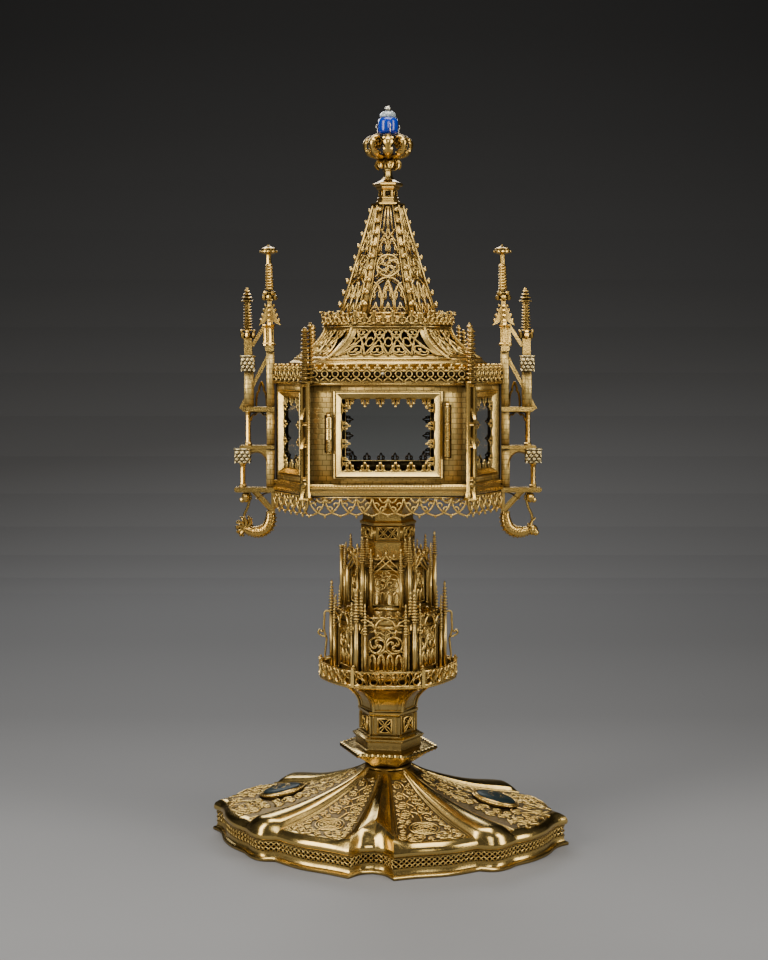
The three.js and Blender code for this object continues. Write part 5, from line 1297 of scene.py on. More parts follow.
brick_gilt = metal("brick_gilding", (0.88, 0.64, 0.22), (0.74, 0.48, 0.14), TARNISH_AND_SHADE_BROWN, 0.22, 0.42, 0.005)
tree = brick_gilt.node_tree
shader = next(n for n in tree.nodes if n.type == "BSDF_PRINCIPLED")
bricks = node(tree, "ShaderNodeTexBrick")
BRICKS = {
    "Scale": 1.0, "Mortar Size": 0.35, "Mortar Smooth": 0.4, "Brick Width": 6.6, "Row Height": 4.1,
    "Color1": (1, 1, 1, 1), "Color2": (0.78, 0.76, 0.72, 1), "Mortar": (0.30, 0.26, 0.20, 1),
}
for title, value in BRICKS.items():
    bricks.inputs[title].default_value = value
tree.links.new(node(tree, "ShaderNodeTexCoord").outputs["UV"], bricks.inputs["Vector"])
old_colour = shader.inputs["Base Color"].links[0].from_socket
darker = mix_colour(tree, 0.85, old_colour, bricks.outputs["Color"], "MULTIPLY")
tree.links.new(darker, shader.inputs["Base Color"])
bump(tree, shader, bricks.outputs["Color"], 0.0006, 0.5)

wall_parts, wall_uv, lining_parts = [], [], []
tower_faces = faces(tower_ring(-0.02, WALL_BOTTOM))
for place, length, _ in tower_faces:
    open_half = (FRONT_HALF if length > 100 else SIDE_HALF) - FRAME_LAP
    spans = open_half, WINDOW_LOW + FRAME_LAP, WINDOW_HIGH - FRAME_LAP, WALL_TOP - WALL_BOTTOM
    lining_parts += [at(flat, place) for flat in walls_round(length / 2, *spans, -2.4, -2.0)]
    for flat in walls_round(length / 2, *spans, -1.9, 0):
        wall_parts.append(at(flat, place))
        wall_uv.append(flat[0][:, :2] + [200, 100])
walls = joined(wall_parts)
piece("tower_brick_walls", walls, brick_gilt, ("tower_walls",), uv=np.vstack(wall_uv))
# Painted shade: the near-black lining inside the walls.
piece("chamber_lining", joined(lining_parts), shade_black)

# %% Knuckles and painted shadow lines beside the front window
def barrel(x, spans, radius=BARREL_RADIUS):
    """Hinge knuckles round an upright pin, with a small lip at each end."""
    made = []
    for low, high in spans:
        made += [
            at(lathe([(radius * 0.9, low), (radius, low + 0.3), (radius, high - 0.3), (radius * 0.9, high)],
                12), move(x, HINGE_Y, 0)),
            box((x - 1.2, -55.2, low), (x + 1.2, -53.4, high)),
        ]
    return joined(made)


# %% [markdown]
# The base moulding is one profile carried round the tower, with a rope above it. Offsets are measured outward
# from the wall.

# %% Base moulding
base_profile = [
    (-40, 286.2), (0.4, 286.3), (3.2, 287.2), (3.6, 288.2), (3.6, 289.6), (2.2, 290.4), (1.5, 291.2), (1.5,
        292.2),
    (2.6, 292.6), (2.6, 293.0), (0.8, 294.9), (0.2, 295.6), (-1.9, 295.6),
]
base_parts = [tower_skin(base_profile), rope(tower_ring(1.9, 294.2), 0.85, 2.3)]
piece("tower_base_moulding", joined(base_parts), bright_gilt, ("tower_base",), smooth=25)

# %% [markdown]
# ## The hanging openwork
#
# Below the tower hangs a strip of crossing arches. Each bay is a deep loop with a pointed tip, crossed by the
# loops of its neighbours, with a three-lobed figure in its middle.

# %% Hanging openwork
def hanging_bay(pitch, tall):
    """One loop of the strip, drawn from the top edge at zero down to minus its height."""
    half = pitch / 2
    drawn = []
    drawn += mirrored([bend((-half * 0.98, -0.3), (-half * 0.98, -tall * 0.5), (-half * 0.5, -tall * 0.8),
        (0, -tall * 0.86), 9)])
    ogee = bend((-half, -tall * 0.9), (-half * 0.45, -tall * 0.82), (-half * 0.02, -tall * 0.55),
        (-half * 0.02, -0.3), 9)
    cusp = bend((-half * 0.55, -0.4), (-half * 0.5, -tall * 0.3), (-half * 0.1, -tall * 0.34),
        (-half * 0.12, -tall * 0.16), 6)
    shoulder = bend((-half * 0.95, -tall * 0.36), (-half * 0.7, -tall * 0.2), (-half * 0.5, -tall * 0.3),
        (-half * 0.62, -tall * 0.46), 6)
    inner = bend((-half * 0.42, -tall * 0.72), (-half * 0.62, -tall * 0.5), (-half * 0.3, -tall * 0.36),
        (-half * 0.14, -tall * 0.56), 6)
    drawn += mirrored([ogee, cusp, shoulder, inner])
    made = [bars(drawn, 1.45, 1.7)]
    made.append(hoop((0, -tall * 0.3), tall * 0.11, 8, 0.7, 1.1))
    for x, y, size in ((0, -tall * 0.92, 1.0), (-half, -tall * 0.92, 0.8), (-half * 0.52, -tall * 0.8,
        0.55), (half * 0.52, -tall * 0.8, 0.55)):
        made.append(at(ball(size, (0, 0, 0), 6, 4, 1.9), move(x, y, 0.3), FACING))
    return joined(made)


CREST_TOP, CREST_TALL = 285.9, 16.4
hanging_parts = []
for place, length, _ in faces(tower_ring(1.0, CREST_TOP)):
    bays = 5 if length > 100 else 3
    pitch = length / bays
    hanging_parts += [
        copies(hanging_bay(pitch, CREST_TALL), [place @ move((i + 0.5 - bays / 2) * pitch, 0,
            0) for i in range(bays)]),
        at(bars([line((-length / 2, -0.3), (length / 2, -0.3))], 1.4, 1.6), place),
    ]
piece("hanging_openwork", joined(hanging_parts), bright_gilt, ("hanging_crest",))

# %% [markdown]
# ## The gallery
#
# Round the top of the walls runs a parapet. From below: a cornice, a zig-zag, a row of small rings that
# once held beads, and three-lobed tips.

# %% Gallery cresting
GALLERY_FOOT = 375.6


def gallery_bay(pitch):
    """One bay of the parapet: two slanting bars, a ring and a tip with side buds."""
    half = pitch / 2
    drawn = mirrored([line((-half, 0.2), (0, 4.2)), bend((-half, 8.8), (-half * 0.62, 8.4), (-half * 0.3,
        10.2), (0, 12.4), 5)])
    made = [bars(drawn, 1.25, 1.7)]
    made += [
        hoop((0, 6.6), 2.4, 10, 1.15, 2.0),
        bars([line((-half, 0.2), (half, 0.2))], 0.9, 1.6),
    ]
    for x, y, size in ((0, 13.2, 1.3), (-1.9, 11.3, 1.1), (1.9, 11.3, 1.1), (half, 9.3, 1.0), (half, 4.4,
        0.95)):
        made.append(ball(size, (x, y, 0.3), 6, 4))
    return joined(made)


gallery_parts, ring_shade_parts = [], []
for place, length, _ in faces(tower_ring(1.2, GALLERY_FOOT)):
    bays = 15 if length > 100 else 8
    pitch = length / bays
    spots = [place @ move((i + 0.5 - bays / 2) * pitch, 0, 0) for i in range(bays)]
    gallery_parts.append(copies(gallery_bay(pitch), spots))
    # A near-black ball in each empty ring: painted shade where the opening is.
    ring_shade_parts.append(copies(ball(1.6, (0, 6.6, 0.1), 8, 5), spots))
gallery_parts.append(tower_skin([(-1.9, 375.3), (1.2, 375.3), (2.3, 375.0), (2.5, 374.2), (2.0, 373.4),
    (0.1, 372.9), (-1.9, 372.9)]))
piece("gallery_parapet", joined(gallery_parts), bright_gilt, ("gallery_crest",))
piece("gallery_ring_shade", joined(ring_shade_parts), shade_black)
piece("gallery_stone", ball(1.5, (-4.1, -55.2, 382.3), 10, 7), silver)

# %% [markdown]
# ## The windows
#
# Each frame is a mitred moulding with a shiny sill. Small three-leaved flowers point inward from its inner
# edge. The front frame and its pane are the door.

# %% Window frames
def fleur(size=1.0):
    """A small three-leaved flower that points up."""
    drawn = mirrored([bend((-0.1, 0), (-2.6, 0.4), (-3.0, 2.3), (-1.3, 2.9), 6), bend((-1.5, 0),
        (-0.4, 1.6), (-1.3, 3.4), (0, 5.0), 5)])
    made = [bars(drawn, 0.85, 1.0), ball(0.85, (0, 4.6, 0.2), 6, 4), bars([line((-3.1, 0), (3.1, 0))], 0.8,
        0.8)]
    made += [ball(0.8, (x, 2.7, 0.2), 6, 4) for x in (-1.7, 1.7)]
    return at(joined(made), stretch(size, size, 1))


def window_frame(half, flowers_across, flowers_up):
    """A mitred frame, drawn on its face with the sill at the bottom, and its flowers."""
    low, high = WINDOW_LOW, WINDOW_HIGH
    rings = []
    profile = [(0.35, 0.12), (0.1, 1.3), (0.5, 2.3), (1.2, 2.7), (1.6, 2.2), (2.0, 2.9), (2.5, 3.3),
        (6.2, 0.4), (6.8, 0.2), (6.8, -1.6), (5.6, -1.8)]
    for inset, out in profile:
        x, y0, y1 = half - inset, low + inset, high - inset
        rings.append([(-x, y0, out), (x, y0, out), (x, y1, out), (-x, y1, out)])
    made = [skin([np.array(r, float) for r in rings], closed=True)]
    inner = half - FLOWER_LAP
    width, tall = 2 * inner, high - low - 2 * FLOWER_LAP
    for n, run, spots in ((flowers_across, width, 0), (flowers_up, tall, 1)):
        step = run / n
        size = min(step / 6.4, 1.25)
        for i in range(n):
            along = -run / 2 + (i + 0.5) * step
            if spots == 0:
                made += [
                    at(fleur(size), matrix((along, low + FLOWER_LAP, 0.2))),
                    at(fleur(size), matrix((-along, high - FLOWER_LAP, 0.2), (-1, 0, 0), (0, -1, 0))),
                ]
            else:
                middle = (low + high) / 2
                made += [
                    at(fleur(size), matrix((inner, middle + along, 0.2), (0, 1, 0), (-1, 0, 0))),
                    at(fleur(size), matrix((-inner, middle - along, 0.2), (0, -1, 0), (1, 0, 0))),
                ]
    return joined(made)


FACE_NAMES = ("back_right", "back", "back_left", "front_left", "front", "front_right")
wide_frame, narrow_frame = window_frame(FRONT_HALF - 0.1, 6, 4), window_frame(SIDE_HALF - 0.1, 3, 4)
for (place, length, _), name in zip(tower_faces, FACE_NAMES):
    shape = wide_frame if length > 100 else narrow_frame
    if name == "front":
        knuckles = joined([barrel(HINGE_X, ((331.0, 343.6),)), barrel(-HINGE_X, ((330.8, 339.4),))])
        piece("door_leaf_frame", at(shape, place), smooth_gilt, ("door_frame",), body="door", smooth=20)
        piece("door_knuckles", knuckles, bright_gilt, body="door", smooth=30)
    else:
        piece("fixed_frame_" + name, at(shape, place), smooth_gilt, ("window_frame_" + name,), smooth=20)
fixed_knuckles = joined([barrel(HINGE_X, ((317.6, 330.6), (344.0, 357.0))), barrel(-HINGE_X,
    ((321.8, 330.4), (339.8, 348.4)))])
piece("fixed_knuckles", fixed_knuckles, bright_gilt, smooth=30)
# Thin near-black strips beside the knuckles: painted shadow.
shadow_strips = [box((x - 2.7, -53.62, low), (x + 2.7, -53.5, high)) for x, low,
    high in ((46.9, 316.4, 358.2), (-46.9, 320.6, 350.0))]
piece("hinge_painted_shadow", joined(shadow_strips), shade_black)

# %% [markdown]
# ## The lower roof
#
# The roof is a flared skirt of tracery. A surface formula bends each flat panel: the higher the point, the
# further it leans in, with a hollow curve between.

# %% Flared roof panels
EAVES, ROOF_TOP = 393.5, 421.5
BAND_LOW, BAND_HIGH = 0.1, 0.84
WIDE_MARGIN, NARROW_MARGIN = 0.075, 0.13
BASE_F, BASE_D, TOP_F, TOP_D = 48.4, 47.6, 28.7, 38.6


def roof_ring(share, z, grow=0.0):
    """The roof's outline at a share of its height. The flare makes it fall inward fastest at the foot."""
    lean = 1 - (1 - share) ** 1.9
    front = BASE_F + (TOP_F - BASE_F) * lean
    depth = BASE_D + (TOP_D - BASE_D) * lean
    return level(long_hexagon(front, depth) * (1 + grow / 60), z)


CURLS = (
    ((0.3, 0.24), (0.1, 0.12), (0, 0.2), (-0.05, 0.3)), ((0.28, 0.72), (0.05, 0.62), (0, 0.7), (-0.06, 0.8)),
    ((0.2, 0.52), (0.32, 0.6), (0.3, 0.7), (0.1, 0.82)), ((0.2, 0.44), (0.34, 0.36), (0.3, 0.24),
        (0.1, 0.14)),
    ((0.5, 0.1), (0.42, 0.3), (0.2, 0.34), (0.12, 0.46)),
)
roof_rows = 9
roof_parts = []
for i in range(6):
    j = (i + 1) % 6
    share = np.linspace(0, 1, roof_rows)
    corner_a = np.array([roof_ring(s, EAVES + (ROOF_TOP - EAVES) * s)[i] for s in share])
    corner_b = np.array([roof_ring(s, EAVES + (ROOF_TOP - EAVES) * s)[j] for s in share])
    roof_parts.append(rope(corner_a, 1.25, 2.4, closed=False, normal=(0, 1, 0)))

    def on_roof(u, v):
        """The point of this panel at the share u along and v up."""
        a = np.array([np.interp(v, share, corner_a[:, k]) for k in range(3)]).T
        b = np.array([np.interp(v, share, corner_b[:, k]) for k in range(3)]).T
        return a + (b - a) * np.asarray(u)[:, None]

    length = np.linalg.norm(corner_b[0] - corner_a[0])
    wide = length > 80
    out = np.cross(corner_b[0] - corner_a[0], corner_a[-1] - corner_a[0])
    out /= np.linalg.norm(out)
    margin = WIDE_MARGIN if wide else NARROW_MARGIN
    curves = []
    bays = 4 if wide else 2
    step = (1 - 2 * margin) / bays
    for k in range(bays):
        u0 = margin + k * step
        for sign in (1, -1):
            base, tip = (u0, u0 + step) if sign > 0 else (u0 + step, u0)
            curves.append(bend((base, BAND_LOW), (base + (tip - base) * 0.2, 0.45),
                (base + (tip - base) * 0.6, 0.6), (tip, BAND_HIGH), 9))
        middle = u0 + step / 2
        for cx, cy, rx, ry in ((middle, 0.24, step * 0.32, 0.13), (middle, 0.72, step * 0.3, 0.12),
            (u0 + step * 0.02, 0.48, step * 0.2, 0.12)):
            t = np.linspace(0, 2 * np.pi, 12)
            curves.append(np.column_stack([cx + rx * np.cos(t), cy + ry * np.sin(t)]))
        for sign in (1, -1):
            for start, corners, count in zip((middle, middle, u0, u0, middle), CURLS, (6, 6, 5, 5, 6)):
                curves.append(bend(*[(start + sign * step * x, y) for x, y in corners], count))
    for curve in curves:
        roof_parts.append(sweep(on_roof(np.clip(curve[:, 0], margin, 1 - margin), np.clip(curve[:, 1],
            BAND_LOW, BAND_HIGH)), ridge_bar(1.35, 1.6), out))
    for v0, v1 in ((0.0, BAND_LOW), (BAND_HIGH, 1.0)):
        strip = [on_roof([0.0, 1.0], np.array([v, v])) for v in (v0, v1)]
        quad = np.array([strip[0][0], strip[0][1], strip[1][1], strip[1][0]])
        roof_parts.append(part(np.vstack([quad, quad - out * 1.2]), [[0, 1, 2, 3], [7, 6, 5, 4],
            [3, 2, 6, 7], [1, 0, 4, 5]]))
    for u0, u1 in ((0.0, margin), (1 - margin, 1.0)):
        front_side = np.vstack([on_roof([u0, u1], np.array([v, v])) for v in share])
        quads = [[2 * r, 2 * r + 1, 2 * r + 3, 2 * r + 2] for r in range(roof_rows - 1)]
        roof_parts.append(backed(front_side, quads, out * 1.2))
for up, z, grow, radius in ((0.0, EAVES + 0.2, 0.3, 1.0), (0.1, EAVES + 3.1, -0.2, 0.6),
                               (BAND_HIGH, ROOF_TOP - 4.3, 0.0, 0.6), (1.0, ROOF_TOP - 0.6, 0.0, 0.9)):
    roof_parts.append(sweep(roof_ring(up, z, grow), round_bar(radius), closed=True))


# %% Skirt, painted shadow band and painted shade liner of the roof
skirt = [level(long_hexagon(BASE_F + o, BASE_D + o), z) for o, z in ((1.5, 378.6), (2.2, 379.2),
    (2.2, 388.0), (3.0, 388.8), (3.4, 390.2), (2.8, 391.0), (1.0, 392.6), (0.4, 393.6), (-1.6, 393.6),
    (-1.6, 378.6))]
roof_parts.append(skin(skirt, closed=True))
piece("lower_roof_tracery", joined(roof_parts), bright_gilt, ("lower_roof",))
# A near-black band of painted shadow behind the lower part of the gallery.
band_ring = lambda o, z: level(long_hexagon(BASE_F + o, BASE_D + o), z)
band = skin([band_ring(2.3, 378.4), band_ring(2.5, 378.6), band_ring(2.5, 384.4), band_ring(2.2, 384.6)])
piece("gallery_shadow_band", band, shade_black)
# A near-black liner of painted shade behind the roof tracery.
liner = skin([roof_ring(s, EAVES + (ROOF_TOP - EAVES) * s, -2.6) for s in np.linspace(0.0, 0.97, 6)])
piece("lower_roof_shade_liner", liner, shade_black)

# %% [markdown]
# ## The crest of leaves at the foot of the spire
#
# Curled leaves stand side by side and lean outward a little.

# %% Leaf crest
def curled_leaf(height, width):
    """A leaf whose tip rolls forward, drawn as a strip that narrows: rows of three points."""
    share = np.linspace(0, 1, 8)
    y = height * (np.sin(share * np.pi * 0.62) / math.sin(math.pi * 0.62))
    out = 0.4 + height * 0.42 * share ** 2.2
    half = width / 2 * (0.55 + 0.9 * np.sin(np.pi * np.clip(share * 0.9 + 0.05, 0, 1))) * (1 - 0.45 * share)
    rows = [np.column_stack([[-h, 0, h], [yy] * 3, [o, o + h * 0.35, o]]) for yy, o, h in zip(y, out, half)]
    points = np.vstack(rows)
    quads = [[3 * r + c, 3 * r + c + 1, 3 * r + c + 4, 3 * r + c + 3] for r in range(7) for c in range(2)]
    count = len(points)
    rim = []
    for r in range(7):
        rim += [[3 * r, 3 * r + 3, 3 * r + 3 + count, 3 * r + count], [3 * r + 5, 3 * r + 2,
            3 * r + 2 + count, 3 * r + 5 + count]]
    sheet = backed(points, quads, [0, 0, 0.5], rim)
    return joined([sheet, ball(width * 0.28, (0, y[-1] - 0.1, out[-1]), 6, 4)])


def crest_flower(height, width):
    """A flower of the crest: a leaf between two curled side lobes, with a berry at its foot."""
    side = bend((0.2, 0.6), (-width * 0.55, height * 0.1), (-width * 0.62, height * 0.55), (-width * 0.2,
        height * 0.62), 7)
    side = np.column_stack([side, 0.6 + 1.5 * np.linspace(0, 1, len(side)) ** 2])
    lobes = []
    for flip in (1, -1):
        path = side * [flip, 1, 1]
        lobes += [
            sweep(path, round_bar(0.75), (0, 0, 1), grow=np.linspace(1.1, 0.7, len(path))),
            ball(0.85, path[-1], 6, 4),
        ]
    return joined([curled_leaf(height, width * 0.5), ball(1.25, (0, 0.7, 1.3), 7, 5)] + lobes)


leaf_parts = []
for place, length, _ in faces(roof_ring(1.0, 419.8, 2.0)):
    count = 8 if length > 50 else 6
    pitch = length / count
    for first, tall in ((0, 10.2), (1, 8.4)):
        leaf = joined([at(crest_flower(tall, pitch * 0.96), move(0, 1.4, 0)),
            at(ball(1.1, (pitch / 2, 3.6, 1.0), 6, 4))])
        leaf_parts.append(copies(leaf, [place @ move((i + 0.5 - count / 2) * pitch, 0,
            0) for i in range(first, count, 2)]))
    leaf_parts.append(at(bars([line((-length / 2, -0.3), (length / 2, -0.3)), line((-length / 2, 1.6),
        (length / 2, 1.6))], 1.0, 1.4), place))
piece("roof_leaf_crest", joined(leaf_parts), bright_gilt, ("roof_crest",))

# %% [markdown]
# ## The spire
#
# The spire narrows evenly from its base to its top. Each panel is drawn flat, with x as a share of the
# panel's half-width there, so the tracery narrows with it. Broad ribs carry rows of paired crockets.

# %% Spire
SPIRE_BOTTOM, SPIRE_TOP = 421.8, 517.8
SPIRE_BASE, SPIRE_HEAD = 42.0, 12.3


spire_base_ring = level(regular(6, SPIRE_BASE - 0.4), SPIRE_BOTTOM)
spire_head_ring = level(regular(6, SPIRE_HEAD - 0.3), SPIRE_TOP)
spire_faces = faces(spire_base_ring, spire_head_ring)
slant = spire_faces[0][2]
spire_half = lambda y: (SPIRE_BASE + (SPIRE_HEAD - SPIRE_BASE) * y / slant) / 2
RIB = 3.7
SPIRE_BREADTH = 1.45


def panel_bar(curves, width, depth):
    """Curves whose x is a share of the panel's free half-width at their height."""
    drawn = []
    for curve in curves:
        curve = np.asarray(curve, float)
        free = spire_half(curve[:, 1]) - RIB
        drawn.append(np.column_stack([curve[:, 0] * free, curve[:, 1]]))
    return bars(drawn, width * SPIRE_BREADTH, depth)


# %% One panel of the spire
spire_panel = []
spire_panel += [
    panel_bar(mirrored([line((0.66, 78), (0.66, 97), 3), line((0.08, 78), (0.08, 97), 3)]), 0.9, 1.4),
    panel_bar(mirrored([bend((0.1, 79), (0.1, 74), (0.75, 73), (0.95, 67), 7), bend((0.9, 79), (0.85, 75),
        (0.05, 76), (0, 69), 7)]), 0.9, 1.3),
    panel_bar(mirrored([bend((0.0, 60), (0.02, 66), (0.3, 69), (0.45, 71), 5), bend((0.98, 58), (0.92, 66),
        (0.6, 69), (0.45, 71), 5), line((0, 58), (0, 72))]), 0.9, 1.3),
    panel_bar(mirrored([bend((0.9, 60.5), (0.6, 61), (0.62, 64), (0.75, 65), 4), bend((0.02, 61), (0.3, 61),
        (0.3, 64), (0.16, 65), 4)]), 0.6, 1.0),
]
whirl_centre, whirl_radius = (0.0, 48.0), 9.0
spire_panel += [
    hoop(whirl_centre, whirl_radius, 26, 1.9, 1.7),
    hoop(whirl_centre, whirl_radius - 1.7, 24, 0.6, 1.2),
]
for k in range(4):
    blade = turn(90 * k)[:2, :2]
    s_curve = bend((whirl_radius * 0.98, 0.5), (whirl_radius * 0.35, whirl_radius * 0.75),
        (-0.2, whirl_radius * 0.55), (0.1, 0.4), 9)
    cusp = bend(s_curve[3], s_curve[3] + [-2.4, -1.2], s_curve[5] + [-0.2, -2.6], s_curve[6] + [1.4, -1.4], 5)
    hook_cusp = bend((whirl_radius * 0.6, -whirl_radius * 0.7), (whirl_radius * 0.35, -whirl_radius * 0.4),
        (whirl_radius * 0.5, -whirl_radius * 0.1), (whirl_radius * 0.72, -whirl_radius * 0.12), 5)
    spire_panel.append(bars([s_curve @ blade.T + whirl_centre, cusp @ blade.T + whirl_centre,
        hook_cusp @ blade.T + whirl_centre], 1.7, 1.5))
corner_cusps = mirrored([bend((1.0, 38.5), (0.75, 39), (0.62, 41), (0.85, 44.6), 5), bend((1.0, 57.4),
    (0.85, 56.5), (0.66, 56.4), (0.5, 58), 4)])
spire_panel.append(panel_bar(corner_cusps, 0.8, 1.2))
arches = mirrored([bend((1.0, 26), (0.9, 33), (0.55, 37.5), (0.0, 38.5), 9), bend((0.33, 12), (0.32, 26),
    (0.2, 32), (0, 35.5), 8), bend((0.33, 16), (0.36, 28), (0.55, 33), (0.98, 34), 8)])
spire_panel.append(panel_bar(arches, 1.1, 1.5))
for centre in (-0.66, 0.0, 0.66):
    sides = [np.array([[centre + s * 0.3, 8.5], [centre + s * 0.3, 20], [centre + s * 0.24, 26],
        [centre, 31.5]]) for s in (-1, 1)]
    trefoil = [bend((centre + s * 0.29, 21), (centre + s * 0.08, 21.5), (centre + s * 0.08, 24),
        (centre + s * 0.16, 26.5), 5) for s in (-1, 1)]
    fleurs = [bend((centre + s * 0.26, 9), (centre + s * 0.2, 13), (centre + s * 0.08, 12), (centre, 17.5),
        5) for s in (-1, 1)]
    spire_panel += [
        panel_bar(sides, 1.0, 1.4),
        panel_bar(trefoil + fleurs, 0.75, 1.1),
        panel_bar([line((centre - 0.28, 13), (centre + 0.28, 13), 3)], 0.6, 0.9),
    ]
spire_panel.append(panel_bar([line((-1, 8.4), (1, 8.4), 3)], 1.6, 1.6))
for y0, y1 in ((0.3, 8.0), (97.0, slant - 0.3)):
    h0, h1 = spire_half(y0) - RIB + 0.5, spire_half(y1) - RIB + 0.5
    spire_panel.append(slab([[-h0, y0], [h0, y0], [h1, y1], [-h1, y1]], -1.2, 0.4))
for s in (-1, 1):
    outer0, outer1 = spire_half(0.3) - 0.1, spire_half(slant - 0.3) - 0.1
    strip = [[s * (outer0 - RIB), 0.3], [s * outer0, 0.3], [s * outer1, slant - 0.3],
        [s * (outer1 - RIB * 0.6), slant - 0.3]]
    if s < 0:
        strip = strip[::-1]
    spire_panel.append(slab(strip, -1.4, 0.6))
    edge0, edge1 = spire_half(0.3) - RIB - 0.2, spire_half(slant - 0.3) - RIB * 0.6 - 0.2
    spire_panel.append(bars([np.array([[s * edge0, 0.3], [s * edge1, slant - 0.3]])], 0.9, 2.4))
spire_panel = joined(spire_panel)
spire_parts = [copies(spire_panel, [m for m, _, _ in spire_faces])]

# %% Crockets and ribs
def crocket(size):
    """Two leaf balls on a short stalk, standing out from a rib."""
    made = [ball(size, (size * 0.9, size * 0.75, 0.2), 7, 5), ball(size, (size * 0.9, -size * 0.75, 0.2), 7,
        5)]
    made += [
        ball(size * 0.75, (size * 1.5, 0, size * 0.8), 6, 4),
        box((-0.8, -0.5, -0.8), (size, 0.5, 0.6)),
    ]
    return joined(made)


for k in range(6):
    a, b = spire_base_ring[k], spire_head_ring[k]
    direction = (b - a) / np.linalg.norm(b - a)
    outward = np.array([math.cos(math.radians(60 * k)), math.sin(math.radians(60 * k)), 0])
    spire_parts.append(sweep(np.array([a, b]), round_bar(0.9), outward))
    for i in range(10):
        share = (i + 0.55) / 10
        size = 2.25 - 0.8 * share
        spot = a + (b - a) * share
        across = np.cross(direction, outward)
        spire_parts.append(at(crocket(size), matrix(spot, outward - direction * np.dot(outward, direction),
            across, direction)))
piece("spire_tracery", joined(spire_parts), bright_gilt, ("spire",))

# %% [markdown]
# ## The finial
#
# A six-sided column with small windows, a flange, a neck and a collar of leaves carry eight large leaves.
# Each large leaf is a strip that rises, swings out and rolls back to the middle as an open loop.

# %% Column and neck
column_profile = [(11.5, 518.1), (13.9, 518.7), (13.9, 519.9), (9.8, 520.6), (9.8, 521.8), (8.6, 522.4),
    (8.6, 523.4), (9.4, 523.8), (9.4, 524.6), (7.6, 525.2), (7.6, 530.6), (8.8, 531.4), (9.6, 532.4),
    (9.6, 533.4), (11.8, 534.2), (12.3, 534.8), (12.3, 535.8), (11.4, 536.6)]
piece("finial_hex_column", lathe(column_profile), gilt, ("finial_column",), smooth=20)
window_frames = frame_bars(-2.4, 0.7, 2.4, 4.6, 0.6, 0.8)
# A near-black plate of painted shade behind each small window.
window_hollow = plate(-2.2, 0.8, 2.2, 4.5, 0.02, 0.12)
piece("finial_windows", copies(window_frames, hex_spots(7.6, 525.3)), gilt)
piece("finial_window_hollows", copies(window_hollow, hex_spots(7.6, 525.3)), shade_black)
neck_profile = [(11.0, 537.0), (8.2, 537.8), (5.4, 539.4), (3.9, 541.6), (3.4, 544.0), (3.4, 546.2),
    (4.6, 546.8), (4.6, 547.5)]
piece("finial_neck_turned", lathe(neck_profile), smooth_gilt, ("finial_neck",), smooth=20)

# %% Leaves
def strip_leaf(path, widths, vein=0.5, thick=0.7):
    """A leaf along a path in its own upright plane: rows of five points, ridged in the middle."""
    path, widths = np.asarray(path, float), np.asarray(widths, float)
    along = np.gradient(path, axis=0)
    along /= np.linalg.norm(along, axis=1)[:, None]
    out = np.column_stack([along[:, 1], -along[:, 0]])
    rows = []
    for p, n, w in zip(path, out, widths):
        for side, lift in ((-1, -0.15), (-0.5, 0.25), (0, vein), (0.5, 0.25), (1, -0.15)):
            q = p + n * lift * w
            rows.append((q[0], side * w, q[1]))
    points = np.array(rows)
    normals = np.repeat(side_path(out), 5, axis=0)
    count = len(points)
    quads = [[5 * r + c + 1, 5 * r + c, 5 * r + c + 5,
        5 * r + c + 6] for r in range(len(path) - 1) for c in range(4)]
    rim = []
    for r in range(len(path) - 1):
        rim += [[5 * r, 5 * r + count, 5 * r + 5 + count, 5 * r + 5], [5 * r + 9, 5 * r + 9 + count,
            5 * r + 4 + count, 5 * r + 4]]
    ends = [[4, 3, 3 + count, 4 + count], [count - 5, count - 4, 2 * count - 4, 2 * count - 5]]
    return backed(points, quads, normals * thick, rim + ends)


# %% Capital and collar
loop = smooth_run([(4.0, 556.0), (9.5, 556.6), (15.5, 559.6), (19.0, 564.5), (18.8, 570.2), (15.0, 573.9),
    (10.4, 573.4), (8.4, 569.6), (10.2, 566.4), (13.2, 567.4)], 4)
share = np.linspace(0, 1, len(loop))
loop_width = 3.7 * np.sin(np.pi * np.clip(0.16 + 0.8 * share, 0,
    1)) ** 0.7 * (1 + 0.3 * np.sin(share * 34)) * (1 - 0.3 * share)
big_leaf = strip_leaf(loop, np.clip(loop_width, 0.8, 6), 0.34, 1.5)
veins = [sweep(np.column_stack([loop[2:-3, 0] * 1.004, loop_width[2:-3] * w, loop[2:-3, 1]]),
    round_bar(0.42, 4), (0, 1, 0)) for w in (-0.55, 0.0, 0.55)]
big_leaf = joined([big_leaf] + veins)
heart = lathe([(3.2, 555.6), (5.2, 556.4), (5.4, 559.0), (3.8, 563.0), (3.6, 567.0), (5.0, 571.0),
    (6.4, 573.6), (5.0, 575.2)], 12)
buds = around(joined([ball(1.9, (13.4, 0, 570.2), 7, 5), ball(1.7, (10.6, 0, 560.6), 7, 5)]), 8)
curls = around(joined([ball(1.5, (17.2, side * 3.0, 571.4), 6, 4) for side in (-1, 1)] + [ball(1.3,
    (17.6, side * 2.8, 562.6), 6, 4) for side in (-1, 1)]), 8)
piece("capital_leaves", joined([around(big_leaf, 8), buds, curls]), gilt, ("leaf_capital",), smooth=45)
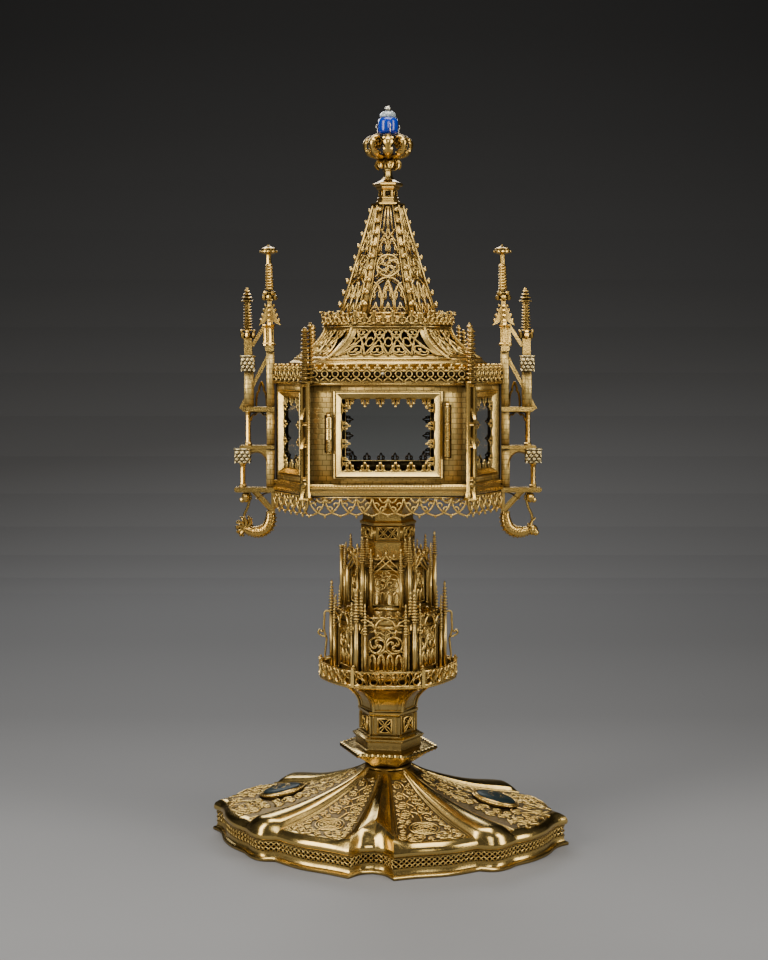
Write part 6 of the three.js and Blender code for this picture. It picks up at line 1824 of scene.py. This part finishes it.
# The heart among the leaves is near-black: painted shade.
piece("capital_heart", heart, shade_black)
drop = smooth_run([(3.6, 554.9), (7.0, 555.0), (9.4, 552.6), (9.6, 549.6), (8.6, 548.0)], 4)
drop_leaf = strip_leaf(drop, np.clip(3.0 * np.sin(np.pi * (0.2 + 0.75 * np.linspace(0, 1, len(drop)))), 0.4,
    4), 0.3, 0.6)
collar_leaves = joined([around(drop_leaf, 8, 10), lathe([(3.6, 547.8), (4.2, 548.6), (4.0, 552.0),
    (6.2, 554.2), (6.2, 555.0)], 12)])
piece("collar_leaves", collar_leaves, gilt, ("leaf_collar",), smooth=45)
tendril_path = smooth_run([(7.0, 575.6), (8.6, 577.4), (8.9, 580.4), (9.8, 582.0), (9.2, 583.6)], 4)
tendril = sweep(side_path(tendril_path), round_bar(0.4), (0, 1, 0))
piece("bead_tendrils", around(joined([tendril, ball(0.7, (9.2, 0, 583.6), 6, 4)]), 4, 12), silver)


# %% Bead, cap and knob
bead = lathe([(5.4, 576.5), (7.4, 577.3), (8.1, 579.0), (8.2, 582.0), (8.1, 586.0), (7.7, 588.4),
    (6.4, 589.3)], 28)
piece("blue_bead_glass", bead, blue_glass, ("blue_bead",), smooth=60)
cap = lathe([(6.0, 589.8), (6.6, 590.2), (6.5, 591.8), (5.6, 593.6), (3.8, 594.8), (2.4, 595.2)], 24)
piece("cap_glass", cap, grey_glass, ("bead_cap",), smooth=60)
knob_top = lathe([(1.4, 595.5), (2.2, 596.1), (2.6, 597.1), (2.4, 598.2), (1.5, 599.1), (0.5, 599.5)], 14)
piece("top_knob", knob_top, silver, ("silver_knob",), smooth=60)

# %% [markdown]
# ## Corner buttresses
#
# Each front and back corner has a pair of slim shafts tied by ring mouldings and sloping brackets. Two ringed
# spirelets stand on top, a stout one in front and a slim one behind.

# %% Corner buttresses
def ringed_spire(bottom, top, low, high, rings, core=0.55, tip=1.0, sides=10):
    """A spirelet of stacked discs between two heights, with a radius that goes from low to high."""
    step = (top - tip - bottom) / rings
    profile = [(low * core, bottom)]
    for i in range(rings):
        radius = low + (high - low) * i / max(rings - 1, 1)
        z = bottom + step * i
        profile += [(radius * core, z + step * 0.08), (radius, z + step * 0.34), (radius * 0.96,
            z + step * 0.56), (radius * core * 0.96, z + step * 0.86)]
    profile += [(high * core, top - tip), (high * 0.5, top - tip * 0.5), (0.2, top)]
    return lathe(profile, sides)


def standing(shape, x, y):
    """A turned piece moved to its axis."""
    return at(shape, move(x, y, 0))


corner_parts = []
for y in (-2.5, 2.5):
    corner_parts.append(standing(lathe([(2.625, 286), (2.625, 289), (1.75, 291), (1.75, 374),
        (2.625, 375.6)], 8), 0.6, y))
corner_parts += [
    box((-4.4, -1.1, 286), (-0.6, 1.1, 374)),
    box((-4.0, -3.6, 284), (2.0, 3.6, 286.4)),
]
for z, reach in ((343.4, 4.3), (326.4, 3.9), (300.4, 3.7), (373.6, 4.4)):
    corner_parts.append(lathe([(reach * 0.72, z - 1.6), (reach, z - 0.9), (reach * 0.82, z),
        (reach, z + 0.9), (reach * 0.72, z + 1.6)], 8))
for z in (352.6, 329.8, 291.0):
    corner_parts.append(at(slab([[1.6, -3.4], [4.0, -5.4], [3.2, -2.2], [-1.4, 3.6], [-2.6, 3.4]], -1.1,
        1.1), matrix((1.4, 0, z), (1, 0, 0), (0, 0, 1), (0, -1, 0))))
corner_parts += [
    standing(ball(2.5, (0, 0, 296.2), 8, 5), 1.8, 0),
    standing(ringed_spire(374.6, 418.6, 4.7, 3.2, 13, 0.5, 1.4), 0.6, 0),
    standing(ringed_spire(374.6, 422.4, 3.0, 2.3, 14, 0.5, 1.2), -4.6, 1.8),
]
for k, z in enumerate((379, 386, 393)):
    corner_parts.append(standing(around(ball(1.2, (3.9 - 0.4 * k, 0, z), 6, 4), 4, 45), 0.9, 0))
corner_shape = joined(corner_parts)
CORNER_OUT = 6.5
for k, angle in enumerate((60, 120, 240, 300)):
    c, s = math.cos(math.radians(angle)), math.sin(math.radians(angle))
    spot = (math.copysign(TOWER_FRONT, c) + CORNER_OUT * c, math.copysign(TOWER_DEPTH, s) + CORNER_OUT * s, 0)
    piece(f"corner_shafts_{k + 1}", at(corner_shape, move(*spot), turn(angle)), gilt,
        (f"corner_buttress_{k + 1}",), smooth=30)


# %% [markdown]
# ## Flying buttresses
#
# The tall buttresses at the two side corners are drawn in side view: outward distance and height. Flat pieces
# get a thickness, and turned pieces stand on the same axis.

# %% Flying buttresses
SIDE_VIEW = matrix((0, 0, 0), (1, 0, 0), (0, 0, 1), (0, -1, 0))
LEAN, LEAN_FROM = 0.02, 375.4
# Inner edge of the piers, and the axes of the hood, of the spirelets above it and of the outer spirelet.
PIER_X, HOOD_X, SPIRELET_X, OUTER_X = 92.6, 95.4, 95.3, 113.6


def upright(outline, half):
    """A flat piece in side view, given an equal thickness to the front and to the back."""
    return at(slab(outline, -half, half), SIDE_VIEW)


def oblong(x0, x1, z0, z1, half):
    """An oblong in side view."""
    return upright(oblong_line(x0, z0, x1, z1), half)


def strut(a, b, width, half):
    """A straight bar between two points in side view."""
    a, b = np.array(a, float), np.array(b, float)
    across = np.array([-(b - a)[1], (b - a)[0]]) / np.linalg.norm(b - a) * width / 2
    return upright([a - across, b - across, b + across, a + across], half)


def side_bars(curves, width, depth):
    """Tracery seen from both sides: the same bars on the front and on the back of the middle plane."""
    points, quads, tris = at(bars(curves, width, depth), SIDE_VIEW)
    return joined([(points, quads, tris), (points * [1, -1, 1], quads[:, ::-1], tris[:, ::-1])])


def shaft(x, z0, z1, radius, sides=8):
    """A round shaft with a base and a capital."""
    profile = [(radius * 1.5, z0), (radius * 1.5, z0 + 1.6), (radius * 1.15, z0 + 2.4), (radius * 1.15,
        z0 + 3.2), (radius, z0 + 3.8), (radius, z1 - 3.4), (radius * 1.25, z1 - 2.8), (radius * 1.1,
        z1 - 2.2), (radius * 1.6, z1 - 0.9), (radius * 1.6, z1)]
    return standing(lathe(profile, sides), x, 0)


def slab_moulding(x0, x1, z, thick, half):
    """A shelf with a rounded edge all round."""
    outline = [[x0, z], [x1 - 0.6, z], [x1, z + thick * 0.4], [x1, z + thick * 0.7], [x1 - 0.8, z + thick],
        [x0, z + thick]]
    return joined([upright(outline, half), oblong(x0, x1 - 1.2, z - 0.7, z, half - 0.8)])


# %% Piers, shelves, shafts and arches
brick_piers = joined([
    oblong(PIER_X, 99.4, 288.8, 320.2, 3.0), oblong(PIER_X, 99.0, 323.2, 351.4, 2.9), oblong(PIER_X, 98.8,
        354.6, 399.8, 2.8), oblong(109.6, 117.2, 354.6, 384.2, 2.9),
])
frame_parts = [slab_moulding(PIER_X, 125.6, 285.2, 3.4, 4.2), slab_moulding(PIER_X, 121.0, 320.2, 2.8, 3.8),
    slab_moulding(PIER_X, 119.6, 351.3, 3.2, 3.8), slab_moulding(PIER_X, 99.6, 399.8, 4.4, 3.6)]
frame_parts += [shaft(118.8, 288.6, 308.8, 2.0), shaft(114.3, 323.0, 351.2, 2.0)]
frame_parts += [shaft(94.6, 404.4, 421.8, 2.2), shaft(99.0, 404.4, 421.8, 2.0)]
frame_parts += [oblong(PIER_X, 101.0, 404.2, 422.0, 1.6), oblong(110.4, 116.8, 396.4, 410.6, 2.9)]
arch_low = [bend((98.2, 305), (98.6, 314), (103, 317.6), (107, 317.6), 9), bend((116, 309), (115.6, 315),
    (111.5, 317.6), (107, 317.6), 7)]
frame_parts.append(side_bars(arch_low, 1.7, 3.4))
arch_line = [(98.2, 307), (99.6, 312.4), (102.6, 316.0), (107, 317.4), (111.6, 316.4), (114.4, 312.4),
    (115.0, 308.4)]
frame_parts += [upright([a, b, (b[0], 320.3), (a[0], 320.3)], 2.5) for a, b in zip(arch_line, arch_line[1:])]
arch_high = mirrored([bend((-7, -8), (-6.4, -2.4), (-3.2, -1.6), (-3.4, -3.4), 6), bend((-3.4, -3.6),
    (-2.4, -1.2), (-0.8, -1.0), (0, -0.8), 5), line((-7, -0.6), (7, -0.6))])
frame_parts.append(at(side_bars(arch_high, 1.7, 3.0), move(105.2, 0, 351.0)))
small_arch = mirrored([bend((-4.4, 0), (-4.4, 9), (-3.4, 12), (-1.8, 12.4), 7), bend((-1.8, 12.4),
    (-2.6, 15), (-1.0, 17), (0, 20), 6)])
frame_parts.append(at(side_bars(small_arch, 1.8, 2.4), move(103.4, 0, 355.0)))
frame_parts += [strut((95.8, 399.0), (120.4, 352.6), 3.0, 1.7), strut((99.6, 421.0), (110.4, 404.0), 2.8,
    1.5)]
frame_parts.append(strut((99.0, 394.0), (116.0, 362.0), 1.0, 2.2))

# %% Hood, spirelets and knob
hood_edge = [(86.4, 421.2), (89.0, 425.0), (91.2, 432.0), (95.4, 442.0)]
hood_arch = [(86.8, 421.1), (91.2, 423.0), (94.0, 426.0), (95.4, 427.6)]
hood_half = [[hood_arch[i], hood_arch[i + 1], hood_edge[i + 1], hood_edge[i]] for i in range(3)]
hood_parts = [upright(q, 1.2) for q in hood_half] + [upright([(2 * HOOD_X - x, z) for x, z in q[::-1]],
    1.2) for q in hood_half]
hood = joined(hood_parts)
frame_parts += [
    joined([hood, at(hood, move(HOOD_X, 0, 0), turn(90), move(-HOOD_X, 0, 0))]),
    standing(lathe([(3.4, 421.8), (3.0, 430), (2.2, 441)], 4, 45), HOOD_X, 0),
]
for k in range(4):
    ridge = move(HOOD_X, 0, 0) @ turn(90 * k)
    for share in (0.1, 0.36, 0.62, 0.86):
        frame_parts.append(at(ball(1.5 - 0.3 * share, (7.6 - 5.0 * share, 0, 423.4 + 16.0 * share), 6, 4,
            1.2), ridge))
    frame_parts += [
        at(ball(2.5, (4.2, 0, 443.6), 7, 5), ridge),
        at(ball(2.0, (4.6, 0, 447.2), 7, 5), ridge @ turn(45)),
    ]
frame_parts += [
    standing(ringed_spire(440.6, 450.2, 3.2, 2.8, 3), SPIRELET_X, 0),
    standing(ringed_spire(449.8, 471.0, 3.9, 3.3, 9, 0.82, 0.6), SPIRELET_X, 0),
    standing(lathe([(2.9, 470.0), (2.2, 471.0), (2.0, 478.4), (2.8, 479.4)], 8), SPIRELET_X, 0),
]
knob = [(1.8, 478.6), (4.6, 479.2), (6.8, 480.4), (6.9, 481.6), (5.2, 482.0), (6.4, 482.6), (6.0, 483.8),
    (3.2, 484.6), (1.6, 485.4), (0.3, 486.7)]
frame_parts += [
    standing(lathe(knob, 12), SPIRELET_X, 0),
    at(around(ball(1.1, (6.5, 0, 481.0), 6, 4), 8), move(SPIRELET_X, 0, 0)),
    standing(ringed_spire(416.0, 440.0, 4.3, 3.5, 10, 0.62, 0.5), OUTER_X, 0),
    standing(ringed_spire(439.6, 452.0, 5.7, 2.4, 4, 0.5, 1.4), OUTER_X, 0),
]
for k in range(4):
    frame_parts += [
        at(ball(2.3, (4.0, 0, 412.8), 7, 5, 1.3), move(OUTER_X, 0, 0), turn(90 * k)),
        at(ball(1.6, (5.0, 0, 416.2), 6, 4), move(OUTER_X, 0, 0), turn(90 * k)),
    ]
frame_parts += [
    upright([[92.6, 267.6], [95.4, 267.0], [95.6, 285.2], [92.6, 285.2]], 1.9),
    upright([[95.4, 267.0], [112.2, 285.2], [106.0, 285.2], [95.6, 274.0]], 1.9),
    side_bars([bend((111.0, 285), (106, 279), (99, 273.4), (96.4, 267.4), 8), bend((96, 284.6), (101, 284),
        (105, 281), (108, 279), 6)], 1.2, 2.6),
]

# %% Leafy knots and scale blocks
# The little masks under the shelf are plain leafy knots: a bulge, a brow and a ring of buds.
knot = [ball(3.6, (0, 0, 0), 10, 7, 1.25), ball(2.3, (3.0, 0, -2.4), 8, 6), ball(1.2, (1.6, 1.9, 1.2), 6,
    4), ball(1.2, (1.6, -1.9, 1.2), 6, 4)]
for k in range(7):
    a = math.radians(30 + 34 * k)
    knot.append(ball(1.25, (-0.8 + 3.4 * math.cos(a), 0, 3.6 * math.sin(a)), 6, 4))
frame_parts.append(at(joined(knot), move(116.4, 0, 280.4)))


def scale_block(x0, x1, z0, z1, half):
    """A block clad in small overlapping scales, in rows that are offset by half a scale."""
    made = [oblong(x0, x1, z0, z1, half), oblong(x0 - 0.6, x1 + 0.6, z1 - 1.0, z1, half + 0.6)]
    rows, columns = 4, 3
    pitch_x, pitch_z = (x1 - x0) / columns, (z1 - z0 - 1) / rows
    for row in range(rows):
        for c in range(columns + row % 2):
            x = x0 + (c + (0 if row % 2 else 0.5)) * pitch_x
            z = z1 - 1.6 - row * pitch_z
            outline = [[x - pitch_x * 0.48, z], [x - pitch_x * 0.34, z - pitch_z * 0.8],
                [x, z - pitch_z * 1.25], [x + pitch_x * 0.34, z - pitch_z * 0.8], [x + pitch_x * 0.48, z]]
            outline = np.clip(outline, [x0, z0], [x1, z1])
            points, quads, tris = upright(outline, half + 0.15)
            points[:, 1] += np.sign(points[:, 1]) * 0.9 * (z - points[:, 2]) / pitch_z
            made.append(part(points, quads, tris))
    return joined(made)


blocks = joined([scale_block(112.4, 125.2, 308.8, 320.4, 4.6), scale_block(108.6, 119.6, 383.6, 396.4, 4.4)])

# %% Dragons
def dragon(end):
    """A scaly body that hangs in a curve below the buttress. It ends in a fan of leaves or a round head."""
    path = smooth_run([(96.4, 269.0), (96.2, 263.0), (98.4, 256.4), (103.4, 252.6), (109.6, 252.0),
        (115.0, 253.4), (118.4, 255.2)], 8)
    spots = side_path(path)
    share = np.linspace(0, 1, len(path))
    girth = (0.75 + 0.5 * np.sin(np.pi * np.clip(share + 0.08, 0, 1))) * (1 + 0.13 * (1 - np.mod(share * 15,
        1)))
    made = [sweep(spots, round_bar(3.7, 12), (0, 1, 0), grow=girth)]
    for i in range(4, len(path) - 4, 3):
        tangent = path[i + 1] - path[i - 1]
        normal = np.array([tangent[1], -tangent[0]]) / np.linalg.norm(tangent)
        outer = path[i] - normal * 3.7 * girth[i] * (-1 if normal @ (path[i] - [107, 262]) > 0 else 1)
        made.append(ball(0.8, (outer[0], 0, outer[1]), 6, 4))
        for y in (-3.2, 3.2):
            made.append(ball(1.0, (path[i][0], y * girth[i], path[i][1]), 6, 4))
    thread = smooth_run([(113.4, 278.0), (115.0, 272.0), (117.6, 266.4), (118.2, 261.6)], 4)
    made.append(sweep(side_path(thread), round_bar(1.1), (0, 1, 0)))
    centre = np.array([117.0, 254.2])
    if end == "leaf":
        for angle, long in ((165, 6.0), (112, 10.0), (78, 9.6), (44, 8.4), (10, 7.0), (-26, 6.4), (-62, 6.0)):
            for y, side in ((-1.2, -1), (1.2, 1)):
                a = math.radians(angle + 8 * side)
                tip = centre + long * np.array([math.cos(a), math.sin(a)])
                middle = centre + long * 0.6 * np.array([math.cos(a + 0.25), math.sin(a + 0.25)])
                run = smooth_run([centre, middle, tip], 3)
                blade = sweep(np.column_stack([run[:, 0], np.linspace(0, y * 2.2, len(run)), run[:, 1]]),
                    round_bar(1.7), (0, 1, 0), grow=np.sin(np.pi * np.linspace(0.25, 0.9, len(run))))
                made += [
                    blade,
                    ball(1.25, (tip[0], y * 2.2, tip[1]), 6, 4),
                ]
    else:
        made += [ball(4.5, (118.4, 0, 253.6), 12, 8), ball(2.7, (121.0, -1.6, 251.6), 10, 6),
            ball(0.9, (120.4, -3.4, 255.6), 6, 4), ball(0.9, (120.4, 3.4, 255.6), 6, 4)]
        for y in (-2.4, 2.4):
            ear = smooth_run([(116.6, 256.8), (118.2, 261.0), (120.8, 263.6)], 4)
            made.append(sweep(np.column_stack([ear[:, 0], np.full(len(ear), y), ear[:, 1]]), round_bar(1.2),
                (0, 1, 0), grow=np.linspace(1.1, 0.25, len(ear))))
        for k in range(8):
            a = math.radians(45 * k)
            made.append(ball(1.2, (115.2, 3.7 * math.cos(a), 254.4 + 3.7 * math.sin(a)), 6, 4))
    return joined(made)


# %% Both sides put together
def leaned(shape):
    """The shape drawn inward by a share of its height above the walls."""
    points = shape[0].copy()
    points[:, 0] -= LEAN * np.clip(points[:, 2] - LEAN_FROM, 0, None)
    return part(points, shape[1], shape[2])


frame_shape = joined(frame_parts)
pier_uv = np.column_stack([brick_piers[0][:, 0] + brick_piers[0][:, 1], brick_piers[0][:, 2]])
for side, angle, end in (("right", 0, "head"), ("left", 180, "leaf")):
    piece(f"buttress_frame_{side}", leaned(at(frame_shape, turn(angle))), gilt,
        (f"flying_buttress_{side}",), smooth=30)
    piece(f"buttress_piers_{side}", leaned(at(brick_piers, turn(angle))), brick_gilt, uv=pier_uv)
    piece(f"buttress_scales_{side}", leaned(at(blocks, turn(angle))), pale_gilt)
    piece(f"dragon_{side}_body", at(dragon(end), turn(angle)), gilt, (f"dragon_{side}",), smooth=40)


# %% [markdown]
# ## Solids that keep their own shape
#
# Some solids are already right. They only take a better finish.

# %% Finishes for the kept solids
KEPT = {
    "window_glass": clear_glass,
    # The near-black painted shade material also serves as the dark enamel of the kept solids.
    "enamel": shade_black,
    "blue_glass": blue_glass,
    "grey_glass": grey_glass,
    "silver": silver,
    "dark_gilt": dark_gilt,
    "gilt": gilt,
}
slots = {row["node"]: row["material_slot"] for row in frame["record"]["subparts"]}
for name, solid_object in frame["nodes"].items():
    for k in range(len(solid_object.data.materials)):
        solid_object.data.materials[k] = KEPT[slots[name]]
print("solids with a finish:", len(slots))

# %% [markdown]
# ## Floor and studio light
#
# The part stands on a pale floor, and the backdrop darkens by painted light falloff. Large soft lights give
# the metal long, calm highlights, and the dark room between them gives the gilding its depth.

# %% Floor and backdrop
TONE_RUN = [0.0, 2.5, 2.78, 3.0, 3.17, 3.39, 3.83, 4.25, 4.70, 4.96, 5.21, 5.44, 5.67, 5.86, 8.0]
PAINTED_FALLOFF_TONE = [0.20, 0.205, 0.215, 0.185, 0.14, 0.10, 0.094, 0.125, 0.11, 0.082, 0.048, 0.037, 0.023, 0.0155,
    0.010]
FLOOR_FRONT, BEND_START, BEND_RADIUS, WALL_TOP_Z, STAGE_HALF = -3.0, 1.2, 0.9, 3.2, 4.0
turn_up = np.linspace(0, np.pi / 2, 13)
stage_line = [(FLOOR_FRONT, 0.0), (-0.6, 0.0)] + [(y, 0.0) for y in np.linspace(-0.2, BEND_START, 15)]
stage_line += [(BEND_START + BEND_RADIUS * math.sin(a), BEND_RADIUS * (1 - math.cos(a))) for a in turn_up[1:]]
stage_line += [(BEND_START + BEND_RADIUS, z) for z in np.linspace(BEND_RADIUS, WALL_TOP_Z, 12)[1:]]
stage_line = np.array(stage_line)
stage_points = np.vstack([np.column_stack([np.full(len(stage_line), side * STAGE_HALF),
    stage_line]) for side in (-1, 1)])
rows = len(stage_line)
stage_faces = [(r, r + rows, r + rows + 1, r + 1) for r in range(rows - 1)]
floor_mesh = bpy.data.meshes.new("floor")
floor_mesh.from_pydata(stage_points.tolist(), [], stage_faces)
floor_object = bpy.data.objects.new("floor", floor_mesh)
bpy.context.collection.objects.link(floor_object)
# Painted light falloff: the tone falls from pale in front, dips just behind the part, and fades to dark high
# on the backdrop, by the distance along the sweep.
run = measured(stage_line)[1]
tone = np.interp(run, TONE_RUN, PAINTED_FALLOFF_TONE)
shade = floor_mesh.attributes.new("tone", "FLOAT", "POINT")
shade.data.foreach_set("value", np.concatenate([tone, tone]).astype(np.float32))
pale, shader = plain("pale_floor", (0.3, 0.3, 0.3, 1), 0.8)
tone_node = node(pale.node_tree, "ShaderNodeAttribute", attribute_name="tone")
pale.node_tree.links.new(tone_node.outputs["Fac"], shader.inputs["Base Color"])
floor_mesh.materials.append(pale)
print("stage faces:", len(stage_faces))

# %% Studio light
world = bpy.data.worlds.new("studio")
world.use_nodes = True
world.node_tree.nodes["Background"].inputs["Color"].default_value = (0.10, 0.10, 0.105, 1)
world.node_tree.nodes["Background"].inputs["Strength"].default_value = 0.4
bpy.context.scene.world = world


def soft_light(name, place, target, size, power, colour=(1, 1, 1)):
    """A rectangular area light that faces its target."""
    lamp = bpy.data.lights.new(name, "AREA")
    lamp.shape = "RECTANGLE"
    lamp.size, lamp.size_y = size
    lamp.energy = power
    lamp.color = colour
    made = bpy.data.objects.new(name, lamp)
    place, target = np.array(place, float), np.array(target, float)
    made.location = place
    made.rotation_euler = Vector(target - place).to_track_quat("-Z", "Y").to_euler()
    bpy.context.collection.objects.link(made)


soft_light("overhead", (0.0, -0.25, 1.7), (0, 0, 0.3), (1.3, 0.9), 26, (1.0, 0.97, 0.93))
soft_light("left_window", (-1.15, -0.75, 0.75), (0, 0, 0.32), (0.5, 1.1), 17, (1.0, 0.96, 0.9))
soft_light("right_window", (1.25, -0.55, 0.7), (0, 0, 0.32), (0.4, 1.1), 11, (1.0, 0.96, 0.9))
soft_light("front_fill", (0.25, -2.1, 0.9), (0, 0, 0.3), (0.9, 0.9), 12, (1.0, 0.98, 0.95))
soft_light("back_rim", (-0.3, 1.3, 1.1), (0, 0, 0.35), (1.2, 0.5), 12, (0.95, 0.97, 1.0))

# %% [markdown]
# ## Finish
#
# The total number of triangles made is printed.

# %% Triangle count
bpy.context.view_layer.update()
print("triangles made:", sum(tally.values()))
